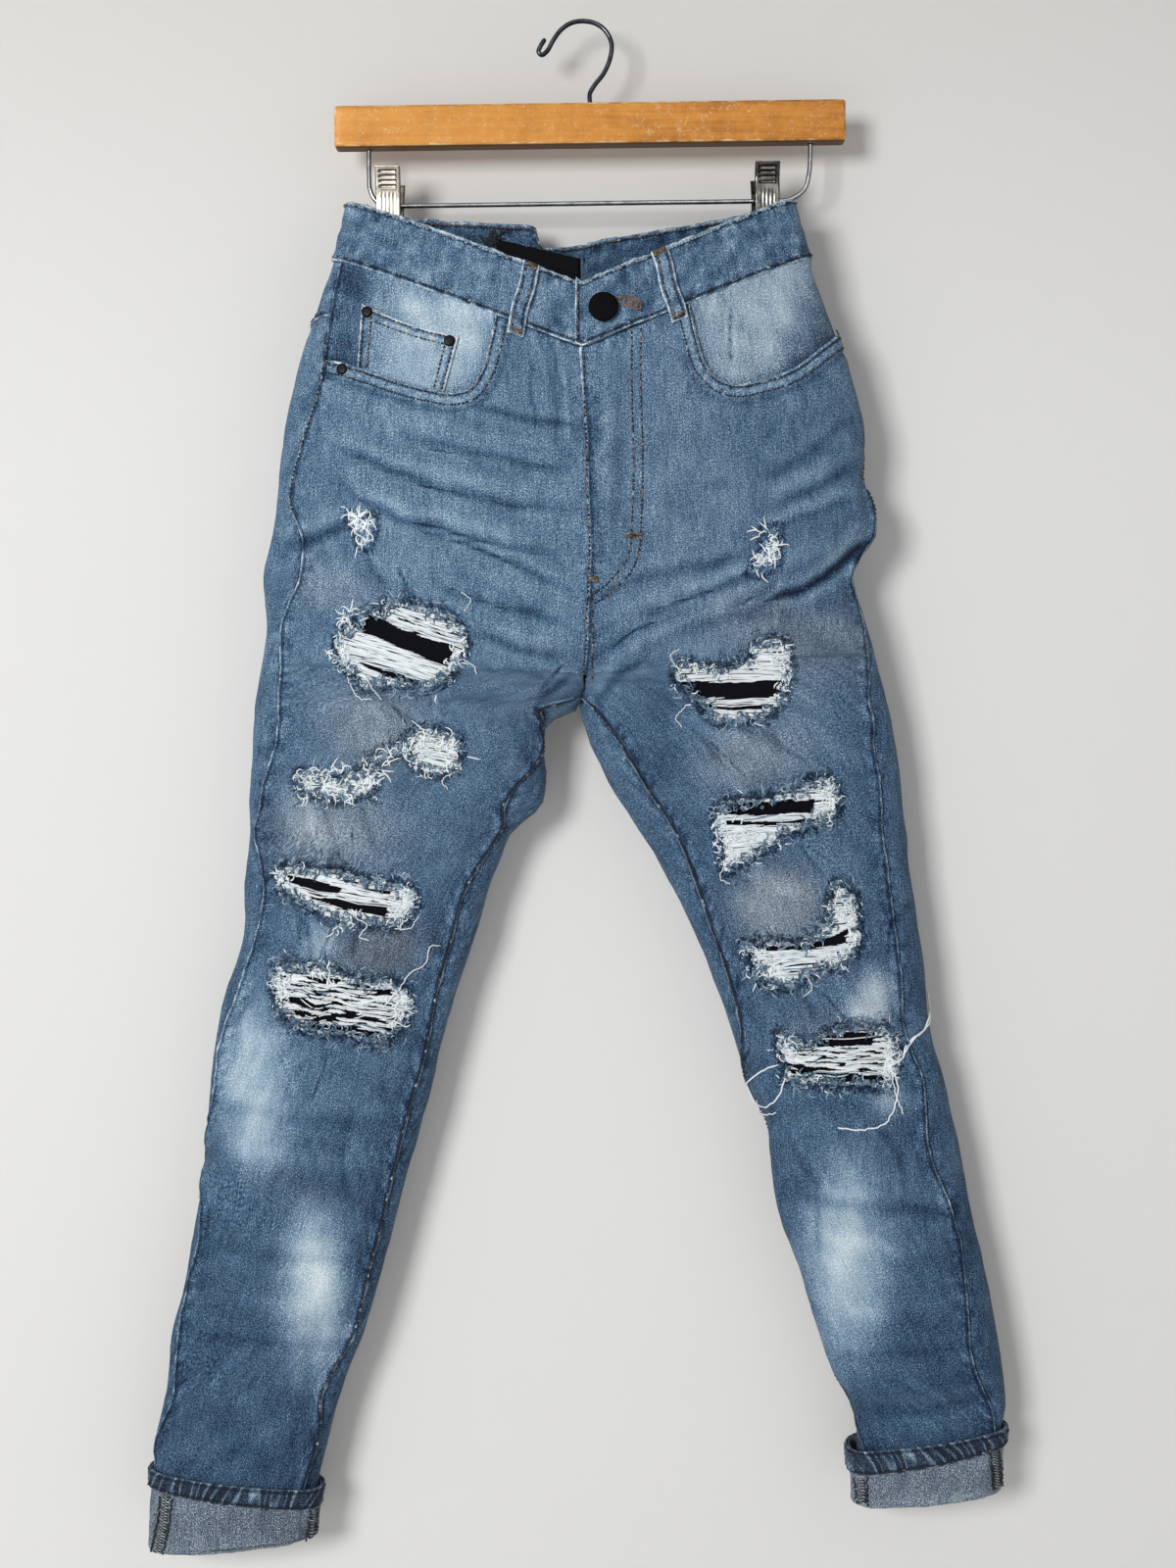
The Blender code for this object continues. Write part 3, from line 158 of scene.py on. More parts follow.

# %% [markdown]
# ## Creases as a table
#
# Hanging cloth pulls into long soft folds. They fan out from the crotch across both hips, gather
# behind the knees, and one deep crease runs under the bulge at the wearer's left hip. A cloth
# simulation would put folds somewhere else, so these are listed: each row is a line in the
# front view with a height (negative: a trough), a half width, and how much paler (or darker) the
# cloth is drawn along it: partly wear, partly painted shade along the troughs and painted
# highlights beside them. Every layer of cloth reads the same table, so layers never cross.

# %% Folds of the front and the back
# height, half width, change of wash (wear and painted shade), then the line's x, z points
FRONT_FOLDS = [
    # whiskers of the right hip, top to bottom
    (-1.6, 5, -.13, (-75, -270), (-50, -278), (-28, -283), (-4, -285)),
    (1.2, 7, .05, (-110, -280), (-70, -292), (-20, -299)),
    (-1.8, 5, -.14, (-122, -290), (-85, -301), (-58, -307), (-36, -313), (-10, -314)),
    (1.4, 8, .06, (-160, -295), (-110, -312), (-60, -325), (-14, -330)),
    (-2.2, 5, -.16, (-172, -295), (-143, -308), (-121, -317), (-94, -328), (-52, -337), (-8, -343)),
    (1.6, 8, .07, (-165, -325), (-125, -340), (-90, -347), (-40, -357)),
    (-2.2, 4.5, -.17, (-168, -320), (-150, -333), (-125, -347), (-98, -352), (-75, -360),
     (-52, -366), (-20, -371)),
    (1.3, 4, .08, (-100, -356), (-70, -365), (-50, -371)),
    (-2.4, 5, -.17, (-113, -354), (-84, -362), (-60, -371), (-36, -383), (-10, -394)),
    (1.5, 8, .06, (-110, -372), (-70, -384), (-20, -404)),
    (-2.0, 5, -.14, (-101, -389), (-74, -400), (-48, -408), (-12, -417)),
    (1.2, 7, .05, (-85, -410), (-50, -422), (-12, -430)),
    (-1.8, 5, -.12, (-75, -425), (-44, -433), (-14, -440)),
    (-1.5, 4, -.08, (-76, -444), (-45, -450), (-22, -452)),
    (-4.0, 7, -.20, (-208, -367), (-190, -362), (-168, -354), (-158, -352)),      # notch at the hip
    (2.5, 9, .04, (-205, -352), (-185, -346), (-165, -340)),
    (-1.6, 4, -.12, (-148, -368), (-140, -384), (-132, -392)),
    (-1.8, 3.5, -.16, (-122, -390), (-116, -400), (-112, -404)),
    # upright crumples beside the fly
    (0.8, 2.4, .10, (-11, -232), (-13, -262), (-11, -300)),
    (-0.8, 2.2, -.14, (-18, -230), (-20, -262), (-17, -300)),
    (0.6, 2.4, .09, (-26, -236), (-27, -266), (-24, -296)),
    (-0.6, 2.2, -.11, (-34, -240), (-35, -268), (-30, -290)),
    # pulls beside the crotch, and the folds inside the right thigh
    (-3.0, 5, -.16, (-10, -452), (-26, -466), (-32, -482)),
    (-2.4, 4, -.12, (-40, -500), (-34, -520), (-44, -545)),
    (1.8, 8, .03, (-60, -470), (-48, -500), (-58, -540)),
    # whiskers of the left hip
    (-2.0, 7, -.09, (128, -317), (148, -305), (166, -290), (184, -275)),
    (1.6, 9, .06, (120, -330), (150, -318), (184, -298)),
    (-2.0, 6, -.10, (126, -338), (150, -328), (168, -318), (186, -307)),
    (2.0, 9, .06, (110, -352), (150, -340), (190, -325)),
    (-1.8, 5, -.10, (132, -352), (157, -342), (186, -330)),
    (-1.6, 6, -.10, (8, -400), (45, -385), (80, -378), (110, -370)),
    (2.0, 8, .07, (15, -412), (60, -394), (110, -382), (150, -368)),
    (-2.2, 5, -.15, (38, -412), (62, -404), (93, -392), (115, -383), (130, -373)),
    (2.0, 8, .05, (30, -428), (70, -414), (110, -400)),
    (-1.8, 6, -.10, (10, -440), (30, -424), (54, -414), (84, -404)),
    (1.8, 7, .05, (6, -460), (22, -442), (40, -428)),
    (-2.0, 5, -.10, (6, -472), (24, -450), (44, -440)),
    (5.0, 13, .04, (196, -348), (170, -362), (135, -378)),      # bulge at the left hip
    (-6.0, 5.5, -.22, (200, -356), (180, -370), (163, -386), (138, -396), (118, -404)),
    (-2.4, 5, -.12, (99, -405), (118, -396), (128, -390)),
    (-2.0, 10, -.06, (60, -424), (90, -414), (130, -408)),
    # beside the fly
    (-1.2, 5, -.08, (9, -255), (7, -320), (10, -380)),
    (-.9, 6, -.05, (22, -260), (24, -310), (20, -360)),
    (.9, 6, .04, (15, -262), (15, -300), (13, -350)),
    # backing pieces that press through, and pulls between the rips
    (-1.4, 3, -.10, (-140, -462), (-104, -492)),
    (1.3, 5, .05, (-150, -466), (-112, -500)),
    (-1.4, 3, -.12, (-177, -540), (-166, -566), (-163, -578)),
    (1.2, 6, .06, (-187, -540), (-176, -572)),
    (-1.2, 4, -.10, (-152, -538), (-140, -572)),
    (-1.5, 5, -.12, (-190, -612), (-184, -640)),
    (1.2, 5, .05, (-175, -612), (-170, -640)),
    (-1.3, 5, -.10, (-150, -618), (-158, -642)),
    (-1.2, 3, -.10, (69, -482), (95, -512)),
    (-1.2, 3, -.10, (122, -488), (153, -514)),
    (1.4, 12, .04, (95, -490), (130, -512)),
    (-1.2, 3, -.08, (140, -560), (162, -585)),
    (1.6, 12, .05, (112, -585), (150, -600)),
    (-1.3, 4, -.10, (140, -655), (158, -686)),
    (1.5, 9, .08, (170, -655), (188, -690)),
    (-1.4, 5, -.08, (195, -755), (215, -775), (218, -805)),
    (-1.2, 5, -.08, (142, -770), (160, -800), (158, -850)),
    # legs: sag below the knees, pulls towards the seams
    (-3.5, 8, -.10, (138, -805), (190, -812), (256, -815)),
    (3.5, 10, .04, (142, -830), (200, -836), (260, -842)),
    (-3.0, 9, -.07, (-256, -742), (-190, -752), (-122, -756)),
    (3.0, 11, .04, (-260, -768), (-190, -778), (-130, -780)),
    (-2.6, 8, -.06, (-262, -836), (-200, -846), (-140, -850)),
    (-2.4, 7, -.06, (-268, -898), (-200, -906), (-150, -905)),
    (2.2, 10, .03, (-270, -868), (-210, -876), (-146, -880)),
    (-2.2, 7, -.06, (270, -905), (220, -912), (176, -915)),
    (2.0, 9, .03, (262, -872), (210, -880), (162, -888)),
    (-2.4, 7, -.08, (280, -940), (235, -950), (192, -952)),
    (-1.8, 6, -.07, (-222, -660), (-236, -685), (-240, -720)),
    (1.8, 7, .03, (-205, -720), (-225, -750), (-232, -800)),
    (-1.8, 6, -.07, (-155, -735), (-165, -775), (-158, -820)),
    (2.0, 9, .0, (-215, -820), (-222, -870), (-235, -930)),
    (-1.8, 7, -.05, (-180, -880), (-188, -930), (-200, -980)),
    (1.8, 8, .0, (226, -640), (232, -700), (238, -740)),
    (-2.2, 5, -.12, (224, -606), (212, -618), (200, -622)),     # pull at the left knee's outseam
    (-2.0, 5, -.08, (-232, -555), (-222, -562), (-205, -560)),
    (-1.8, 5, -.08, (-228, -505), (-216, -500), (-200, -496)),
]
# the same for the back: x is the wearer's left positive, seen from behind it is mirrored
BACK_FOLDS = [
    (-2.0, 6, -.08, (-15, -430), (-60, -418), (-120, -400), (-180, -372)),
    (2.2, 9, .04, (-20, -445), (-80, -434), (-150, -412)),
    (-1.8, 6, -.08, (15, -432), (70, -416), (140, -392), (182, -370)),
    (2.0, 9, .04, (20, -448), (80, -436), (160, -414)),
    (-2.6, 6, -.10, (-60, -470), (-120, -458), (-190, -452)),
    (-2.4, 6, -.10, (20, -476), (90, -462), (170, -452)),
    (-2.6, 8, -.06, (-90, -640), (-160, -648), (-228, -640)),
    (2.6, 9, .04, (-95, -662), (-160, -672), (-236, -664)),
    (-2.4, 7, -.06, (-100, -690), (-170, -700), (-240, -695)),
    (-2.6, 8, -.06, (92, -640), (160, -646), (224, -636)),
    (2.6, 9, .04, (100, -664), (170, -670), (228, -660)),
    (-2.4, 7, -.06, (108, -695), (170, -702), (236, -694)),
    (-2.0, 8, -.05, (-135, -820), (-200, -832), (-262, -828)),
    (-2.0, 8, -.05, (140, -812), (200, -824), (262, -815)),
    (-2.0, 8, -.05, (-160, -920), (-220, -926), (-276, -918)),
    (-2.0, 8, -.05, (176, -905), (225, -912), (276, -900)),
]


# %% Small words that every later cell uses
def bell(distance, width=1.0):
    """1 at distance 0, fading to both sides: exp(-(distance / width) squared)."""
    return np.exp(-(distance / width) ** 2)


def ramp(low, high, at):
    """0 below low, 1 above high, an S-curve between."""
    t = np.clip((at - low) / (high - low), 0.0, 1.0)
    return t * t * (3 - 2 * t)


def ripple(u, v, size, seed, waves=7):
    """Even noise of about -1 to 1: sines in random directions, each with a wave near `size` mm.

    Their sum is divided by the root of their number.
    """
    dice = np.random.default_rng(seed)
    total = 0
    for _ in range(waves):
        heading, phase = dice.uniform(0, 2 * math.pi, 2)
        pitch = size * dice.uniform(0.7, 1.5) / (2 * math.pi)
        total = total + np.sin((u * math.cos(heading) + v * math.sin(heading)) / pitch + phase)
    return total / math.sqrt(waves) * 0.9


def unit(vectors):
    """The vectors, each divided by its length."""
    return vectors / np.maximum(np.linalg.norm(vectors, axis=-1, keepdims=True), 1e-9)


def running_length(points, axis=0):
    """Distance from the first row or column, as the running sum of the steps."""
    steps = np.linalg.norm(np.diff(points, axis=axis), axis=-1)
    return np.concatenate([np.zeros_like(np.take(steps, [0], axis)), np.cumsum(steps, axis)], axis)


def smooth(knots, values, at):
    """Read a Catmull-Rom curve through (knots, values) at the places `at`."""
    slopes = np.gradient(values, knots)
    i = np.clip(np.searchsorted(knots, at, side="right") - 1, 0, len(knots) - 2)
    step = knots[i + 1] - knots[i]
    t = np.clip((at - knots[i]) / step, 0.0, 1.0)
    return ((1 + 2 * t) * (1 - t) ** 2 * values[i] + t * (1 - t) ** 2 * step * slopes[i]
            + t * t * (3 - 2 * t) * values[i + 1] + t * t * (t - 1) * step * slopes[i + 1])


def curve(points, step=1.0):
    """A Catmull-Rom curve through the points, read about every `step` mm."""
    points = np.array(points, dtype=float)
    knots = running_length(points)
    at = np.linspace(0, knots[-1], max(3, int(knots[-1] / step) + 1))
    return np.stack([smooth(knots, points[:, k], at) for k in range(points.shape[1])], axis=-1)


def to_stretch(x, z, start, end):
    """Distance from points to a straight stretch, and how far along it (0 to 1) the nearest is.

    That share is the way to the point times the stretch, summed over both axes and divided by the
    stretch's length squared, kept between 0 and 1.
    """
    step = end - start
    t = np.clip(((x - start[0]) * step[0] + (z - start[1]) * step[1]) / max(step @ step, 1e-9), 0, 1)
    return np.hypot(x - start[0] - t * step[0], z - start[1] - t * step[1]), t


def near_line(x, z, line, reach):
    """Distance from the points within reach of a line to it: (which points, distance, share along).

    The smallest distance to any of its straight stretches counts.
    """
    line = np.array(line, dtype=float)
    low, high = line.min(axis=0) - reach, line.max(axis=0) + reach
    which = np.nonzero((x > low[0]) & (x < high[0]) & (z > low[1]) & (z < high[1]))
    x, z = x[which], z[which]
    best = np.full(x.shape, np.inf)
    place = np.zeros(x.shape)
    for i, (start, end) in enumerate(zip(line, line[1:])):
        off, t = to_stretch(x, z, start, end)
        place = np.where(off < best, (i + t) / (len(line) - 1), place)
        best = np.minimum(best, off)
    return which, best, place


def folds_at(x, z, behind, column):
    """Sum over the folds of column (0 height, 2 change of wash) times a bell across the line.

    The bell is exp(-(distance / half width) squared), and it fades towards the line's ends. The
    wash also turns the other way on both flanks: a painted highlight beside a dark trough, painted
    shade beside a pale ridge.
    """
    total = np.zeros(x.shape)
    if column:
        # the wash (wear and painted shade) draws each fold as a thinner, slightly wavering line
        x, z = x + 1.0 * ripple(x, z, 40, 15), z + 1.1 * ripple(x, z, 40, 16)
    for table, here in ((FRONT_FOLDS, ~behind), (BACK_FOLDS, behind)):
        for fold in table:
            width = fold[1] * (0.5 if column else 1.0)
            which, off, place = near_line(x, z, fold[3:], (4.5 if column else 2.5) * width)
            fade = np.clip(4.5 * np.minimum(place, 1 - place) + 0.25, 0, 1)
            shape = bell(off, width)
            if column:
                shape -= 0.24 * bell(off / width - 2.4, 1.1)
            total[which] += fold[column] * fade * shape * here[which]
    return total


# sharp creases, too fine for the mesh, drawn as painted shade and a bump: half width, then x, z points
CREASES = [
    (3.2, (200, -356), (185, -365), (170, -377), (159, -386), (144, -395), (132, -398),
     (119, -403)),
    (1.3, (118, -397), (112, -400), (103, -407)),
    (1.6, (-127, -376), (-122, -385), (-117, -394)),
    (1.2, (-151, -362), (-144, -372), (-140, -381)),
    (1.9, (-12, -442), (-21, -452), (-31, -466), (-32, -477), (-27, -485)),
    (1.2, (-24, -456), (-22, -470), (-12, -478)),
    (1.3, (-183, -547), (-175, -578)), (1.1, (-157, -549), (-155, -577)),
    (1.4, (-194, -615), (-191, -638)), (1.3, (-169, -620), (-180, -646)),
    (1.3, (-132, -468), (-112, -492)),
    (1.2, (80, -491), (113, -524)), (1.1, (130, -489), (158, -512)),
    (1.1, (145, -563), (175, -582)), (1.3, (161, -665), (175, -681)),
    (1.1, (-210, -700), (-196, -730)), (1.0, (-172, -705), (-186, -745)),
    (1.4, (224, -606), (214, -611), (208, -620), (207, -640)),
    (1.2, (210, -733), (216, -756)), (1.2, (-228, -552), (-214, -560)),
    (1.7, (99, -202), (98, -222), (99, -246)),
    # fine wrinkles that the whiskers end in
    (1.2, (-128, -318), (-104, -326), (-80, -332), (-58, -336)),
    (1.3, (-122, -348), (-98, -353), (-74, -361), (-50, -367)),
    (1.2, (-110, -356), (-84, -363), (-60, -372), (-36, -384)),
    (1.0, (-96, -391), (-72, -401), (-50, -408)), (1.0, (-120, -300), (-88, -303), (-60, -308)),
    (1.1, (44, -409), (66, -402), (92, -393)), (1.0, (14, -438), (34, -422), (54, -414)),
]


def crease_distance(x, z):
    """Distance to the nearest sharp crease in units of its half width, 99 where far away."""
    best = np.full(x.shape, 99.0)
    for width, *line in CREASES:
        which, off, place = near_line(x, z, curve(line, 2.0), 9)
        taper = np.clip(5 * np.minimum(place, 1 - place), 0.2, 1)
        best[which] = np.minimum(best[which], off / (width * taper))
    return best


# %% The surface of one half
class Half:
    """One half of the jeans as a surface over down (mm below the hook) and turn (0 to 1)."""

    def __init__(self, rows, side):
        table = np.array(rows, dtype=float)
        self.side = side                                    # -1 wearer's right, +1 left
        self.col = {name: table[:, i] for i, name in enumerate(COLUMNS)}
        self.down = -self.col["outer_z"]
        self.top, self.waist = self.down[0], self.down[WAIST_ROW]
        self.crotch, self.cuff, self.bottom = self.down[[CROTCH_ROW, CUFF_ROW, -1]]
        width = np.abs(self.col["outer_x"] - self.col["front_x"])
        start = self.start_of(self.col["closed"])
        outer = self.turn_of(1 - np.abs(self.col["outseam"]) / width, start)
        self.out_turn = np.sign(self.col["outseam"]) * (0.5 - outer)
        inner = self.turn_of(np.abs(self.col["inseam"]) / width, start)
        self.in_turn = np.sign(self.col["inseam"]) * inner

    @staticmethod
    def start_of(closed):
        """Angle at which the section's outline starts: 90 degrees open, 0 closed."""
        return (1 - closed) * math.pi / 2

    @staticmethod
    def turn_of(across, start):
        """Turn of the front point that lies a share `across` from the inner to the outer edge."""
        angle = np.arccos(np.clip(np.cos(start) - across * (1 + np.cos(start)), -1, 1))
        return (angle - start) / (math.pi - start) / 2

    def read(self, name, down):
        """One column of the table at any depth."""
        return smooth(self.down, self.col[name], down)

    def closed(self, down):
        """0 where the section is open to the other half, 1 in a closed leg."""
        return np.clip(self.read("closed", down), 0, 1)

    def inner_x(self, down):
        """x of the inner end, kept clear of the other half."""
        facing = CROTCH_GAP * self.closed(down) ** 2 * (1 - ramp(*LEGS_PART, down))
        return self.read("front_x", down) + self.side * (CENTRE_GAP + facing)

    def outseam(self, down):
        """Turn of the side seam."""
        return 0.5 - smooth(self.down, self.out_turn, down)

    def inseam(self, down):
        """Turn of the inner seam, 0 above the crotch."""
        return smooth(self.down, self.in_turn, down) * (down > self.down[CROTCH_ROW - 1])

    def ring(self, down, turn):
        """Points of the cloth's inner face.

        x and z run from the section's inner end to its outer edge by the cosine of an angle, and
        y stands off the mid plane by the half depth times its sine to a power below 1.
        """
        down, turn = np.broadcast_arrays(np.asarray(down, float), np.asarray(turn, float))
        turn = np.where(turn > 1, turn - 1, np.where(turn < 0, turn + 1, turn))
        behind = turn > 0.5
        closed = self.closed(down)
        start = self.start_of(closed)
        angle = start + (math.pi - start) * 2 * np.where(behind, 1 - turn, turn)
        across = (np.cos(start) - np.cos(angle)) / (1 + np.cos(start))
        inner_x = self.inner_x(down)
        inner_z = np.where(behind, self.read("back_z", down), self.read("front_z", down))
        middle = smooth(DEPTHS[:, 0], DEPTHS[:, 1], down)
        half_depth = smooth(DEPTHS[:, 0], DEPTHS[:, 2], down)
        inner_y = middle + (self.read("inner_y", down) - middle) * closed
        x = inner_x + (self.read("outer_x", down) - inner_x) * across
        z = inner_z + (self.read("outer_z", down) - inner_z) * across
        y = inner_y + (middle - inner_y) * across
        bulge = np.sin(angle) ** FULLNESS
        out = np.where(behind, 1, -1)
        y = y + out * bulge * (half_depth + folds_at(x, z, behind, 0))
        return np.stack([x, y, z], axis=-1)

    def lifted(self, down, turn, lift):
        """Points moved out along the surface's normal by `lift` mm (inwards if negative)."""
        down, turn, lift = np.broadcast_arrays(np.asarray(down, float), np.asarray(turn, float), lift)
        here = self.ring(down, turn)
        step = np.where(turn % 1.0 < 0.5, 1e-3, -1e-3)
        around = (self.ring(down, turn + step) - here) / step[..., None]
        down_step = np.where(down > self.bottom - 1, -0.5, 0.5)
        along = (self.ring(down + down_step, turn) - here) / down_step[..., None]
        return here + unit(np.cross(along, around) * self.side) * lift[..., None]

    def across_at(self, x, down):
        """Share of the way from a section's inner end to its outer edge at which x lies."""
        inner_x = self.inner_x(down)
        return np.clip((x - inner_x) / (self.read("outer_x", down) - inner_x), 0, 1)

    def turn_at(self, x, down, behind=False):
        """Turn of the front (or back) point of a section that lies at x."""
        turn = self.turn_of(self.across_at(x, down), self.start_of(self.closed(down)))
        return np.where(behind, 1 - turn, turn)

    def locate(self, x, z, behind=False):
        """(down, turn) of the front (or back) point at x, z, by repeated correction of down."""
        x, z = np.asarray(x, float), np.asarray(z, float)
        down = -z
        for _ in range(CORRECTIONS):
            inner_z = self.read("back_z" if behind else "front_z", down)
            row_z = inner_z + (self.read("outer_z", down) - inner_z) * self.across_at(x, down)
            down = np.clip(down + 0.8 * (row_z - z), self.top, self.bottom)
        return down, self.turn_at(x, down, behind)

    def on(self, x, z, lift=0.0, behind=False):
        """Points on the front (or back) at x, z."""
        return self.lifted(*self.locate(x, z, behind), lift)


RIGHT, LEFT = Half(RIGHT_ROWS, -1), Half(LEFT_ROWS, 1)
HALVES = {"right": RIGHT, "left": LEFT}
print("legs:", {name: round(half.bottom - half.top) for name, half in HALVES.items()}, "mm long")

# %% [markdown]
# ## From grids to meshes
#
# Every piece below is arrays of points. One helper turns points and quads into an object, and
# stores what the shaders read: a UV map called `cloth` that measures the piece in millimetres, so
# that a weave keeps its real scale round every curve, and a few marks such as the distance to the
# nearest seam. Wear follows seams and holes, so distances are the natural thing to store.

# %% Objects from arrays
FAR = 99.0              # a distance that no wear reaches
MARKS = ("wash", "grey", "edge", "rip", "crease")       # what the denim's shader reads at each point


def placed(name, data):
    """A new object with this data, linked to the scene."""
    thing = bpy.data.objects.new(name, data)
    bpy.context.scene.collection.objects.link(thing)
    return thing


def make_object(name, points, quads, marks=None, cloth=None):
    """A mesh object from points in mm and quads; `cloth` is a place in mm on the flat piece."""
    used, quads = np.unique(quads, return_inverse=True)
    quads = quads.reshape(-1, 4)
    mesh = bpy.data.meshes.new(name)
    mesh.vertices.add(len(used))
    mesh.vertices.foreach_set("co", (points[used] * MM).astype(np.float32).ravel())
    mesh.loops.add(quads.size)
    mesh.loops.foreach_set("vertex_index", quads.ravel().astype(np.int32))
    mesh.polygons.add(len(quads))
    mesh.polygons.foreach_set("loop_start", np.arange(0, quads.size, 4, dtype=np.int32))
    mesh.polygons.foreach_set("use_smooth", np.ones(len(quads), dtype=bool))
    if cloth is not None:
        layer = mesh.uv_layers.new(name="cloth")
        layer.data.foreach_set("uv", cloth[used][quads.ravel()].astype(np.float32).ravel())
    for label, values in (marks or {}).items():
        column = mesh.attributes.new(label, "FLOAT", "POINT")
        column.data.foreach_set("value", values.ravel()[used].astype(np.float32))
    mesh.update(calc_edges=True)
    return placed(name, mesh)


def dress(thing, material, slot, *nodes):
    """Give a finished piece its material and its body, and hide the CAD nodes it stands for; slot is not
    used.
    """
    thing.data.materials.append(material)
    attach(thing, "root")
    if nodes:
        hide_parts(*nodes)
    return thing


def grid_quads(rows, columns, wrap=False):
    """Quads of a grid of points, closed on itself sideways if wrap."""
    index = np.arange(rows * columns).reshape(rows, columns)
    if wrap:
        index = np.hstack([index, index[:, :1]])
    corners = (index[:-1, :-1], index[:-1, 1:], index[1:, 1:], index[1:, :-1])
    return np.stack(corners, axis=-1).reshape(-1, 4)


def spun_quads(rings, sides):
    """Quads of a stack of rings, closed by discs round two centre points that follow them."""
    centre, base = rings * sides, (rings - 1) * sides
    start = np.arange(0, sides, 2)
    after = (start + 2) % sides
    first = np.stack([start * 0 + centre, after, start + 1, start], axis=-1)
    last = np.stack([start * 0 + centre + 1, base + start, base + start + 1, base + after], axis=-1)
    return np.concatenate([grid_quads(rings, sides, wrap=True), first, last])


def circles(first, second, sides):
    """Circles round 0 in the planes of pairs of vectors: cos times the first plus sin times the other."""
    angle = np.arange(sides)[:, None] / sides * 2 * math.pi
    return np.cos(angle) * first[..., None, :] + np.sin(angle) * second[..., None, :]


# %% [markdown]
# ## A sewn piece
#
# A panel is a grid on the tube. Its points are the outer face, moved along their normals where a
# seam stands up or puckers, and Solidify gives it the wall of real denim. Holes are not Boolean
# cuts, which would leave long thin triangles: grid points near a hole's outline slide onto it, and
# the quads inside are dropped.

# %% The panel class
class Panel:
    """A sewn piece of cloth: rows of points down the garment, columns round it."""

    def __init__(self, points, side):
        self.points, self.side = points.copy(), side
        self.normals = unit(np.cross(np.gradient(points, axis=0), np.gradient(points, axis=1)) * side)
        self.across, self.along = running_length(points, 1), running_length(points, 0)
        self.width = self.across[:, -1:]
        self.flat = (float(self.across[:, -1].max()), float(self.along[-1].max()))
        diagonals = points[1:, 1:] - points[:-1, :-1], points[1:, :-1] - points[:-1, 1:]
        self.area = float(np.linalg.norm(np.cross(*diagonals), axis=-1).sum() / 2)
        self.marks = {label: np.full(points.shape[:2], FAR) for label in MARKS}
        self.marks["wash"], self.marks["grey"] = self.marks["wash"] * 0 + 0.45, self.marks["grey"] * 0
        self.inside = np.zeros(points.shape[:2], bool)

    @property
    def x(self):
        return self.points[..., 0]

    @property
    def z(self):
        return self.points[..., 2]

    def uneven(self, size, seed, across=1.0, along=1.0):
        """Ripples on the cloth, drawn out along the direction that is scaled down."""
        return ripple(self.across * across, self.along * along, size, seed)

    def raise_by(self, height):
        """Move the points out along the normals by height mm."""
        self.points += self.normals * np.broadcast_to(height, self.points.shape[:2])[..., None]

    def add_edge(self, distance):
        """Note another seam or folded edge, `distance` mm away from each point."""
        self.marks["edge"] = np.minimum(self.marks["edge"], distance)

    def trim(self, distance):
        """Cut away where distance is negative.

        A point just inside moves on the grid by -distance * slope / slope squared, which brings
        it to the outline; it takes the place and marks found there.
        """
        inside = distance < 0
        near = np.zeros_like(inside)
        grown = np.pad(~inside, 1, mode="edge")
        rows, columns = inside.shape
        for i in range(3):
            for j in range(3):
                near |= grown[i:i + rows, j:j + columns]
        i, j = np.nonzero(inside & near)
        slope_i, slope_j = (s[i, j] for s in np.gradient(distance))
        length = np.maximum(slope_i ** 2 + slope_j ** 2, 1e-6)
        move = -distance[i, j] / length
        to_i = np.clip(i + np.clip(move * slope_i, -1.2, 1.2), 0, rows - 1.001)
        to_j = np.clip(j + np.clip(move * slope_j, -1.2, 1.2), 0, columns - 1.001)
        i0, j0 = to_i.astype(int), to_j.astype(int)
        a, b = to_i - i0, to_j - j0

        def blended(values):
            shape = (-1,) + (1,) * (values.ndim - 2)
            p, q = a.reshape(shape), b.reshape(shape)
            return ((1 - p) * ((1 - q) * values[i0, j0] + q * values[i0, j0 + 1])
                    + p * ((1 - q) * values[i0 + 1, j0] + q * values[i0 + 1, j0 + 1]))

        for values in (self.points, self.across, self.along, *self.marks.values()):
            values[i, j] = blended(values.copy())
        self.inside |= inside

    def build(self, name, thickness=DENIM, wrap=False):
        """The piece as an object: quads that are not wholly inside a hole, with a wall behind."""
        rows, columns = self.points.shape[:2]
        quads = grid_quads(rows, columns, wrap)
        quads = quads[~self.inside.ravel()[quads].all(axis=1)]
        if self.side > 0:
            quads = quads[:, ::-1]
        cloth = np.stack([self.across, -self.along], axis=-1).reshape(-1, 2)
        thing = make_object(name, self.points.reshape(-1, 3), quads, self.marks, cloth)
        if thickness:
            wall = thing.modifiers.new("Wall", "SOLIDIFY")
            wall.thickness = thickness * MM
            wall.offset = -1.0
        print(f"{name}: {len(quads)} quads, cut {self.flat[0]:.0f} x {self.flat[1]:.0f} mm")
        return thing

    def sew(self, name, finish, slot="denim", thickness=DENIM, wrap=False):
        """Build and dress the piece as the CAD node `name`, and state its cut.

        The cut is the longest row and column.
        """
        piece = dress(self.build(f"shell_{name}", thickness, wrap), finish, slot, name)


# %% Threads: many tubes in one mesh
SIDES = 4               # of a thread: its ends are single quads


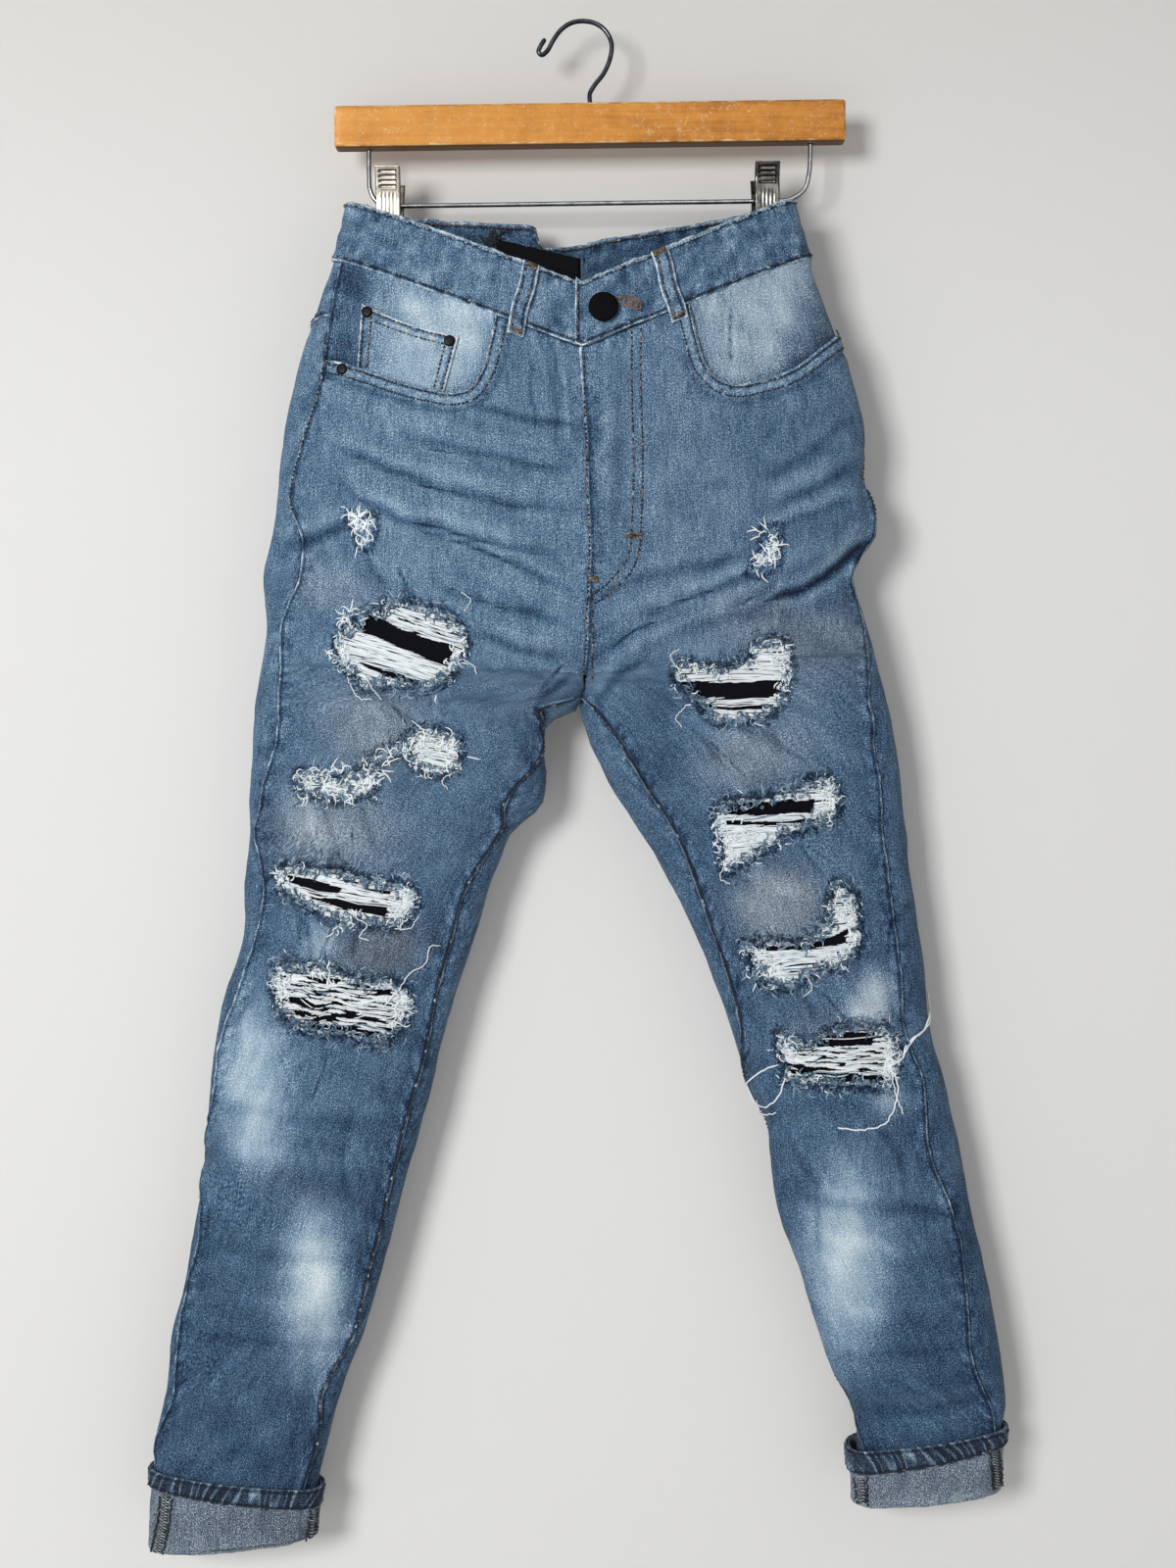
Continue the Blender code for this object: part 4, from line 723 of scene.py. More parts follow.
def tubes(name, paths, radius, tint):
    """Closed tubes along paths of shape (count, steps, 3), in mm, joined in one object.

    Each ring is the path's point plus the radius times cos and sin in the plane across the path.
    """
    count, steps = paths.shape[:2]
    along = unit(np.gradient(paths, axis=1))
    first = unit(np.cross(along, np.array([0.31, -0.90, 0.30])))
    radius = np.broadcast_to(radius, (count, steps))[..., None, None]
    points = paths[:, :, None] + radius * circles(first, np.cross(along, first), SIDES)
    index = np.arange(count * steps * SIDES).reshape(count, steps, SIDES)
    low, high = index[:, :-1], index[:, 1:]
    walls = np.stack([low, np.roll(low, -1, 2), np.roll(high, -1, 2), high], axis=-1).reshape(-1, 4)
    tint = np.repeat(np.broadcast_to(tint, count), steps * SIDES)
    length = np.repeat(running_length(paths, 1).ravel(), SIDES)
    turn = np.tile(np.arange(SIDES) / SIDES * 2 * math.pi, count * steps)
    return make_object(name, points.reshape(-1, 3),
                       np.concatenate([walls, index[:, 0, ::-1], index[:, -1]]), {"tint": tint},
                       np.stack([length, turn], axis=-1))


def outline_distance(x, z, outline):
    """Signed distance to a closed outline, negative inside.

    A place is inside if the line from it towards +x crosses the outline an odd number of times.
    """
    outline = np.array(outline, dtype=float)
    best = np.full(x.shape, np.inf)
    inside = np.zeros(x.shape, bool)
    for start, end in zip(outline, np.roll(outline, -1, axis=0)):
        best = np.minimum(best, to_stretch(x, z, start, end)[0])
        if start[1] != end[1]:
            crosses = (start[1] > z) != (end[1] > z)
            at = start[0] + (z - start[1]) / (end[1] - start[1]) * (end - start)[0]
            inside ^= crosses & (x < at)
    return np.where(inside, -best, best)


def read_along(at, reach, values):
    """Rows of values given at the distances `reach`, read at other distances."""
    return np.stack([np.interp(at, reach, column) for column in values.T], axis=-1)


# %% Stitches: short beads along a row
stitch_rows = {}        # piece name: list of (paths, tints)
BEAD = np.array([-0.5, -0.22, 0.22, 0.5])       # a stitch's four points in units of its length


def stitch(piece, row, pitch=3.0, length=2.35, proud=0.34, tan=0.2, light=0.05):
    """Lay stitches along a row of surface points given as (points, normals), both (n, 3).

    Each is a short path of four points, sunk at its ends and raised in its middle. Tints near 0
    are dark grey, 0.5 tan and 1 light.
    """
    points, normals = row
    reach = running_length(points)
    middles = np.arange(pitch / 2, reach[-1] - pitch / 2, pitch)
    if not len(middles):
        return
    middles = middles + rng.uniform(-0.12, 0.12, len(middles)) * pitch
    at = middles[:, None] + length * BEAD
    lift = np.array([-0.25, proud, proud, -0.25])
    place, out = (read_along(at, reach, values) for values in (points, normals))
    dice = rng.random(len(middles))
    tint = np.where(dice < tan, 0.5, np.where(dice > 1 - light, 0.9, 0.0))
    tint = tint + rng.uniform(-0.12, 0.12, len(dice))
    stitch_rows.setdefault(piece, []).append((place + out * lift[:, None], np.clip(tint, 0, 1)))


def cross_stitches(piece, half, ends, lift, tints, proud=0.4):
    """Single stitches between pairs of x, z points, shape (n, 2, 2), lying on the front."""
    ends = np.array(ends, dtype=float)
    share = np.array([0, 0.3, 0.7, 1.0])[None, :, None]
    place = ends[:, :1] * (1 - share) + ends[:, 1:] * share
    up = np.array([-0.25, proud, proud, -0.25]) + np.broadcast_to(lift, len(ends))[:, None]
    stitch_rows.setdefault(piece, []).append((half.on(place[..., 0], place[..., 1], up), tints))

# %% [markdown]
# ## Finishes
#
# Washed denim is dark blue warp over pale weft. Wear lifts the blue off ridges, seams and the
# fronts of the thighs, so one number, the wash, runs from raw indigo at 0 to nearly white at 1,
# and a colour ramp turns it into blue. Grain, slubs, blotches, worn edges and frayed rims push
# that number up or down, and so does painted light: painted shade in seam grooves, in creases and
# under the frayed rims, and a painted highlight on the creases' lips. This is a node group,
# because four finishes use it with other values.

# %% Words for building node trees
def srgb(*levels):
    """A colour written as 0-255 levels, made linear for the shader."""
    values = np.array(levels) / 255
    linear = np.where(values <= 0.04045, values / 12.92, ((values + 0.055) / 1.055) ** 2.4)
    return (*linear.tolist(), 1.0)


class Graph:
    """A node tree with short words for what the finishes need."""

    def __init__(self, tree):
        self.tree = tree

    def add(self, kind, inputs=None, **settings):
        """A new node; an input is either a socket to link or a plain value."""
        made = self.tree.nodes.new(kind if kind.startswith("NodeGroup") else "ShaderNode" + kind)
        for key, value in settings.items():
            setattr(made, key, value)
        for key, value in (inputs or {}).items():
            if isinstance(value, bpy.types.NodeSocket):
                self.tree.links.new(value, made.inputs[key])
            else:
                made.inputs[key].default_value = value
        return made

    def math(self, operation, first, second=0.0, third=0.0):
        node = self.add("Math", {0: first, 1: second, 2: third}, operation=operation)
        return node.outputs[0]

    def times(self, first, second):
        return self.math("MULTIPLY", first, second)

    def sum(self, *terms):
        """The terms added up; a term (value, factor) is multiplied first."""
        total = None
        for term in terms:
            value = self.times(*term) if isinstance(term, tuple) else term
            total = value if total is None else self.math("ADD", total, value)
        return total

    def part(self, vector, axis):
        """x, y or z of a vector, by its number."""
        return self.add("SeparateXYZ", {0: vector}).outputs[axis]

    def cloth(self):
        """The place on the flat piece, in mm."""
        return self.add("UVMap", uv_map="cloth").outputs[0]

    def place(self):
        """The place in the model's frame, in metres."""
        return self.add("TexCoord").outputs["Object"]

    def step(self, value, low, high):
        """0 below low and 1 above high, smooth between; low may be above high."""
        node = self.add("MapRange", {0: value, 1: low, 2: high}, interpolation_type="SMOOTHSTEP")
        return node.outputs[0]

    def noise(self, vector, size, detail=1.0, distortion=0.0, rough=0.5):
        """Noise from -0.5 to 0.5; size is that of its features, one number or (x, y, z)."""
        size = size if isinstance(size, tuple) else (size,) * 3
        scaled = self.add("VectorMath", {0: vector, 1: tuple(1 / s for s in size)},
                          operation="MULTIPLY").outputs[0]
        node = self.add("TexNoise", {"Vector": scaled, "Scale": 1.0, "Detail": detail,
                                     "Distortion": distortion, "Roughness": rough})
        return self.math("SUBTRACT", node.outputs[0], 0.5)

    def ramp(self, value, *stops):
        """A colour ramp through (place, colour) stops."""
        node = self.add("ValToRGB", {0: value})
        line = node.color_ramp
        while len(line.elements) < len(stops):
            line.elements.new(0.5)
        for element, (place, colour) in zip(line.elements, stops):
            element.position = place
            element.color = colour
        return node.outputs[0]

    def mix(self, factor, first, second, blend="MIX"):
        node = self.add("Mix", {0: factor, 6: first, 7: second}, data_type="RGBA", blend_type=blend)
        return node.outputs[2]

    def mark(self, name):
        """A mark stored on the mesh's points."""
        return self.add("Attribute", attribute_name=name).outputs["Fac"]


def node_group(name, inputs, outputs):
    """An empty node group with named sockets: its graph, its input node and its output node."""
    tree = bpy.data.node_groups.new(name, "ShaderNodeTree")
    for label, kind, start in inputs:
        socket = tree.interface.new_socket(label, in_out="INPUT", socket_type="NodeSocket" + kind)
        socket.default_value = start
    for label, kind in outputs:
        tree.interface.new_socket(label, in_out="OUTPUT", socket_type="NodeSocket" + kind)
    graph = Graph(tree)
    return graph, graph.add("NodeGroupInput"), graph.add("NodeGroupOutput")


def finish(name, roughness=0.8, metallic=0.0, **sockets):
    """A new material: its graph and its Principled shader, with plain values on its own sockets."""
    material = bpy.data.materials.new(name)
    material.use_nodes = True
    graph = Graph(material.node_tree)
    shader = material.node_tree.nodes["Principled BSDF"]
    shader.inputs["Roughness"].default_value = roughness
    shader.inputs["Metallic"].default_value = metallic
    for key, value in sockets.items():
        shader.inputs[key.replace("_", " ")].default_value = value
    return material, graph, shader


def connect(graph, shader, colour=None, height=None, depth=0.2, roughness=None, metallic=None):
    """Link the values that change over the surface; depth is the bump's height in mm."""
    links = graph.tree.links
    for value, socket in ((colour, "Base Color"), (roughness, "Roughness"), (metallic, "Metallic")):
        if value is not None:
            links.new(value, shader.inputs[socket])
    if height is not None:
        bump = graph.add("Bump", {"Height": height, "Distance": depth * MM, "Strength": 1.0})
        links.new(bump.outputs[0], shader.inputs["Normal"])


# %% The washed denim group
INDIGO = [(0.0, srgb(14, 27, 48)), (0.2, srgb(39, 65, 93)), (0.4, srgb(71, 102, 132)),
          (0.55, srgb(99, 129, 158)), (0.72, srgb(137, 163, 184)), (0.88, srgb(182, 203, 215)),
          (1.0, srgb(222, 233, 238))]

graph, given, result = node_group(
    "washed_denim",
    [("Cloth", "Vector", (0, 0, 0)), ("Wash", "Float", 0.5), ("Grey", "Float", 0.0),
     ("Edge", "Float", FAR), ("Rip", "Float", FAR), ("Crease", "Float", FAR), ("Grain", "Float", 1.0)],
    [("Color", "Color"), ("Height", "Float"), ("Roughness", "Float")])
cloth, wash, grey, edge, rip, crease, strength = given.outputs[:7]
# the weave: single yarns, groups of them, slubs along the warp, and the twill line
fine = graph.noise(cloth, (0.62, 0.95, 1.0))
coarse = graph.noise(cloth, (1.6, 2.9, 1.0), 2.0)
slubs = graph.noise(cloth, (0.85, 12.0, 1.0), 2.0)
# right-hand twill: sine of 2 pi times (across + half of down) over its pitch
TWILL_PITCH = 1.15
twill = graph.math("SINE", graph.sum((graph.part(cloth, 0), 2 * math.pi / TWILL_PITCH),
                                     (graph.part(cloth, 1), math.pi / TWILL_PITCH)))
# the wash tub: blotches, streaks and wide clouds, calmer where the cloth is worn pale
calm = graph.sum((graph.step(wash, 0.5, 0.8), -0.5), 1.0)
blotches = graph.noise(cloth, (12.0, 20.0, 1.0), 4.0, rough=0.66)
streaks = graph.noise(cloth, (5.0, 34.0, 1.0), 2.0)
clouds = graph.noise(cloth, (24.0, 40.0, 1.0), 2.0, distortion=0.8)
grain = graph.sum((fine, 1.80), (coarse, 0.34), (slubs, 0.52), (twill, 0.03))
mottling = graph.sum((blotches, 0.29), (streaks, 0.17), (clouds, 0.20))
# seams and folded edges: a pale ragged worn rim, painted shade in the groove beside it, puckers along it
to_rim = graph.sum(edge, (coarse, 1.9))
rim = graph.step(to_rim, 1.75, 0.75)
painted_shade = graph.times(graph.step(to_rim, 1.3, 2.1), graph.step(to_rim, 4.4, 2.6))
pucker = graph.noise(cloth, 6.0)
twitch = graph.times(graph.noise(cloth, 2.6), graph.step(edge, 11.0, 8.5))
# creases: painted shade inside, darkest in the core, with painted highlights on the lips
painted_crease_shade = graph.step(crease, 1.15, 0.1)
core = graph.step(graph.sum(crease, (coarse, 0.3)), 0.30, 0.12)
painted_crease_lip_light = graph.times(graph.step(crease, 0.9, 1.7), graph.step(crease, 3.6, 1.8))
# the frayed rim of a tear: curled ends of yarn, on a ground darkened as painted shade
fray_and_shade = graph.step(graph.sum(rip, (coarse, 5.5)), 6.6, 1.6)
curled = graph.noise(cloth, (1.9, 2.6, 1.0), 2.0, distortion=1.2)
level = graph.sum(
    wash, graph.times(grain, graph.times(strength, calm)), graph.times(mottling, calm),
    graph.times(rim, graph.sum(pucker, 0.29)), (painted_shade, -0.25),
    (graph.times(pucker, graph.step(edge, 16.0, 5.0)), 0.36), (twitch, 0.30),
    graph.times(fray_and_shade, graph.sum((curled, 2.1), -0.38)), (painted_crease_shade, -0.20), (core, -0.45), (painted_crease_lip_light, 0.05))
colour = graph.add("HueSaturation", {"Color": graph.ramp(level, *INDIGO), "Value": 1.0,
                                     "Saturation": graph.sum((grey, -0.42), 1.0)}).outputs[0]
height = graph.sum((fine, 0.9), (coarse, 0.7), (twill, 0.10), (slubs, 0.4), (painted_crease_shade, -3.0),
                   (twitch, 1.6), (graph.times(fray_and_shade, curled), 4.0))
for label, value in (("Color", colour), ("Height", height),
                     ("Roughness", graph.sum((fine, 0.15), 0.86))):
    graph.tree.links.new(value, result.inputs[label])
print("washed_denim:", len(graph.tree.nodes), "nodes")


def denim_finish(name, wash=0.0, grey=0.0, grain=1.0, depth=0.22):
    """Denim that reads the marks of its piece, shifted by wash and grey."""
    material, graph, shader = finish(name, Sheen_Weight=0.07, Sheen_Roughness=0.5,
                                     Specular_IOR_Level=0.2)
    read = {label.title(): graph.mark(label) for label in MARKS}
    read["Wash"] = graph.sum(read["Wash"], wash)
    read["Grey"] = graph.sum(read["Grey"], grey)
    group = graph.add("Group", node_tree=bpy.data.node_groups["washed_denim"])
    for label, value in {"Cloth": graph.cloth(), **read}.items():
        graph.tree.links.new(value, group.inputs[label])
    group.inputs["Grain"].default_value = grain
    connect(graph, shader, *group.outputs[:2], depth, group.outputs["Roughness"])
    return material


DENIM_FINISH = denim_finish("denim")
PALE_FINISH = denim_finish("denim_pale", grain=1.15)
REVERSE_FINISH = denim_finish("denim_reverse", wash=-0.18, grey=0.95, grain=1.3, depth=0.3)
HEM_FINISH = denim_finish("denim_dark", grey=0.45, depth=0.3)

# %% Thread, backing, label
# loose yarn: tint 0 is bleached white weft, 1 is blue warp
YARN, graph, shader = finish("threads_white", 0.92, Sheen_Weight=0.2, Specular_IOR_Level=0.15)
fibre = graph.noise(graph.place(), 0.0016, 2.0)
colour = graph.ramp(graph.sum(graph.mark("tint"), (fibre, 0.2)), (0.0, srgb(246, 250, 252)),
                    (0.35, srgb(222, 234, 241)), (0.62, srgb(124, 152, 176)), (1.0, srgb(42, 66, 94)))
connect(graph, shader, colour, fibre, 0.15)

# topstitch: tint 0 dark grey, 0.5 tan, 1 light
TOPSTITCH, graph, shader = finish("topstitch", 0.7, Sheen_Weight=0.1)
twist = graph.add("TexWave", {"Vector": graph.cloth(), "Scale": 1.6},
                  bands_direction="DIAGONAL").outputs[1]
colour = graph.ramp(graph.mark("tint"), (0.0, srgb(18, 24, 34)), (0.3, srgb(50, 53, 60)),
                    (0.5, srgb(138, 108, 78)), (0.75, srgb(146, 158, 168)), (1.0, srgb(196, 208, 216)))
connect(graph, shader, colour, twist, 0.08)

# the black knit behind the rips: fine vertical ribs, lint
BACKING_FINISH, graph, shader = finish("backing_black", 0.95, Sheen_Weight=0.06, Specular_IOR_Level=0.05)
place = graph.cloth()
ribs = graph.math("SINE", graph.times(graph.part(place, 0), 5.2))
lint = graph.noise(place, 0.8, 2.0)
colour = graph.ramp(graph.sum((ribs, 0.10), (lint, 0.8), 0.5), (0.0, srgb(7, 7, 11)),
                    (0.6, srgb(15, 16, 22)), (1.0, srgb(44, 47, 56)))
connect(graph, shader, colour, graph.sum((ribs, 0.3), lint), 0.15)

LABEL_FINISH, graph, shader = finish("label_black", 0.7, Specular_IOR_Level=0.08)
place = graph.cloth()
satin = graph.noise(place, (0.5, 5.0, 1.0), 2.0)
colour = graph.ramp(graph.sum(satin, 0.5), (0.2, srgb(3, 3, 5)), (0.8, srgb(19, 19, 24)))
connect(graph, shader, colour, satin, 0.15)

# %% Button and rivets
BUTTON_FINISH, graph, shader = finish("button_black", 0.5, Specular_IOR_Level=0.05)
place = graph.place()
dust = graph.noise(place, 0.0012, 4.0)
scuff = graph.step(graph.noise(place, (0.004, 0.004, 0.0008), 3.0, distortion=1.0), 0.17, 0.28)
black = graph.ramp(graph.sum(dust, 0.5), (0.3, srgb(3, 3, 6)), (0.8, srgb(11, 12, 16)))
colour = graph.mix(scuff, black, srgb(44, 44, 50))
connect(graph, shader, colour, dust, 0.02, graph.sum((dust, 0.3), 0.55))

RIVET_FINISH, graph, shader = finish("rivet_dark", 0.5, Specular_IOR_Level=0.12)
place = graph.place()
rub = graph.noise(place, 0.0012, 4.0)
colour = graph.ramp(graph.sum(rub, 0.5), (0.3, srgb(5, 5, 8)), (0.85, srgb(24, 24, 27)))
connect(graph, shader, colour, rub, 0.04, graph.sum((rub, 0.4), 0.4))

# %% [markdown]
# ## Varnished wood and plated wire
#
# The bar's varnish is clear over orange-brown wood with a fine grain along X. Wear shows as pale
# bare wood on the long edges and as many short scratches. Scratches are thin bands of a stretched
# noise, turned in several directions and kept only where a second noise allows. The wires and
# clips are plated steel: a mirror with a little uneven roughness.

# %% Wood and steel
BAR_SIZE, BAR_TILT = np.array([351.8, 14.0, 28.9]), math.radians(0.78)
bar_low, bar_high = node_box("hanger_bar")
bar_middle = (bar_low + bar_high) / 2 * MM
WORN_AWAY = 0.85        # how fully wear hides the varnish


def scratches(graph, place, turns, size, rare):
    """Thin lines in a few directions: where the noise is near 0 and another noise allows."""
    total = None
    for seed, turn in enumerate(turns):
        turned = graph.add("VectorRotate", {"Vector": place, "Angle": turn}, rotation_type="Y_AXIS")
        shifted = graph.add("VectorMath", {0: turned.outputs[0], 1: (seed * 0.37, seed * 0.11, 0)})
        line = graph.math("ABSOLUTE", graph.noise(shifted.outputs[0], (size, size, size * 0.16)))
        here = graph.step(graph.noise(shifted.outputs[0], size * 0.8), rare, rare + 0.04)
        one = graph.times(graph.step(line, 0.013, 0.003), here)
        total = one if total is None else graph.math("MAXIMUM", total, one)
    return total


WOOD_FINISH, graph, shader = finish("wood_varnished", 0.34, Coat_Weight=0.15, Coat_Roughness=0.3,
                                    Specular_IOR_Level=0.3)
place = graph.place()
x, y, z = (graph.part(place, axis) for axis in range(3))
grain = graph.noise(place, (0.060, 0.003, 0.0016), 4.0, distortion=0.6)
figure = graph.noise(place, (0.110, 0.012, 0.010), 3.0, distortion=0.8)
cloudy = graph.noise(place, 0.016, 4.0, rough=0.65)
rub = graph.noise(place, (0.010, 0.004, 0.004), 4.0)
# how far inside its long edges, its faces and its ends a place lies; the bar is a little tilted
level_z = graph.sum(z, (x, -math.tan(BAR_TILT)),
                    float(bar_middle[0] * math.tan(BAR_TILT) - bar_middle[2]))
to_side = graph.math("SUBTRACT", float(BAR_SIZE[2]) / 2 * MM, graph.math("ABSOLUTE", level_z))
to_face = graph.math("SUBTRACT", float(BAR_SIZE[1]) / 2 * MM, graph.math("ABSOLUTE", y))
to_end = graph.math("SUBTRACT", float(bar_high[0] - bar_low[0]) / 2 * MM,
                    graph.math("ABSOLUTE", graph.sum(x, -float(bar_middle[0]))))
# an edge is where two of the three distances are small: their larger one is small
edge = graph.math("MINIMUM", graph.math("MAXIMUM", to_side, to_face),
                  graph.math("MINIMUM", graph.math("MAXIMUM", to_side, to_end),
                             graph.math("MAXIMUM", to_face, to_end)))
bare = graph.step(graph.sum(edge, (rub, 0.0050)), 0.0017, 0.0004)
marks = scratches(graph, place, (0.2, 0.9, 1.7, 2.5), 0.009, 0.09)
specks = graph.step(graph.noise(place, (0.0020, 0.0011, 0.0011), 3.0), 0.25, 0.30)
pale = graph.math("MAXIMUM", graph.times(bare, WORN_AWAY),
                  graph.math("MAXIMUM", graph.times(marks, WORN_AWAY), graph.times(specks, 0.5)))
# painted shade: the x term darkens the varnish towards +X, away from the key light
varnish = graph.ramp(graph.sum((grain, 0.50), (figure, 0.55), (cloudy, 0.75), (x, -1.1), 0.50),
                     (0.15, srgb(160, 98, 34)), (0.45, srgb(203, 134, 54)),
                     (0.75, srgb(221, 153, 68)), (0.95, srgb(230, 168, 86)))
colour = graph.mix(pale, varnish, srgb(243, 214, 164))
dark = graph.step(graph.noise(place, (0.02, 0.006, 0.0022), 3.0), 0.20, 0.30)
colour = graph.mix(graph.times(dark, 0.35), colour, srgb(150, 96, 44))
# painted shade: faces that point down are darkened towards dark brown
painted_underside_shade = graph.step(graph.part(graph.add("NewGeometry").outputs["Normal"], 2), -0.5, -0.9)
colour = graph.mix(graph.times(painted_underside_shade, 0.9), colour, srgb(84, 54, 30))
connect(graph, shader, colour, graph.sum((grain, 0.5), (marks, -0.6), (rub, 0.5)), 0.08,
        graph.sum((pale, 0.35), (figure, 0.15), 0.32))


def steel_finish(name, dark, light, rough, shaded_grooves=False):
    """Plated steel: uneven colour and roughness, fine scratches, and, with shaded_grooves, painted shade
    from the piece's wash mark.
    """
    material, graph, shader = finish(name, rough, 1.0)
    place = graph.place()
    cloudy = graph.noise(place, 0.006, 3.0)
    hair = graph.noise(place, (0.0006, 0.0006, 0.012), 2.0)
    colour = graph.ramp(graph.sum(cloudy, (hair, 0.5), 0.5), (0.3, dark), (0.7, light))
    if shaded_grooves:
        # painted shade: the wash mark darkens the grooves and flanges
        colour = graph.mix(graph.mark("wash"), colour, srgb(22, 21, 20))
    connect(graph, shader, colour, hair, 0.01, graph.sum((cloudy, 0.18), (hair, 0.12), rough))
    return material


CLIP_FINISHES = {
    "right": steel_finish("steel_clip", srgb(196, 188, 174), srgb(240, 231, 215), 0.34, True),
    "left": steel_finish("steel_clip_dull", srgb(84, 82, 80), srgb(150, 146, 138), 0.22, True)}
STEEL_FINISH = steel_finish("steel_bright", srgb(150, 152, 156), srgb(206, 206, 206), 0.12)
DARK_STEEL_FINISH = steel_finish("steel_dark", srgb(50, 52, 58), srgb(92, 94, 100), 0.14)

# %% [markdown]
# ## Where things lie on the front
#
# The pocket edges, the tears, the faded places and patches of painted shade are shapes drawn on
# the front view, as a pattern maker would chalk them on the cloth. They are kept in tables so that
# the cloth, the black backing, the stitches and the loose threads all use the same outlines.

# %% Pockets, tears, fades and painted shade as x, z in mm
POCKET_EDGE = {
    "right": [(-58, -190), (-60, -212), (-64, -232), (-69, -249), (-77, -260), (-88, -263), (-101, -261),
              (-126, -254), (-148, -246), (-168, -240), (-186, -237)],
    "left": [(70, -190), (72, -208), (76, -226), (83, -246), (91, -254), (100, -257), (118, -254),
             (141, -245), (160, -230), (174, -218), (192, -206)],
}
# past the panel's corner, so that everything above the edge is cut away
POCKET_CORNER = {"right": [(-230, -235), (-230, -110), (-57, -110)],
                 "left": [(230, -200), (230, -110), (69, -110)]}

# each tear: its outline, the tilt of its threads in degrees, and the black slits with no thread;
# in some the threads also wander (waves, in mm) and more of them are missing (gaps, see FEW_GAPS)
TEARS = {
    "thigh_right": dict(tilt=-17, outline=[
        (-144, -410), (-131, -404), (-118, -403), (-104, -406), (-90, -411), (-81, -420), (-78, -432),
        (-84, -443), (-90, -454), (-104, -461), (-122, -459), (-137, -459), (-147, -461), (-156, -451),
        (-165, -442), (-167, -431), (-161, -420), (-152, -416)],
        slits=[[(-147, -409), (-119, -422), (-86, -433), (-91, -446), (-120, -434), (-153, -420)],
               [(-150, -443), (-128, -450), (-106, -457), (-112, -459), (-134, -452)]]),
    "thigh_low_right": dict(tilt=-10, outline=[
        (-117, -491), (-108, -487), (-97, -487), (-86, -494), (-84, -505), (-86, -515), (-97, -519),
        (-106, -517), (-113, -512), (-118, -502)],
        slits=[]),
    "thigh_side_right": dict(tilt=-6, outline=[
        (-193, -516), (-180, -519), (-165, -521), (-152, -516), (-143, -513), (-139, -520), (-143, -531),
        (-156, -534), (-170, -537), (-186, -533), (-194, -526)],
        slits=[]),
    "knee_right": dict(tilt=-9, waves=0.6, gaps=0.75, outline=[
        (-207, -582), (-196, -579), (-180, -581), (-164, -582), (-150, -588), (-132, -591), (-116, -593),
        (-114, -604), (-117, -613), (-128, -620), (-141, -621), (-155, -616), (-170, -617), (-184, -609),
        (-197, -602), (-206, -594)],
        slits=[[(-203, -586), (-182, -589), (-163, -595), (-166, -599), (-186, -596), (-200, -591)],
               [(-186, -598), (-160, -602), (-132, -607), (-132, -614), (-158, -610), (-184, -602)],
               [(-148, -594), (-130, -597), (-131, -599), (-148, -596)]]),
    "knee_low_right": dict(tilt=-5, waves=1.7, gaps=0.22, outline=[
        (-209, -649), (-196, -645), (-182, -648), (-169, -649), (-158, -654), (-146, -659), (-132, -657),
        (-121, -663), (-119, -674), (-121, -685), (-130, -695), (-137, -702), (-148, -699), (-160, -694),
        (-176, -694), (-196, -689), (-206, -678), (-211, -663)],
        slits=[[(-151, -691), (-128, -695), (-136, -701), (-146, -701)],
               [(-203, -668), (-186, -672), (-172, -676), (-173, -678), (-188, -675), (-203, -671)],
               [(-196, -678), (-176, -681), (-158, -679), (-140, -684), (-141, -686), (-159, -682),
                (-178, -684), (-196, -681)],
               [(-184, -686), (-164, -688), (-146, -691), (-147, -693), (-166, -691), (-184, -688)],
               [(-188, -654), (-165, -658), (-166, -660), (-188, -657)],
               [(-152, -661), (-130, -664), (-131, -667), (-152, -664)]]),
    "thigh_left": dict(tilt=1, outline=[
        (62, -445), (71, -443), (80, -445), (90, -448), (101, -445), (112, -439), (118, -428),
        (126, -426), (135, -430), (137, -440), (138, -452), (133, -468), (124, -480), (106, -483),
        (90, -483), (79, -472), (72, -464), (61, -455)],
        slits=[[(62, -456), (100, -457), (136, -455), (135, -466), (100, -467), (67, -466)],
               [(74, -471), (100, -473), (128, -471), (127, -473), (100, -475), (76, -473)]]),
    "thigh_low_left": dict(tilt=3, outline=[
        (88, -546), (95, -537), (110, -535), (129, -533), (144, -528), (152, -522), (165, -520),
        (172, -531), (170, -545), (160, -551), (146, -556), (131, -559), (128, -566), (116, -574),
        (97, -585), (94, -572), (91, -558)],
        slits=[[(97, -537), (130, -536), (156, -535), (155, -544), (125, -545), (96, -545)],
               [(95, -549), (125, -550), (156, -548), (156, -550), (125, -552), (95, -552)]]),
    "knee_left": dict(tilt=4, outline=[
        (109, -633), (122, -630), (146, -632), (156, -626), (166, -617), (166, -603), (169, -592),
        (177, -595), (184, -601), (184, -616), (187, -629), (182, -640), (171, -648), (160, -650),
        (149, -656), (136, -663), (125, -662), (117, -650), (111, -641)],
        slits=[[(146, -634), (163, -629), (180, -622), (177, -632), (160, -635), (147, -637)],
               [(114, -632), (130, -634), (147, -634), (147, -636), (130, -637), (114, -636)]]),
    "knee_low_left": dict(tilt=2, waves=1.1, gaps=0.3, outline=[
        (132, -693), (142, -699), (153, -699), (170, -689), (185, -686), (201, -688), (210, -694),
        (212, -711), (208, -730), (190, -729), (170, -728), (150, -727), (136, -726), (137, -714),
        (132, -705)],
        slits=[[(152, -699), (168, -693), (198, -691), (195, -701), (172, -702), (158, -703)],
               [(138, -714), (170, -719), (205, -724), (204, -729), (172, -726), (140, -720)]]),
}
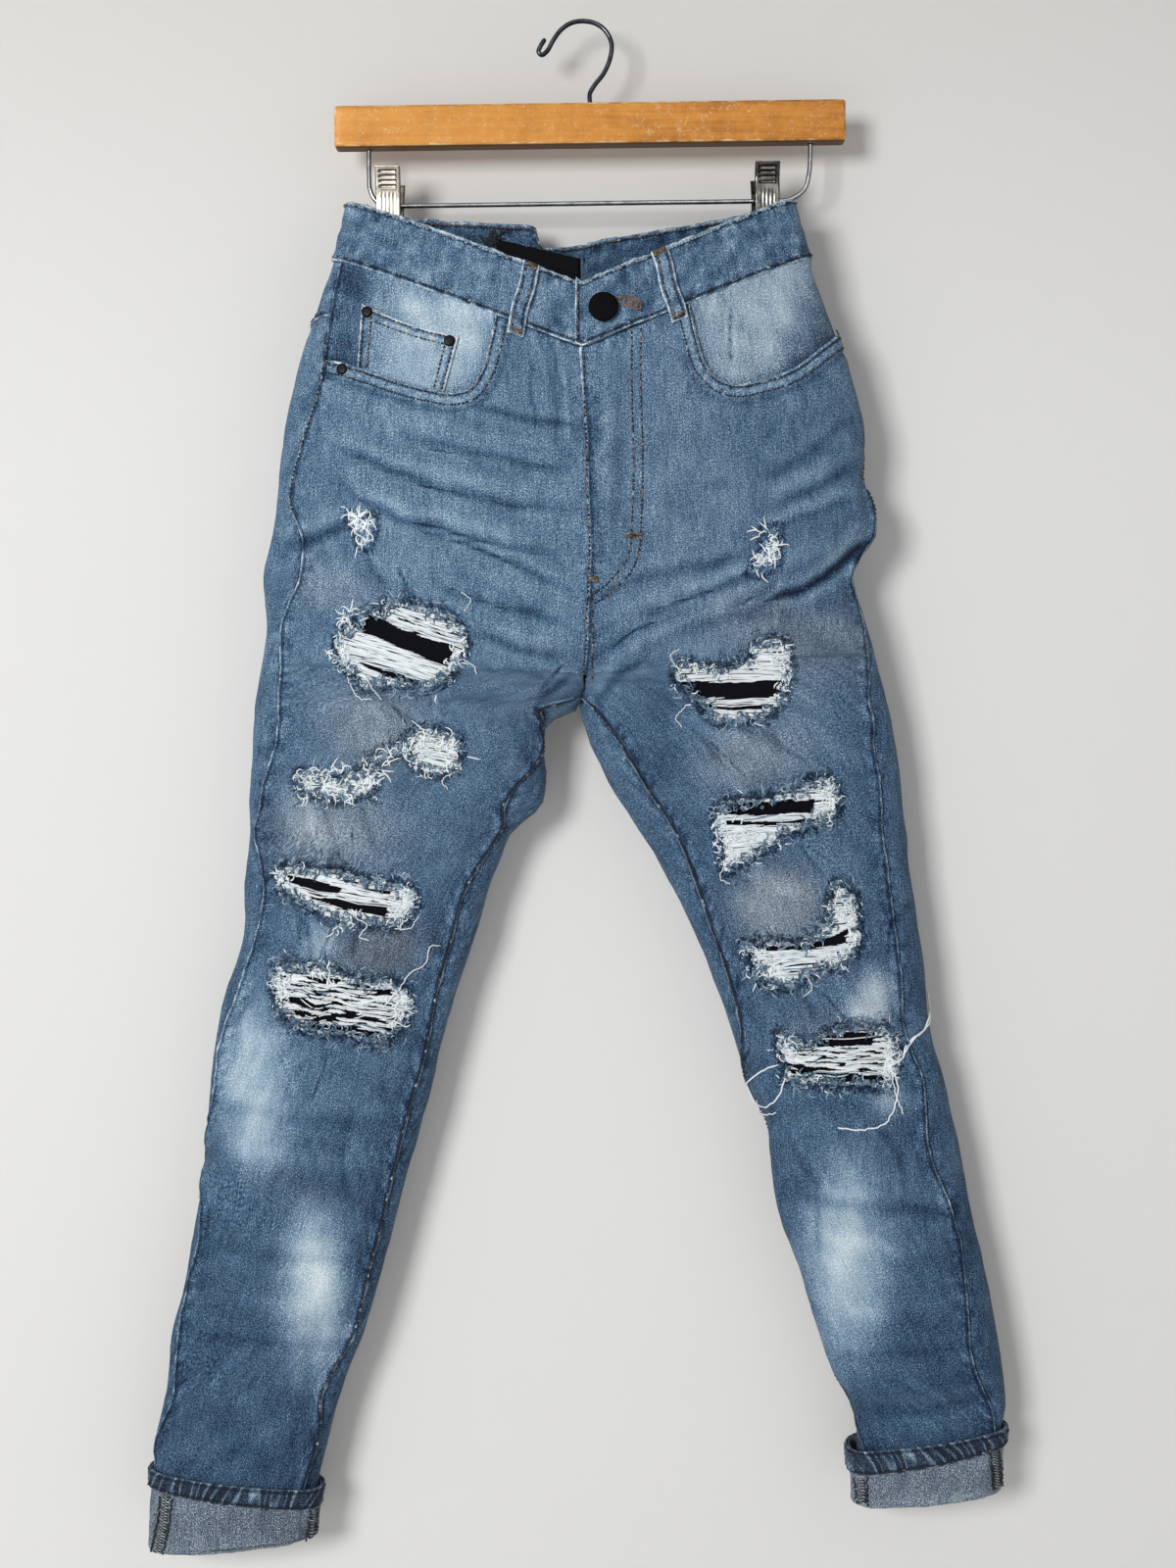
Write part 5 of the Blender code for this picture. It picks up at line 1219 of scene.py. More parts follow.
# worn through in part only: white threads on cloth that still holds
SCUFFS = {
    "right": [[(-160, -344), (-150, -347), (-140, -345), (-141, -356), (-143, -367), (-151, -366),
               (-153, -355)],
              [(-143, -513), (-128, -507), (-116, -500), (-117, -494), (-130, -499), (-144, -506)]],
    "left": [[(120, -353), (131, -353), (131, -366), (130, -378), (118, -386), (110, -383), (118, -374)]],
}
# x, z, radii, tilt in degrees, then how much paler and how much greyer
# most rows are worn fades; the rows that make the cloth between the tears and below the left hip's crease
# much greyer are painted shade of the creased cloth there
FADES_AND_SHADE = {
    "right": [
        (-228, -724, 23, 50, -8, 0.4, 0.05), (-220, -776, 15, 26, -8, 0.16, 0),
        (-182, -848, 20, 42, -4, 0.37, 0.1), (-196, -796, 30, 11, 14, -0.13, 0.2),
        (-184, -892, 21, 50, -6, 0.36, 0.15), (-142, -487, 30, 26, 20, 0.06, 0.85),
        (-165, -558, 36, 24, 0, 0.08, 0.8), (-142, -640, 26, 18, 0, -0.05, 0.95),
        (-122, -628, 22, 13, 0, -0.06, 0.3), (-178, -630, 10, 16, 20, 0.26, 0.2),
        (-115, -283, 56, 18, 8, 0.05, 0), (-95, -345, 85, 60, 10, 0.03, 0),
        (-214, -556, 14, 44, 0, -0.07, 0.1), (-52, -300, 30, 40, 0, -0.04, 0),
        (-205, -720, 34, 50, 0, 0.06, 0), (-190, -545, 16, 22, 0, 0.12, 0.3),
        (-172, -392, 26, 14, 10, 0.04, 0.5)],
    "left": [
        (170, -822, 19, 46, 16, 0.42, 0.1), (184, -872, 21, 54, 14, 0.45, 0.1),
        (256, -780, 9, 34, 13, 0.46, 0), (194, -672, 13, 20, 14, 0.46, 0.6),
        (206, -738, 9, 9, 0, 0.3, 0.5), (133, -606, 20, 20, -14, 0.1, 0.5),
        (112, -508, 30, 20, -12, 0.08, 0.8), (130, -606, 28, 24, -14, 0.08, 0.95),
        (150, -478, 14, 34, 0, 0.08, 0.15), (172, -690, 40, 14, 0, 0.05, 0.4),
        (140, -425, 46, 20, 14, -0.02, 0.7), (190, -420, 22, 20, 0, 0.02, 0.3),
        (60, -330, 40, 90, 0, 0.04, 0.1), (84, -405, 40, 22, 0, 0.05, 0),
        (215, -700, 18, 40, 0, 0.06, 0), (150, -290, 40, 22, 0, -0.03, 0),
        (46, -496, 24, 40, 0, -0.07, 0), (160, -640, 10, 18, 0, 0.1, 0.4)],
}
# down, then the wash of the right and the left half
WASH = np.array([(120, .42, .46), (230, .44, .42), (330, .45, .41), (430, .44, .40), (520, .40, .37),
                 (640, .37, .34), (760, .34, .32), (880, .27, .265), (1050, .245, .25)])


def wash_at(half, down):
    """The level of wash for a height, read from the table between its rows."""
    return np.interp(down, WASH[:, 0], WASH[:, 1 if half.side < 0 else 2])


def fades_and_shade_at(half, x, z, down):
    """(wash, grey) of the cloth at a place: the level for its height plus its fades and its patches of
    painted shade.

    A fade is a bell, exp(-r to the power 2.8), of the distance r in units of its radii.
    """
    wash, grey = wash_at(half, down) + 0 * x, np.zeros(x.shape)
    for cx, cz, rx, rz, tilt, paler, greyer in FADES_AND_SHADE["right" if half.side < 0 else "left"]:
        c, s = math.cos(math.radians(tilt)), math.sin(math.radians(tilt))
        u, v = (x - cx) * c - (z - cz) * s, (x - cx) * s + (z - cz) * c
        there = np.exp(-np.hypot(u / (1.12 * rx), v / (1.12 * rz)) ** 2.8)
        wash = wash + paler * there
        grey = grey + greyer * there
    return wash, np.clip(grey, 0, 1)


# %% [markdown]
# ## Fronts
#
# Each front runs from the waistband down to the fold of the cuff. Real seams are lapped: the
# front's edge is turned under and lies on the back, so it stands up about a layer of cloth and its
# fold wears pale, while the groove beside it gets painted shade. Stitching shortens the seam a
# little and the cloth puckers every centimetre or so. The pocket's edge is a turned and twice
# stitched band, which twists as it shrinks, with painted shadow on the cloth just below it.

# %% Fronts with pocket mouths and tears
FOLD_LIP = 2.4          # the panels end this far above the fold of the cuff
LAP = 1.35              # how far a lapped edge stands up
# rows are close together over the pocket and the tears, wider apart elsewhere
FINE_ROWS, COARSE_ROWS, FRONT_COLUMNS = 2.3, 3.4, 84
HEM_OF_POCKET = 12      # how wide the pocket mouth's turned edge is, with its groove
fronts = {}


def spaced_rows(low, high, fine, coarse, zones):
    """Row places from low to high: steps of `fine` inside the zones, `coarse` elsewhere."""
    at = np.linspace(low, high, 2000)
    step = np.full(at.shape, float(coarse))
    for start, end in zones:
        step[(at > start) & (at < end)] = fine
    count = np.concatenate([[0], np.cumsum(np.diff(at) / step[1:])])
    return np.interp(np.linspace(0, count[-1], int(count[-1]) + 1), count, at)


def tears_of(name):
    """The tears of one half, by name."""
    return {key: tear for key, tear in TEARS.items() if key.endswith("_" + name)}


def tear_distance(name, x, z):
    """Signed distance to the nearest tear of one half, with a ragged edge: negative in a tear."""
    best = np.full(x.shape, FAR)
    for tear in tears_of(name).values():
        reach = np.array(tear["outline"])
        low, high = reach.min(axis=0) - 20, reach.max(axis=0) + 20
        near = np.nonzero((x > low[0]) & (x < high[0]) & (z > low[1]) & (z < high[1]))
        best[near] = np.minimum(best[near], outline_distance(x[near], z[near], tear["outline"]))
    return best + 1.5 * ripple(x, z, 7, 31) + 0.9 * ripple(x, z, 3.4, 32)


def scuff_distance(name, x, z):
    """Signed distance to the nearest place of one half that is worn through in part only."""
    best = np.full(x.shape, FAR)
    for outline in SCUFFS[name]:
        best = np.minimum(best, outline_distance(x, z, outline))
    return best + 1.4 * ripple(x, z, 5, 33)


def beyond_pocket(name, x, z):
    """Signed distance to the pocket mouth: negative where the front is cut away."""
    return outline_distance(x, z, list(curve(POCKET_EDGE[name], 2.0)) + POCKET_CORNER[name])


def front_relief(panel, x, z, leg, lapped, pocket, tear):
    """How far the front stands off: unevenness, puckers, laps, the pocket's hem, torn rims."""
    to_in, to_out, along = panel.across, panel.width - panel.across, panel.along
    height = 0.25 + 0.35 * panel.uneven(46, 1) + 0.16 * panel.uneven(15, 2)
    height += 0.75 * bell(to_out, 8) * panel.uneven(13, 3, across=0.5)
    height += 0.65 * leg * bell(to_in, 8) * panel.uneven(9, 4, across=0.5)
    height += 0.5 * bell(along - 3, 9) * panel.uneven(12, 5, along=0.5)
    height += LAP * (1 - ramp(1.5, 6.5, to_out)) - 0.5 * bell(to_out - 8, 2.2)
    height += lapped * (LAP * (1 - ramp(1.5, 6.5, to_in)) - 0.4 * bell(to_in - 8, 2.2))
    height += 0.8 * (1 - ramp(8.5, 11, pocket)) * (pocket < HEM_OF_POCKET)
    height += 0.32 * (1 - ramp(8, 10, pocket)) * ripple(x, z, 8, 6)
    height -= 0.7 * bell(pocket - 12.2, 1.8)
    return height + bell(np.maximum(tear, 0), 6) * (0.45 + 0.7 * ripple(x, z, 13, 7))


def front_wear(half, panel, x, z, down, behind, leg, pocket, scuffed):
    """Wash and grey of the front: fades and painted shade patches, folds, what wear does to seams and hems,
    and painted shade below the pocket's band.
    """
    to_in, to_out = panel.across, panel.width - panel.across
    wash, grey = fades_and_shade_at(half, x, z, down)
    wash += 1.4 * folds_at(x, z, behind, 2) + 0.03 * ripple(x, z * 1.5, 40, 11)
    wash -= 0.08 * leg * bell(to_in, 22) + 0.05 * bell(to_out, 14)
    # the seam's puckers wear in ticks
    tick = ramp(0.0, 0.5, panel.uneven(8.5, 8, across=0.3)) - 0.4
    wash -= 0.24 * leg * bell(to_in - 5, 3.6) * tick
    wash -= 0.12 * bell(to_out - 5, 3.6) * tick
    wash += 0.10 * bell(to_out, 6) * panel.uneven(16, 9)
    hem = 0.13 * (1 - ramp(8, 13, pocket)) + 0.12 * (1 - ramp(8, 10, pocket)) * ripple(x, z, 4, 10)
    wash += hem * (pocket < HEM_OF_POCKET + 2)
    # painted shadow just below the pocket's turned band, and painted shade along its second row of stitches
    wash -= 0.18 * bell(pocket - 12.4, 1.7) + 0.16 * bell(pocket - 8.6, 1.0)
    return wash + 0.42 * (1 - ramp(-1.5, 1.0, scuffed)), grey


def front_panel(name):
    """The shaped and marked front of one half, and the rows it was made on."""
    half = HALVES[name]
    rows = spaced_rows(half.waist + 0.3, half.bottom - FOLD_LIP, FINE_ROWS, COARSE_ROWS,
                       [(half.waist, 270), (395, 745)])
    down = rows[:, None]
    inner, outer = half.inseam(down), half.outseam(down)
    turn = inner + (outer - inner) * np.linspace(0, 1, FRONT_COLUMNS)
    down = np.broadcast_to(down, turn.shape)
    panel = Panel(half.lifted(down, turn, DENIM), half.side)
    x, z = panel.x.copy(), panel.z.copy()
    to_in, to_out = panel.across, panel.width - panel.across
    leg = ramp(half.crotch - 12, half.crotch + 12, down)     # 0 above the crotch, 1 below
    lapped = leg if half.side < 0 else np.ones(leg.shape)    # where the inner edge laps over
    pocket, tear, scuffed = (where(name, x, z) for where in (beyond_pocket, tear_distance, scuff_distance))
    tear[turn > 0.5] = FAR
    panel.marks["wash"], panel.marks["grey"] = front_wear(half, panel, x, z, down, turn > 0.5, leg,
                                                          pocket, scuffed)
    panel.raise_by(front_relief(panel, x, z, leg, lapped, pocket, tear))
    if half.side > 0:
        # the left front reaches a little past the centre, over the right one
        panel.points[..., 0] -= 2.2 * (1 - leg) * (1 - ramp(0, 12, to_in))
    panel.add_edge(to_out + 0.4)
    panel.add_edge(to_in + 0.35 + 2.4 * (1 - lapped))
    panel.add_edge(panel.along + 2.2)
    panel.add_edge(np.where(pocket > 0, pocket, FAR))
    panel.marks["rip"] = np.minimum(np.maximum(tear, 0), np.maximum(scuffed, 0) + 0.8)
    panel.marks["crease"] = crease_distance(x, z)
    panel.trim(pocket)
    panel.trim(tear)
    return panel, rows


for name in HALVES:
    panel, rows = front_panel(name)
    fronts[name] = (panel, rows)
    panel.sew(f"front_{name}", DENIM_FINISH)


# %% Rows of places on a finished panel
def sample(panel, i, j, lift=0.0):
    """Points and normals of a panel at fractional rows i and columns j."""
    rows, columns = panel.points.shape[:2]
    i, j = np.broadcast_arrays(np.clip(i, 0, rows - 1.001), np.clip(j, 0, columns - 1.001))
    i0, j0 = i.astype(int), j.astype(int)
    a, b = (i - i0)[:, None], (j - j0)[:, None]
    p = panel.points
    top = p[i0, j0] * (1 - b) + p[i0, j0 + 1] * b
    low = p[i0 + 1, j0] * (1 - b) + p[i0 + 1, j0 + 1] * b
    left = p[i0, j0] * (1 - a) + p[i0 + 1, j0] * a
    right = p[i0, j0 + 1] * (1 - a) + p[i0 + 1, j0 + 1] * a
    normal = unit(np.cross(low - top, right - left) * panel.side)
    return top * (1 - a) + low * a + normal * lift, normal


def row_on_front(name, line, lift=0.0):
    """Points and normals on the finished front along a line of x, z points."""
    half = HALVES[name]
    panel, rows = fronts[name]
    x, z = curve(line).T
    down, turn = half.locate(x, z)
    share = (turn - half.inseam(down)) / (half.outseam(down) - half.inseam(down))
    row = np.interp(down, rows, np.arange(len(rows)))
    return sample(panel, row, share * (FRONT_COLUMNS - 1), lift)


def offset_line(line, distance):
    """A line in the front view moved sideways: to its left by distance, seen along the line."""
    path = curve(line, 1.5)
    way = unit(np.gradient(path, axis=0))
    return path + distance * np.stack([-way[:, 1], way[:, 0]], axis=1)


def seam_row(name, start, end, inset, from_outer):
    """A row `inset` mm inside the outer or the inner edge of a front, between two depths."""
    panel, rows = fronts[name]
    which = np.flatnonzero((rows > start) & (rows < end))
    share = np.clip(inset / panel.width[which, 0], 0, 1)
    return sample(panel, which, (1 - share if from_outer else share) * (FRONT_COLUMNS - 1))


# %% [markdown]
# ## Rows of stitches on the fronts
#
# A lockstitch shows as short beads lying a little sunk in the cloth. The yarn here has faded: most
# beads are dark grey, some tan and a few nearly white. Each bead is its own small tube.

# %% Front stitches
for name, half in HALVES.items():
    for inset in (2.4, 8.6):
        beside = offset_line(POCKET_EDGE[name], -inset * half.side)
        stitch("front", row_on_front(name, beside[8:-6]), 2.6, 2.2, tan=0.12)
    stitch("front", seam_row(name, half.crotch + 8, half.bottom - 60, 2.0, False), tan=0.12)
    stitch("front", seam_row(name, half.waist + 52, 345, 2.0, True), tan=0.2)
FLY_ROWS = [[(32, -222), (32, -263), (33, -296), (33, -329), (32, -349), (31, -366), (28, -376), (19, -387),
             (9, -397), (3, -402)],
            [(38, -220), (38, -263), (39, -296), (39, -329), (38, -350), (37, -368), (33, -380), (24, -391),
             (13, -401), (4, -407)],
            [(2.0, -236), (2.4, -300), (2.4, -380), (2.4, -455)],
            [(7.6, -408), (7.6, -430), (6.4, -455)]]
for line in FLY_ROWS:
    stitch("front", row_on_front("left", line), tan=0.3)
# bar-tacks: rows of close stitches across a line
for start_x, end_x, z in ((28, 39, -359), (3, 12, -388)):
    for shift in np.linspace(-1.2, 1.2, 5):
        tack = row_on_front("left", [(start_x, z + shift), (end_x, z + shift)], 0.35)
        stitch("front", tack, 2.2, 2.6, 0.45, 0.75)

# %% [markdown]
# ## Backs, yokes and back pockets
#
# Nobody sees the back of jeans that hang on a wall, but the part will be turned. It gets the same
# kind of creases and wear, and the patch pockets and the yoke that every pair of jeans has. The
# yoke laps over the back panel, as the front laps over both.

# %% Back panels
YOKE_DROP = 43          # the yoke's seam hangs this much lower at the centre back
BACK_ROWS, YOKE_ROWS = 120, 30
# columns are close together at both side seams
SHARE = np.concatenate([np.linspace(0, 0.16, 9)[:-1], np.linspace(0.16, 0.84, 34)[:-1],
                        np.linspace(0.84, 1, 9)])
SEAM_INSETS = (2.0, 8.0)                            # where twin rows of stitches run
BACK_STITCH = dict(pitch=4.0, length=2.8)


def worn_panel(half, down, turn, seed, inseam_from):
    """A back piece at these places: unevenness, seam puckers, and marks of wear."""
    panel = Panel(half.lifted(down, turn, DENIM), half.side)
    to_out, to_in = panel.across, panel.width - panel.across
    leg = ramp(inseam_from - 12, inseam_from + 12, down)
    height = 0.3 + 0.5 * panel.uneven(52, seed) + 0.2 * panel.uneven(17, seed + 1)
    panel.raise_by(height * (ramp(3, 12, to_out) * ramp(3, 12, to_in)))
    x, z = panel.x, panel.z
    wash = wash_at(half, down) - 0.03
    wash = wash + 1.45 * folds_at(x, z, turn > 0.5, 2) + 0.04 * ripple(x, z, 60, seed + 2)
    wash += 0.10 * np.exp(-(((x - half.side * 85) / 60) ** 2 + ((z + 350) / 90) ** 2))
    wash += 0.13 * bell(to_out, 7) * panel.uneven(13, seed + 3)
    wash += 0.15 * leg * bell(to_in, 7) * panel.uneven(11, seed + 4)
    panel.marks["wash"] = wash
    panel.add_edge(to_out + 2.4)
    panel.add_edge(to_in + 2.4)
    panel.add_edge(panel.along + 2.4)
    return panel


for number, (name, half) in enumerate(HALVES.items()):
    # rows sink towards the centre back above the crotch
    side = half.down[YOKE_ROW]
    rows = np.linspace(side + 0.4, half.bottom - FOLD_LIP, BACK_ROWS)[:, None]
    down = rows + YOKE_DROP * SHARE * (1 - ramp(side, half.crotch, rows))
    turn = half.outseam(rows) * (1 - SHARE) + SHARE * (1 + half.inseam(rows))
    worn_panel(half, down, turn, 50 + 10 * number, half.crotch).sew(f"back_{name}", DENIM_FINISH)

    steps = np.linspace(0, 1, YOKE_ROWS)[:, None]
    down = half.waist + 0.3 + (side + YOKE_DROP * SHARE + 1.6 - half.waist) * steps
    turn = half.outseam(down) * (1 - SHARE) + SHARE
    panel = worn_panel(half, down, turn, 80 + 10 * number, 900)
    to_seam = panel.along[-1:] - panel.along
    panel.raise_by(LAP * (1 - ramp(1.5, 6.5, to_seam)) * ramp(0, 6, panel.across))
    panel.add_edge(to_seam)
    panel.sew(f"yoke_{name}", DENIM_FINISH)
    for inset in SEAM_INSETS:
        row = (YOKE_ROWS - 1) * (1 - inset / float(panel.along[-1].mean()))
        stitch("back", sample(panel, row, np.linspace(2, len(SHARE) - 2, 40)), **BACK_STITCH)

# %% Back pockets
BACK_POCKET = ((20, -287), (154, -268), (24, -420), (148, -402))   # inner top, outer top, bottoms
POCKET_GRID = (40, 36)
CELL = 3.8              # how far its mesh rows and columns are apart
POCKET_POINT = 14       # how much lower the middle of its bottom edge hangs


def patch_grid(corners, rows, columns, dip=0.0):
    """x and z of a grid between four corners; dip lowers the bottom's middle."""
    (ax, az), (bx, bz), (cx, cz), (dx, dz) = corners
    t, s = np.meshgrid(np.linspace(0, 1, rows), np.linspace(0, 1, columns), indexing="ij")
    x = (ax * (1 - s) + bx * s) * (1 - t) + (cx * (1 - s) + dx * s) * t
    z = (az * (1 - s) + bz * s) * (1 - t) + (cz * (1 - s) + dz * s) * t
    return x, z - dip * t * (1 - np.abs(2 * s - 1))


for name, half in HALVES.items():
    x, z = patch_grid([(half.side * x, z) for x, z in BACK_POCKET], *POCKET_GRID, POCKET_POINT)
    panel = Panel(half.on(x, z, 2.0 + DENIM, behind=True)[:, ::-1], half.side)
    sides, mouth = np.minimum(panel.across, panel.width - panel.across), panel.along
    border = np.minimum(sides, panel.along[-1:] - panel.along)
    height = 0.2 + 0.3 * panel.uneven(30, 91) * ramp(2, 16, border)
    height += 0.5 * (1 - ramp(9, 11, mouth)) - 0.5 * (1 - ramp(0, 1.6, border))
    height += 0.3 * (1 - ramp(7, 10, border)) * panel.uneven(8, 92)
    panel.raise_by(height)
    panel.marks["wash"] = (0.50 + 0.05 * panel.uneven(40, 93) + 0.10 * bell(mouth - 5, 6)
                           + 0.06 * (1 - ramp(6, 9, border)))
    panel.add_edge(border)
    panel.add_edge(mouth)
    panel.sew(f"back_pocket_{name}", DENIM_FINISH)
    last_row, last_column = POCKET_GRID[0] - 1, POCKET_GRID[1] - 1
    for inset in SEAM_INSETS:
        cells = inset / CELL
        down_side = np.linspace(0, last_row - cells, 60)
        for column in (cells, last_column - cells):
            stitch("back", sample(panel, down_side, column), **BACK_STITCH)
        bottom = sample(panel, last_row - cells, np.linspace(cells, last_column - cells, 60))
        stitch("back", bottom, **BACK_STITCH)
    mouth_row = sample(panel, 10 / CELL, np.linspace(1, last_column - 1, 60))
    stitch("back", mouth_row, **BACK_STITCH)

# %% [markdown]
# ## Inside the pockets and behind the tears
#
# The pocket's opening shows the facing, denim sewn to the pocket bag, washed almost white because
# it stands proud. The small coin pocket lies on the right one. Behind each tear a piece of black
# knit is sewn in, so that skin doesn't show; it sags a little away from the denim.

# %% Facings
FACING_LIFT = {"right": -3.0, "left": -1.6}     # of the inner face
FACING_GRID = (46, 92)

for name, half in HALVES.items():
    down = np.linspace(half.waist - 2.5, half.down[WAIST_ROW + 2], FACING_GRID[0])[:, None]
    inner, outer = half.inseam(down), half.outseam(down)
    turn = inner + (outer - inner) * np.linspace(0.2, 1.006, FACING_GRID[1])
    panel = Panel(half.lifted(down, turn, FACING_LIFT[name] + DENIM), half.side)
    x, z = panel.x, panel.z
    # its seams at the waistband and the side lie level with the front
    to_seam = np.minimum(panel.along - 2, panel.width - panel.across)
    up_to = 0.25 - FACING_LIFT[name]
    panel.raise_by(up_to * (1 - ramp(0.5, 11, to_seam)) - 0.15 - 0.15 * np.abs(panel.uneven(26, 95)))
    panel.add_edge(panel.width - panel.across + 0.5)
    if name == "left":
        # a sharp vertical crease
        which, off, place = near_line(x, z, [(95, -190), (96, -223), (98, -253)], 8)
        panel.points[which] += panel.normals[which] * (0.35 - 0.9 * bell(off, 2))[:, None]
        wash = 0.66 + 0.08 * np.exp(-(((x - 136) / 30) ** 2 + ((z + 205) / 30) ** 2))
        wash -= 0.36 * ramp(132, 164, x - 0.35 * (z + 205))
        panel.marks["grey"] += 0.3
    else:
        wash = 0.68 + 0.16 * np.exp(-(((x + 88) / 34) ** 2 + ((z + 222) / 26) ** 2))
        wash -= 0.38 * ramp(-124, -158, x) + 0.10 * ramp(-205, -188, z)
    # painted shadow: the facing is darker along the front's pocket edge, which lies over it
    wash -= 0.17 * bell(beyond_pocket(name, x, z), 5)
    panel.marks["crease"] = crease_distance(x, z)
    panel.marks["wash"] = wash + 0.05 * ripple(x, z, 22, 96)
    panel.sew(f"pocket_facing_{name}", PALE_FINISH, "denim_pale")

# %% Coin pocket
COIN_POCKET = ((-84, -225), (-150, -201), (-95, -267), (-153, -250))
COIN_GRID = (40, 52)
MOUTH_DIP = 3.0         # how far the middle of its mouth sags

x, z = patch_grid(COIN_POCKET, *COIN_GRID)
t, s = (np.linspace(0, 1, count) for count in COIN_GRID)
panel = Panel(RIGHT.on(x, z - MOUTH_DIP * np.sin(math.pi * s) * (1 - t)[:, None], -0.4), RIGHT.side)
sides, mouth = np.minimum(panel.across, panel.width - panel.across), panel.along
panel.raise_by(0.1 + 0.12 * panel.uneven(12, 97) + 0.2 * (1 - ramp(9, 11, mouth))
               + 0.15 * (1 - ramp(8, 10, sides)) * panel.uneven(7, 98))
panel.marks["wash"] = (0.74 - 0.24 * ramp(-118, -152, panel.x) + 0.05 * ripple(panel.x, panel.z, 18, 99)
                       - 0.06 * (1 - ramp(7, 10, sides)))
panel.add_edge(sides)
panel.add_edge(mouth)
panel.sew("coin_pocket", PALE_FINISH, thickness=1.1)
last_row, last_column = COIN_GRID[0] - 1, COIN_GRID[1] - 1
row_step, column_step = panel.flat[1] / last_row, panel.flat[0] / last_column
for inset in SEAM_INSETS:
    mouth_row = sample(panel, inset / row_step, np.linspace(1.5, last_column - 1.5, 50))
    stitch("front", mouth_row, tan=0.45)
for inset in SEAM_INSETS:
    for column in (inset / column_step, last_column - inset / column_step):
        stitch("front", sample(panel, np.linspace(1.5, 38, 40), column), tan=0.3)

# %% Black backing behind each tear
BACKINGS = {"thigh": -0.9, "thigh_low": -2.4, "knee": -0.9, "knee_low": -2.4}   # lift, outer face
BACKING_MARGIN, BACKING_GRID = 9, (22, 24)

for name, half in HALVES.items():
    for place, lift in BACKINGS.items():
        outline = list(TEARS[f"{place}_{name}"]["outline"])
        if (name, place) == ("right", "thigh_low"):
            outline += TEARS["thigh_side_right"]["outline"]      # one piece backs both tears
        low = np.min(outline, axis=0) - BACKING_MARGIN
        high = np.max(outline, axis=0) + BACKING_MARGIN
        x, z = np.meshgrid(np.linspace(low[0], high[0], BACKING_GRID[1]),
                           np.linspace(high[1], low[1], BACKING_GRID[0]))
        if half.side < 0:
            x = x[:, ::-1]
        panel = Panel(half.on(x, z, lift), half.side)
        panel.raise_by(-0.25 - 0.3 * np.abs(ripple(x, z, 18, 120)))
        panel.sew(f"backing_{place}_{name}", BACKING_FINISH, "backing_black", thickness=1.0)

# %% [markdown]
# ## Torn yarn
#
# When denim tears, the blue warp (running down the leg) breaks first and its ends curl at the top
# and bottom of the hole. The white weft (running across) lasts longer and still spans the hole in
# nearly straight threads that sag, bunch up and leave slits. Near the sides the broken weft forms
# white fuzz. So each tear gets three kinds of yarn: spans, blue and white curls, and a few long
# strays. They are thin tubes, joined in one mesh per leg.

# %% Spans of weft across the tears
SPAN_POINTS = 9
LONE_THREADS = 0.06     # share of the threads left alone in the slits of a wavy tear
FEW_GAPS = 0.95         # a tear's default: the nearer to 0, the more threads are missing


def spans(tear, half, spacing, shift, lift):
    """Paths of the threads across a tear: rows of its tilted frame, cut by its outline and slits.

    In the tilted frame u runs along the threads and v across them. A span is a run of places on
    one row inside the outline and outside every slit.
    """
    outline = np.array(tear["outline"], dtype=float)
    middle = outline.mean(axis=0)
    tilt = math.radians(tear["tilt"])
    way, off = np.array([math.cos(tilt), math.sin(tilt)]), np.array([-math.sin(tilt), math.cos(tilt)])
    u, v = (outline - middle) @ way, (outline - middle) @ off
    rows = np.arange(v.min() - 1, v.max() + 1, spacing) + shift
    places = np.arange(u.min() - 3, u.max() + 3, 0.7)
    row_v, along_u = np.meshgrid(rows, places, indexing="ij")
    # bunching: rows drift up and down together, slowly along u and faster across
    drift = 1.1 * ripple(along_u, row_v * 5, 60, 140 + int(10 * shift))
    drift += 0.5 * ripple(along_u, row_v * 9, 24, 141)
    drift += tear.get("waves", 0) * ripple(along_u, row_v * 0.6, 21, 143)
    spot = middle + along_u[..., None] * way + (row_v + drift)[..., None] * off
    distance = outline_distance(spot[..., 0], spot[..., 1], outline)
    keep = distance < 0.6
    lone = rng.random((len(rows), 1)) < LONE_THREADS * ("waves" in tear)
    for slit in tear["slits"]:
        slit_off = outline_distance(spot[..., 0], spot[..., 1], slit)
        keep &= (slit_off + 0.35 * ripple(along_u, row_v * 3, 16, 142) > 0.2) | lone
    keep &= ripple(along_u * 0.12, row_v + drift, 2.9, 144) > -tear.get("gaps", FEW_GAPS)
    lines, heights = [], []
    for number in range(len(rows)):
        edges = np.flatnonzero(np.diff(np.concatenate([[0], keep[number].astype(int), [0]])))
        for start, end in zip(edges[::2], edges[1::2]):
            if end - start < 5:
                continue
            at = np.linspace(start - 1.5, end + 0.5, SPAN_POINTS)
            line = read_along(at, np.arange(len(places)), spot[number])
            line += off * rng.normal(0, 0.12, (SPAN_POINTS, 1))
            bulge = np.sin(np.linspace(0, math.pi, SPAN_POINTS))
            height = lift + bulge * rng.uniform(-0.1, 0.55) + rng.normal(0, 0.07, SPAN_POINTS)
            lines.append(line)
            heights.append(height)
    lines = np.array(lines)
    return half.on(lines[..., 0], lines[..., 1], np.array(heights))


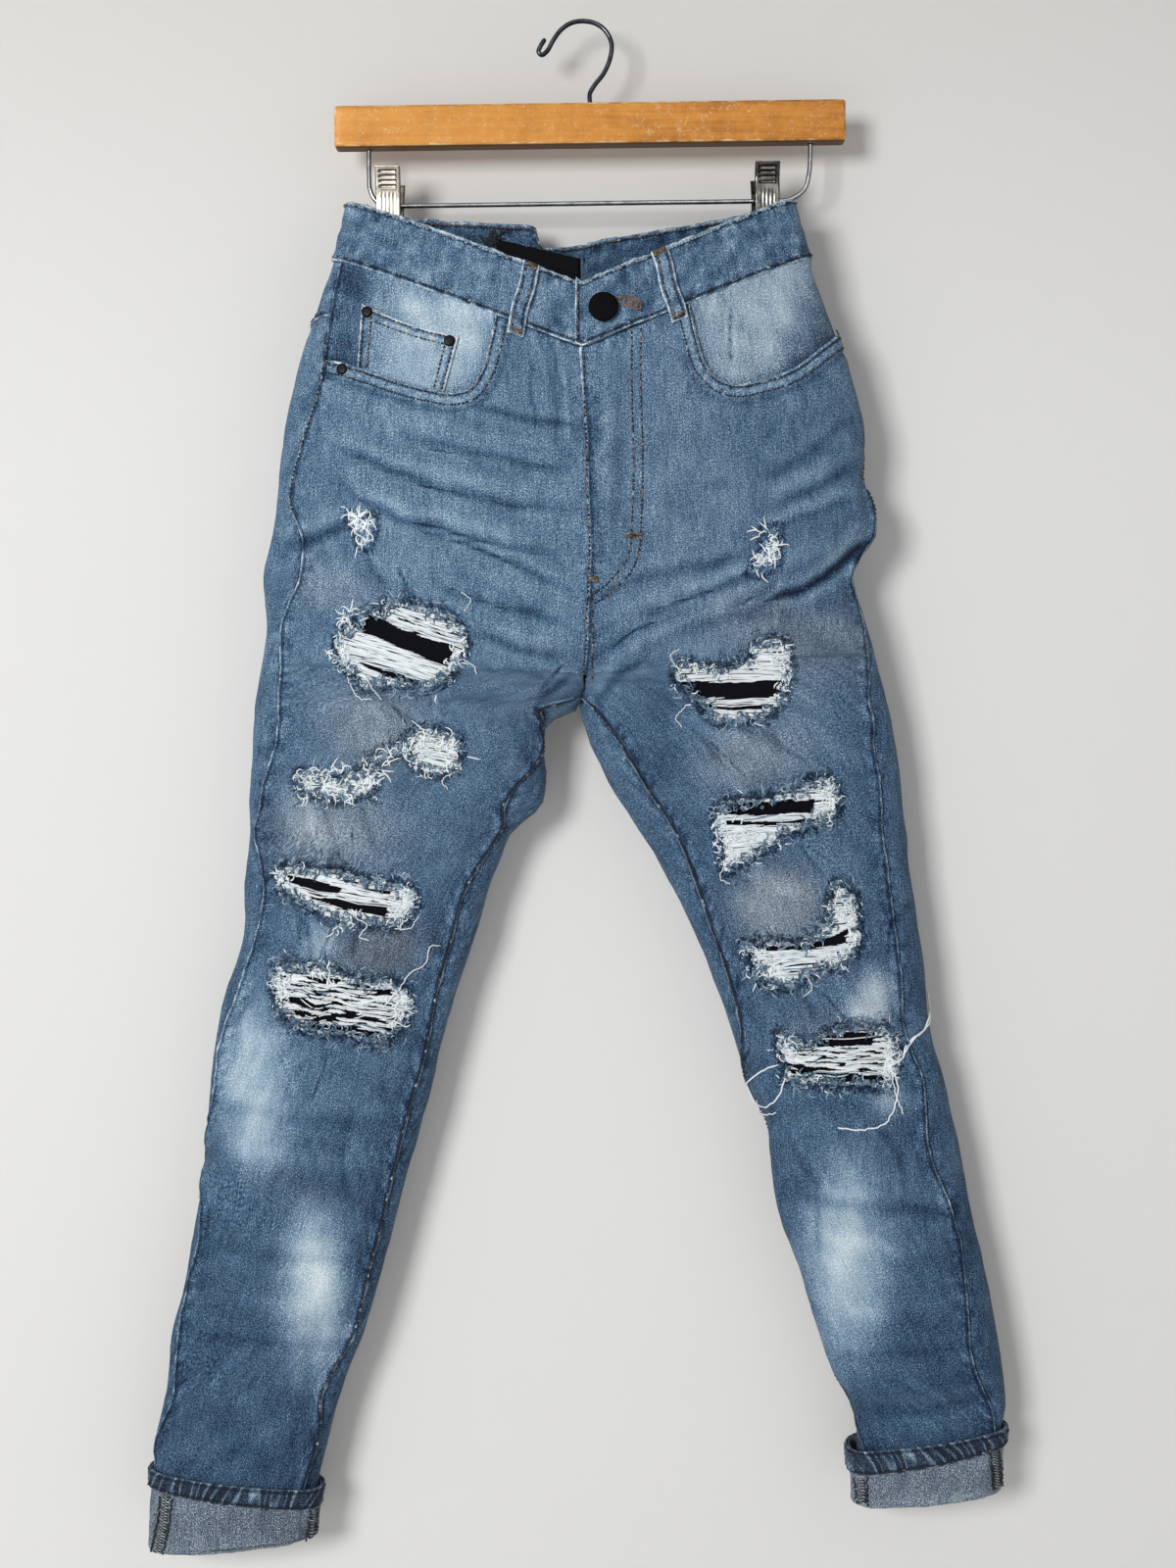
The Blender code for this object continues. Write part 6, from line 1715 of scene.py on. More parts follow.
def curls(half, spots, headings, length, lift, turn_rate=0.9, steps=5, behind=False):
    """Short curly fibres: each walks from its spot, its heading turning by a random rate."""
    count = len(spots)
    stride = length / (steps - 1)
    rate = rng.normal(0, turn_rate, (count, 1)) + rng.normal(0, 0.25, (count, steps))
    angle = headings[:, None] + np.cumsum(rate, axis=1)
    stride = np.broadcast_to(stride, (count,))[:, None]
    x = spots[:, :1] + np.cumsum(np.cos(angle) * stride, axis=1)
    z = spots[:, 1:] + np.cumsum(np.sin(angle) * stride, axis=1)
    up = lift + np.abs(rng.normal(0, 0.7, (count, 1))) * np.linspace(0.2, 1, steps)
    up = up + rng.normal(0, 0.12, x.shape)
    return half.on(x, z, up * (-1 if behind else 1), behind)


def along_outline(outline, count):
    """Random places on a closed outline and the direction out of it there."""
    line = np.array(outline + outline[:1], dtype=float)
    reach = running_length(line)
    at = rng.uniform(0, reach[-1], count)
    spot = read_along(at, reach, line)
    way = read_along((at + 2) % reach[-1], reach, line) - spot
    area = np.sum(line[:-1, 0] * line[1:, 1] - line[1:, 0] * line[:-1, 1])
    return spot, unit(np.stack([way[:, 1], -way[:, 0]], axis=-1) * np.sign(area))


SPAN_LAYERS = ((0.82, 0.0, 0.6), (0.78, 0.4, 0.0))      # spacing, shift, lift
CURLS_PER_MM, STEEP = 3.3, 0.55     # curls round a tear; the rim is steep where warp ends stand
FUZZ = 44                           # curls of white fuzz inside the sides of each tear


def rim_curls(half, outline):
    """The curled ends round one tear: blue warp above and below, mixed at the sides."""
    length = running_length(np.array(outline, float))[-1]
    count = int(length * CURLS_PER_MM)
    spot, out = along_outline(outline, count)
    steep = np.abs(out[:, 1]) > STEEP
    spot = spot + out * rng.uniform(-1.4, 1.2, (count, 1))
    spot = spot + out * steep[:, None] * rng.uniform(-4.2, 4.6, (count, 1))
    heading = np.arctan2(out[:, 1], out[:, 0]) + rng.normal(0, 1.1, count)
    paths = curls(half, spot, heading, rng.uniform(2.8, 5.5, count) + 2.2 * steep, 1.2, 1.25)
    blue = np.where(rng.random(count) < 0.6, rng.uniform(0.80, 1.0, count), rng.uniform(0.52, 0.70, count))
    pale = np.clip(rng.normal(0.20, 0.2, count), 0, 1)
    tints = np.where(rng.random(count) < np.where(steep, 0.97, 0.66), blue, pale)
    side = np.flatnonzero(~steep)[:FUZZ]
    inward = spot[side] - out[side] * rng.uniform(1, 7, (len(side), 1))
    fuzz = curls(half, inward, rng.uniform(0, 6.3, len(side)), 5.0, 1.2, 0.9)
    return [paths, fuzz], [tints, np.abs(rng.normal(0.06, 0.08, len(side)))]


def tear_yarn(name):
    """All yarn of one half's tears: paths and tints of the spans, then of the curls."""
    half = HALVES[name]
    span_paths, span_tints, curl_paths, curl_tints = [], [], [], []
    for tear in tears_of(name).values():
        for spacing, shift, lift in SPAN_LAYERS:
            paths = spans(tear, half, spacing, shift, lift)
            span_paths.append(paths)
            tint = np.abs(rng.normal(0.08, 0.10, len(paths)))
            span_tints.append(np.where(rng.random(len(paths)) < 0.04, 0.62, tint))
        paths, tints = rim_curls(half, tear["outline"])
        curl_paths += paths
        curl_tints += tints
    return [np.concatenate(made) for made in (span_paths, span_tints, curl_paths, curl_tints)]


def blob(half, places, count, length, lift=1.3, rate=0.6):
    """A tangle of white curls spread over short lines of x, z points, each with a half width."""
    spots = []
    total = sum(len(curve(line, 0.5)) for line, _ in places)
    for line, width in places:
        path = curve(line, 0.5)
        pick = rng.integers(0, len(path), int(count * len(path) / total))
        spots.append(path[pick] + rng.normal(0, 0.45, (len(pick), 2)) * width)
    spots = np.concatenate(spots)
    return curls(half, spots, rng.uniform(0, 6.3, len(spots)), length, lift, rate)


# tangles of loose white yarn: lines in the front view with their half widths, and how many curls
TANGLES = {
    "right": [([[(-114, -500), (-98, -494), (-88, -502), (-90, -513)], 9],
               [[(-104, -516), (-92, -516)], 4]),
              ([[(-190, -519), (-172, -522), (-158, -517), (-146, -518), (-130, -508),
                 (-118, -500)], 3.5],
               [[(-188, -530), (-170, -532), (-150, -530)], 4.5], [[(-176, -524), (-160, -526)], 5]),
              ([[(-158, -408), (-156, -414), (-160, -418)], 3.5], [[(-166, -436), (-158, -448)], 4]),
              ([[(-122, -600), (-120, -612), (-130, -617)], 5], [[(-204, -584), (-198, -594)], 4],
               [[(-156, -617), (-166, -622)], 4]),
              ([[(-126, -664), (-124, -676), (-128, -688)], 6], [[(-204, -656), (-204, -670)], 5],
               [[(-184, -650), (-170, -655)], 4]),
              ([[(-158, -346), (-144, -347)], 2.5], [[(-150, -350), (-147, -364)], 3.5])],
    "left": [([[(126, -430), (131, -436), (133, -446)], 5], [[(66, -448), (80, -449), (96, -450)], 4]),
             ([[(160, -524), (166, -534), (164, -546)], 5], [[(98, -556), (116, -560)], 5],
              [[(94, -560), (98, -580)], 3.5]),
             ([[(170, -598), (178, -606), (180, -622)], 6], [[(118, -638), (116, -652)], 5],
              [[(120, -642), (134, -660)], 4], [[(160, -642), (174, -642)], 4]),
             ([[(136, -700), (142, -708)], 5], [[(206, -698), (208, -712), (204, -726)], 5]),
             ([[(122, -356), (126, -366), (118, -380)], 4.5],)],
}
# long stray threads: x, z points, radius, how far they stand off
STRAYS = {
    "right": [([(-136, -676), (-126, -664), (-118, -652), (-108, -646), (-104, -634), (-98, -634)],
               0.42, 2.0),
              ([(-150, -609), (-154, -614), (-146, -620), (-151, -628), (-145, -630)], 0.40, 2.2),
              ([(-112, -614), (-118, -622), (-128, -622)], 0.35, 2.0),
              ([(-88, -516), (-96, -523), (-92, -528)], 0.35, 2.2),
              ([(-160, -452), (-150, -466), (-142, -468)], 0.35, 2.0),
              ([(-152, -446), (-140, -462), (-136, -468)], 0.35, 2.0),
              ([(-82, -440), (-74, -446), (-72, -452)], 0.35, 2.0),
              ([(-80, -410), (-76, -402), (-82, -396)], 0.3, 2.0)],
    "left": [([(206, -716), (214, -712), (219, -700), (228, -694), (234, -684), (239, -674),
               (236, -668)], 0.7, 2.4),
             ([(205, -718), (216, -708), (222, -698), (232, -690), (236, -680)], 0.55, 2.8),
             ([(207, -716), (212, -728), (210, -742), (203, -754), (190, -758), (172, -757)], 0.6, 2.2),
             ([(208, -714), (209, -730), (213, -742), (216, -748)], 0.45, 2.4),
             ([(134, -714), (122, -720), (114, -730), (117, -742), (126, -744), (134, -734),
               (137, -724)], 0.6, 2.2),
             ([(118, -742), (124, -750), (132, -748)], 0.45, 2.0),
             ([(96, -577), (93, -588), (99, -592)], 0.35, 2.0),
             ([(150, -654), (154, -662), (149, -668)], 0.35, 2.0),
             ([(62, -446), (58, -438), (64, -434)], 0.3, 2.0),
             ([(68, -472), (62, -480), (66, -486)], 0.35, 2.0)],
}


def stray_paths(half, strays, steps=26):
    """Long threads with a fine wobble, all read at the same number of places."""
    paths, radii = [], []
    for line, radius, lift in strays:
        path = curve(line, 0.5)
        line = read_along(np.linspace(0, len(path) - 1, steps), np.arange(len(path)), path)
        line[1:-1] += rng.normal(0, 0.35, (steps - 2, 2))
        height = lift * np.sin(np.linspace(0.25, 2.4, steps)) + 1.0
        paths.append(half.on(line[:, 0], line[:, 1], height))
        radii.append(np.full(steps, radius))
    return np.array(paths), np.array(radii)


SPAN_TAPER = np.array([0.24] + [0.40] * (SPAN_POINTS - 2) + [0.24])
CURL_TAPER = np.array([0.44, 0.55, 0.52, 0.44, 0.20])
for name, half in HALVES.items():
    span_paths, span_tints, curl_paths, curl_tints = tear_yarn(name)
    dress(tubes(f"threads_spans_{name}", span_paths, SPAN_TAPER, span_tints), YARN, "threads_white")
    tangles = [blob(half, places, 50 if len(places) < 3 else 92, rng.uniform(5, 10))
               for places in TANGLES[name]]
    curl_paths = np.concatenate([curl_paths] + tangles)
    curl_tints = np.concatenate([curl_tints] + [np.abs(rng.normal(0.05, 0.07, len(t))) for t in tangles])
    dress(tubes(f"threads_curls_{name}", curl_paths, CURL_TAPER, curl_tints), YARN, "threads_white")
    stray, radii = stray_paths(half, STRAYS[name])
    dress(tubes(f"threads_strays_{name}", stray, radii, 0.06), YARN, "threads_white")
    print(f"{name}: {len(span_paths)} spans, {len(curl_paths)} curls, {len(stray)} strays")

# %% [markdown]
# ## Waistband
#
# One long folded strip goes all round: its right end lies under, its left end laps over with the
# buttonhole and the button. Its section is a flat loop with a rounded top fold, swept along the
# waist line. Where the clips pull it up behind, the strip has buckled into an S at the centre back.

# %% The waistband's loop
BAND = 2.4
BAND_HEIGHT = 41.0
OVERLAP_LIFT = 2.8
# share of the height from the top, share of the thickness from the inner face; outer face first
BAND_LOOP = np.array(
    [(1.0, .90), (.985, 1.0)] + [(s, 1.0) for s in np.linspace(.95, .05, 13)] +
    [(.022, .93), (.006, .74), (0, .5), (.006, .26), (.022, .07)] +
    [(s, 0.0) for s in np.linspace(.05, .95, 13)] + [(.985, 0.0), (1.0, .10)])
OUTER_FACE = BAND_LOOP[:, 1:] > 0.5


def band_columns():
    """The strip's columns from its under to its over end: half, turn and lift of each."""
    def front(half, count):
        return np.linspace(0, half.outseam(half.waist), count)

    def behind(half, count):
        return np.linspace(half.outseam(half.waist), 1, count)

    left_front = front(LEFT, 110)[::-1]
    x = LEFT.lifted(LEFT.waist - 20, left_front, 0)[..., 0]
    rise = (1 - ramp(33, 42, x)) * OVERLAP_LIFT
    return [(LEFT, LEFT.turn_at(np.linspace(30, 3, 8), LEFT.waist), np.zeros(8)),
            (RIGHT, front(RIGHT, 96)[1:], np.zeros(95)), (RIGHT, behind(RIGHT, 90)[1:], np.zeros(89)),
            (LEFT, behind(LEFT, 90)[::-1], np.zeros(90)), (LEFT, left_front[1:], rise[1:]),
            (RIGHT, RIGHT.turn_at(np.array([-1.5, -3.0, -4.4, -5.5, -6.0]), RIGHT.waist),
             np.full(5, OVERLAP_LIFT))]


def band_point(half, turn, share, lift):
    """Points of the waistband at a share of its height from the top."""
    points = half.lifted(half.top + (half.waist - half.top) * share, turn, lift)
    x = points[..., 0]
    behind = (turn > 0.5) & (np.abs(x) < 125)
    up = 6.5 * ramp(-125, -40, x) * (1 - ramp(-34, -30, x))
    buckle = up - 6.0 * ramp(-34, -29, x) * (1 - ramp(-26, 14, x))
    points[..., 2] += behind * buckle * (1 - share) ** 0.8
    points[..., 1] += behind * (-3.2 * bell(x + 38, 7) + 2.2 * bell(x + 27, 5)) * (1 - share)
    return points


def closed_strip(rows, columns):
    """Quads of a grid whose last row joins its first, closed at both ends of the strip."""
    join, last = np.arange(columns), (rows - 1) * columns
    seam = np.stack([last + join[:-1], last + join[1:], join[1:], join[:-1]], -1)
    quads = [grid_quads(rows, columns), seam]
    # row i of the outer face to the matching row of the inner one
    row = np.arange(rows // 2)
    mate = rows - 1 - row
    for column, way in ((0, -1), (columns - 1, 1)):
        cap = np.stack([row[:-1], mate[:-1], mate[1:], row[1:]], axis=-1) * columns + column
        quads.append(cap[:, ::way])
    return np.concatenate(quads)


strip = np.concatenate([
    band_point(half, turn[None], BAND_LOOP[:, :1] + 0 * turn, BAND_LOOP[:, 1:] * BAND + lift)
    for half, turn, lift in band_columns()], axis=1)
loop_rows, strip_columns = strip.shape[:2]
across = running_length(strip, 1)[loop_rows // 4][None]
below = BAND_LOOP[:, :1] * BAND_HEIGHT
bumps = 0.40 * ripple(across, below * 1.3, 24, 60) + 0.34 * ripple(across, below * 1.4, 10, 61)
bumps = bumps + 0.48 * np.abs(ripple(across + 1.5 * below, (across - below) * 0.3, 12, 66)) - 0.2
bumps = bumps + 0.30 * (bell(below - 38, 4) + bell(below - 3, 4)) * ripple(across, below * .4, 9, 62)
out = unit(np.cross(np.gradient(strip, axis=0), np.gradient(strip, axis=1)))
strip += out * (bumps * np.where(OUTER_FACE, 1, 0.6))[..., None]
x = strip[..., 0]
wash = 0.41 + 0.04 * ripple(across, below, 34, 63) + 0 * x
wash += 0.06 * bell(x + 60, 60) + 0.15 * bumps
wash += 0.045 * ripple(across + 0.9 * below, below * 0.6, 9, 67)
wash += 0.09 * bell(below - 5, 5) * ripple(across, below, 11, 64)
wash += 0.10 * bell(below - 39, 4) * ripple(across, below, 9, 65)
to_edge = np.minimum(below - 0.6, BAND_HEIGHT + 0.6 - below)
to_end = np.minimum(across, across[:, -1:] - across) + 0 * below
marks = {"wash": np.where(OUTER_FACE, wash, wash - 0.17), "grey": np.zeros(x.shape),
         "rip": np.full(x.shape, FAR), "crease": np.full(x.shape, FAR),
         "edge": np.minimum(to_edge, to_end + 0.4)}
INNER_SHIFT = 60        # parts the inner face's weave from the outer one's
cloth = np.stack(np.broadcast_arrays(across, -below - np.where(OUTER_FACE, 0, INNER_SHIFT)), axis=-1)
band = make_object("shell_waistband", strip.reshape(-1, 3),
                   closed_strip(loop_rows, strip_columns)[:, ::-1], marks, cloth.reshape(-1, 2))
dress(band, DENIM_FINISH, "denim", "waistband")


# %% Stitches of the waistband, and the buttonhole
def band_row(half, turn, share, lift, inside=False):
    """Points and normals along the waistband, for its stitches."""
    near = band_point(half, turn, share, lift)
    far = band_point(half, turn, share, lift + 1.0)
    way = near - far if inside else far - near
    return near + way * 0.35, way


for half, turn, lift in band_columns()[1:]:
    for share, light in ((0.065, 0.62), (0.94, 0.05)):
        stitch("waist", band_row(half, turn, share, lift + BAND), 2.4, 1.9, tan=0.1, light=light)
        if (turn > 0.5).any():
            stitch("waist", band_row(half, turn, share, lift, inside=True), proud=0.5, tan=0.8)
# down the end of the overlap
share, turn = np.linspace(0.06, 0.94, 20), np.full(20, float(RIGHT.turn_at(-4.0, RIGHT.waist)))
stitch("waist", band_row(RIGHT, turn, share, OVERLAP_LIFT + BAND), tan=0.3)
# the buttonhole: loose tan loops, rings of different size beside the button
for reach_x, reach_z, shift in ((6.0, 3.6, 0), (4.2, 2.2, 2), (7.0, 2.6, -1), (3.0, 3.4, 5)):
    angle = np.linspace(0, 2 * math.pi, 40)
    x = 30 + shift + reach_x * np.cos(angle) + 0.5 * np.sin(5 * angle + shift)
    z = -204 + reach_z * np.sin(angle) + 0.4 * np.cos(4 * angle + shift) - 0.3 * (x - 30)
    ring = LEFT.on(x, z, OVERLAP_LIFT + BAND + 0.5)
    stitch("waist", (ring, np.broadcast_to([0, -1.0, 0], ring.shape)), 2.3, 2.7, 0.5, 1.0)

# %% [markdown]
# ## Belt loops, label, button and rivets
#
# A belt loop is a narrow strip with both edges folded in, bar-tacked to the waistband at the top
# and to the trousers at the bottom, and it stands off in between. The button and the rivets are
# turned parts: a profile spun about an axis, then set on the cloth along its normal.

# %% Belt loops
# name, half, x of the top and of the bottom end, whether it is behind
BELT_LOOPS = [
    ("belt_loop_front_right", RIGHT, -35, -46, False), ("belt_loop_front_left", LEFT, 50, 64, False),
    ("belt_loop_back_right", RIGHT, -104, -112, True), ("belt_loop_back_left", LEFT, 96, 104, True),
    ("belt_loop_back_centre", LEFT, 6.6, 6.6, True)]
LOOP_WIDTH, LOOP_TAIL, TRIM = 11.0, 9.0, 1.0
LOOP_GRID = (56, 15)
# share of the length, how far it stands off
LOOP_SHAPE = np.array([(0.0, 2.8), (0.06, 3.3), (0.15, 4.0), (0.5, 4.7), (0.80, 3.9), (0.86, 3.3),
                       (0.93, 2.5), (1.0, 2.0)])

for number, (name, half, top_x, bottom_x, behind) in enumerate(BELT_LOOPS):
    share = np.linspace(0, 1, LOOP_GRID[0])[:, None]
    bow = np.sin(share * math.pi)
    lift = np.interp(share, LOOP_SHAPE[:, 0], LOOP_SHAPE[:, 1]) + TRIM
    across = np.linspace(-0.5, 0.5, LOOP_GRID[1]) * LOOP_WIDTH
    down = half.top + 0.3 + (half.waist + LOOP_TAIL - half.top) * share + 0 * across
    twist = 0.10 * bow * across * (1 if number % 2 else -1)
    sway = 0.8 * np.sin(share * 7 + number) * bow
    x = top_x + (bottom_x - top_x) * share + sway + across * half.side
    points = half.lifted(down, half.turn_at(x, down, behind), lift + twist)
    if behind:
        # the strip crosses the buckled band with it
        points[..., 2] += 3.0 * (1 - share) * bell(points[..., 0] + 90, 40)
        points = points[:, ::-1]
    panel = Panel(points, half.side)
    sides = np.minimum(panel.across, panel.width - panel.across)
    panel.raise_by(0.35 * ramp(0, 1.6, sides) - 0.25 * ramp(2.5, 4.5, sides)
                   + 0.18 * panel.uneven(9, 70 + number))
    panel.marks["wash"] = 0.50 + 0.10 * panel.uneven(9, 75 + number, across=0.5) + 0.10 * bell(sides, 2.0)
    panel.add_edge(sides + 0.25)
    panel.add_edge(panel.along[-1:] - panel.along)
    panel.sew(name, DENIM_FINISH, thickness=TRIM)
    for column in (3.4, 10.6):
        stitch("waist", sample(panel, np.linspace(1.5, 53, 50), column), tan=0.2)
    for start in (1.2, 50.0):
        for row in np.linspace(start, start + 2.6, 4):
            tack = sample(panel, row, np.linspace(1.5, 12.5, 12), 0.2)
            stitch("waist", tack, pitch=2.2, length=2.6, proud=0.45, tan=0.6)

# %% Label inside the back of the waistband
LABEL = ((-3, -160), (-61, -147), (-3, -174), (-61, -167))
FRAYS = 26              # black threads at its corner, pointing up and outwards

x, z = patch_grid(LABEL, 14, 34)
panel = Panel(RIGHT.on(x, z, -0.4, behind=True)[:, ::-1], RIGHT.side)
panel.raise_by(-0.2 - 0.35 * np.abs(panel.uneven(14, 76)) * ramp(0, 12, panel.along))
panel.sew("waist_label", LABEL_FINISH, "label_black", thickness=TRIM)
root = np.array([-59.0, -150.0]) + rng.normal(0, 2.2, (FRAYS, 2))
heading = rng.uniform(1.2, 3.4, FRAYS)
fray = curls(RIGHT, root, heading, rng.uniform(4, 10, FRAYS), 0.6, 0.25, 4, behind=True)
stitch_rows["waist"].append((fray, np.zeros(FRAYS)))


# %% Button and rivets
def turned_on(name, profile, sides, half, x, z, lift):
    """A turned part on the cloth: rings of (radius, height) about the surface normal there."""
    down, turn = half.locate(np.array([x]), np.array([z]))
    foot = half.lifted(down, turn, lift)[0]
    axis = unit(half.lifted(down, turn, lift + 1.0)[0] - foot)
    first = unit(np.cross(axis, [0, 0, 1.0]))
    ring = circles(first, np.cross(first, axis), sides)
    points = [foot + radius * ring + height * axis for radius, height in profile]
    points.append(np.array([foot + profile[end][1] * axis for end in (0, -1)]))
    return make_object(name, np.concatenate(points), spun_quads(len(profile), sides)[:, ::-1])


# radius, height
BUTTON_PROFILE = [(3, 4.5), (8.6, 4.5), (9.1, 4.46), (9.5, 4.34), (9.8, 4.05), (9.95, 3.7), (10.0, 3.3),
                  (9.8, 2.7), (9.3, 2.3), (8.6, 2.1), (4.4, 1.9), (4.2, 1.7), (4.2, 0.1), (4.1, 0)]
RIVET_PROFILE = [(1.2, 1.7), (2.9, 1.66), (3.3, 1.5), (3.6, 1.15), (3.8, 0.7), (3.8, 0.0), (3.6, -0.4)]
RIVETS = [(-162, -246, 2.5), (-146, -207, 0.3), (-90, -228, 0.3)]      # x, z, lift
button = turned_on("shell_waist_button", BUTTON_PROFILE, 64, LEFT, 13, -208, OVERLAP_LIFT + BAND + 0.35)
dress(button, BUTTON_FINISH, "button_black", "waist_button")
for number, place in enumerate(RIVETS, start=1):
    rivet = turned_on(f"shell_rivet_{number}", RIVET_PROFILE, 32, RIGHT, *place)
    dress(rivet, RIVET_FINISH, "rivet_dark", f"rivet_{number}")

# %% [markdown]
# ## Cuffs
#
# The legs are turned up once, so the cuff shows the reverse of the denim: mostly pale weft, grey
# and speckled. The stitched hem, which was turned under before, now lies on the outside at the
# cuff's top as a dark, ropy band, and the serged seam allowances run down the cuff.

# %% Cuffs
CUFF_OUT = 3.6          # lift of the cuff's outer face
CUFF_COLUMNS, HEM_COLUMNS = 170, 400
CUFF_WASH = {"right": 0.52, "left": 0.56}
# below the leg's end, lift of the outer face: round the fold
FOLD = [(-2.0, 3.6), (-0.9, 3.45), (0.1, 3.0), (0.7, 2.2), (1.0, 1.2), (0.9, 0.3)]


def cuff_places(half, rows, count):
    """(down, turn) all round a leg, starting and ending at the inseam."""
    down = np.asarray(rows)[:, None]
    inner, outer = half.inseam(down), half.outseam(down)
    front = inner + (outer - inner) * np.linspace(0, 1, count // 2, endpoint=False)
    back = outer + (1 + inner - outer) * np.linspace(0, 1, count // 2, endpoint=False)
    turn = np.concatenate([front, back], axis=1)
    return np.broadcast_to(down, turn.shape), turn


def stand_off(half, x, below):
    """How much further the cuff stands off the leg: a gape at one side, waves elsewhere."""
    gape = 5.5 * bell(x - 191, 10) if half.side > 0 else 1.5 * bell(x + 190, 14)
    return gape * (1 - 0.7 * ramp(0, 40, below)) + 0.5 * np.abs(ripple(x, below * 0, 38, 110))


def stood_off(half, down, turn, lift):
    """Points at a lift plus the cuff's stand-off there, and that stand-off."""
    plain = half.lifted(down, turn, CUFF_OUT)
    extra = stand_off(half, plain[..., 0], down - half.cuff)
    return half.lifted(down, turn, lift + extra), extra


def cuff_panel(name, half):
    """The turned-up cuff down to its fold, and round the fold to the leg's inner face."""
    down, turn = cuff_places(half, np.linspace(half.cuff, half.bottom - 2.2, 20), CUFF_COLUMNS)
    body, extra = stood_off(half, down, turn, CUFF_OUT)
    end_down, end_turn = cuff_places(half, [half.bottom], CUFF_COLUMNS)
    rings = [body]
    for drop, lift in FOLD:
        ring = half.lifted(end_down, end_turn, lift + extra[-1:] * (lift / CUFF_OUT) ** 0.7)
        ring[..., 2] -= drop
        rings.append(ring)
    panel = Panel(np.concatenate(rings), half.side)
    bumps = 0.2 + 0.35 * panel.uneven(30, 111) + 0.15 * panel.uneven(9, 112)
    panel.raise_by(bumps * ramp(0, 6, panel.across) * ramp(0, 6, panel.width - panel.across))
    wash = CUFF_WASH[name] + 0.05 * panel.uneven(24, 113)
    panel.marks["wash"] = wash + 0.10 * bell(panel.along[-1:] - 6 - panel.along, 3)
    return panel


# %% Hem bands
HEM_HEIGHT, HEM_OUT, ROPE_PITCH = 12, 1.6, 7.2


def hem_panel(half):
    """The hem's band: narrow pale ridges, leaning now one way and now the other."""
    down, turn = cuff_places(half, np.linspace(half.cuff - 0.5, half.cuff + HEM_HEIGHT, 9), HEM_COLUMNS)
    panel = Panel(stood_off(half, down, turn, CUFF_OUT + HEM_OUT)[0], half.side)
    edges = np.minimum(panel.along, panel.along[-1:] - panel.along)
    lean = 0.35 * panel.uneven(60, 116, along=0)
    phase = (panel.across - lean * panel.along) / ROPE_PITCH + 0.35 * panel.uneven(16, 114, along=0.1)
    rope = 1.9 * bell(np.sin(math.pi * phase), 0.42) - 0.6
    height = 0.45 + 0.7 * rope * ramp(0, 2, edges) - 0.4 * (1 - ramp(0, 1.6, edges))
    panel.raise_by(height * ramp(0, 5, np.minimum(panel.across, panel.width - panel.across)))
    panel.marks["wash"] = 0.13 + 0.26 * rope + 0.04 * panel.uneven(40, 115)
    panel.add_edge(edges + 0.5)
    return panel


for name, half in HALVES.items():
    cuff_panel(name, half).sew(f"cuff_{name}", REVERSE_FINISH, "denim_reverse", wrap=True)
    hem = hem_panel(half)
    hem.sew(f"hem_{name}", HEM_FINISH, "denim_dark", wrap=True)
    stitch("cuff", sample(hem, 6.8, np.linspace(1, 198, 200)), tan=0.04, light=0.02)

# %% Serged seam allowances: zigzag stitches down the cuff
# half, line down the cuff, half width
SERGED = [(RIGHT, [(-282, -1010), (-284, -1028), (-288, -1047)], 4.2),
          (RIGHT, [(-189, -1020), (-190, -1030), (-191, -1039)], 2.6),
          (LEFT, [(277, -979), (278, -990), (279, -1004)], 3.4),
          (LEFT, [(194.5, -994), (194.5, -1004), (194.5, -1014)], 2.4)]
SERGING = ((-1.3, 0.9), (1.3, 0.0), (0.2, 0.0))         # tilt and tint of the loops
for half, line, wide in SERGED:
    path = curve(line, 1.9)
    x, z = path.T
    lift = CUFF_OUT + 0.5 + stand_off(half, x, z * 0 + 20.0)
    # loops that cross the edge, light over dark, and a chain down each side
    for tilt, tint in SERGING:
        away = np.stack([x * 0 + wide * 0.7, x * 0 + tilt], axis=-1) * rng.uniform(0.7, 1.1, (len(x), 1))
        tints = np.clip(rng.normal(tint, 0.08, len(x)), 0, 1)
        cross_stitches("cuff", half, np.stack([path - away, path + away], axis=1), lift, tints, 0.45)
    for side in (-1, 1):
        beside = path + np.array([side * wide * 0.95, 0]) + rng.normal(0, 0.25, path.shape)
        ahead = beside + np.stack([x * 0 + 0.7 * np.sin(z * 2.1), x * 0 - 1.9], axis=-1)
        cross_stitches("cuff", half, np.stack([beside, ahead], axis=1), lift + 0.1, x * 0, 0.62)

# %% [markdown]
# ## The hanger
#
# A beech bar with a varnish coat, a hook of plated wire, and a lighter wire bent into a trapeze
# that carries two spring clips. The wires are tubes along smooth paths. A clip is two plates of
# pressed sheet: from the side each runs in from its finger grip to the wire and down to its jaw,
# and its edges are folded back as flanges to stiffen it.

# %% Bar
BAR_CENTRE = np.array([4.05, 0.0, -70.55])
BAR_ROUNDING, CUBE_STEPS = 2.8, 26


def unit_cube(steps):
    """Points of a cube from -1 to 1 with a grid on every side, and its quads."""
    spread = np.linspace(-1, 1, steps)
    u, v = np.meshgrid(spread, spread, indexing="ij")
    faces, points = [], []
    for axis in range(3):
        for sign in (-1, 1):
            cube = np.empty((steps, steps, 3))
            cube[..., axis] = sign
            cube[..., (axis + 1) % 3] = u
            cube[..., (axis + 2) % 3] = v
            faces.append((grid_quads(steps, steps) + len(points) * steps * steps)[:, ::sign])
            points.append(cube.reshape(-1, 3))
    return np.concatenate(points), np.concatenate(faces)


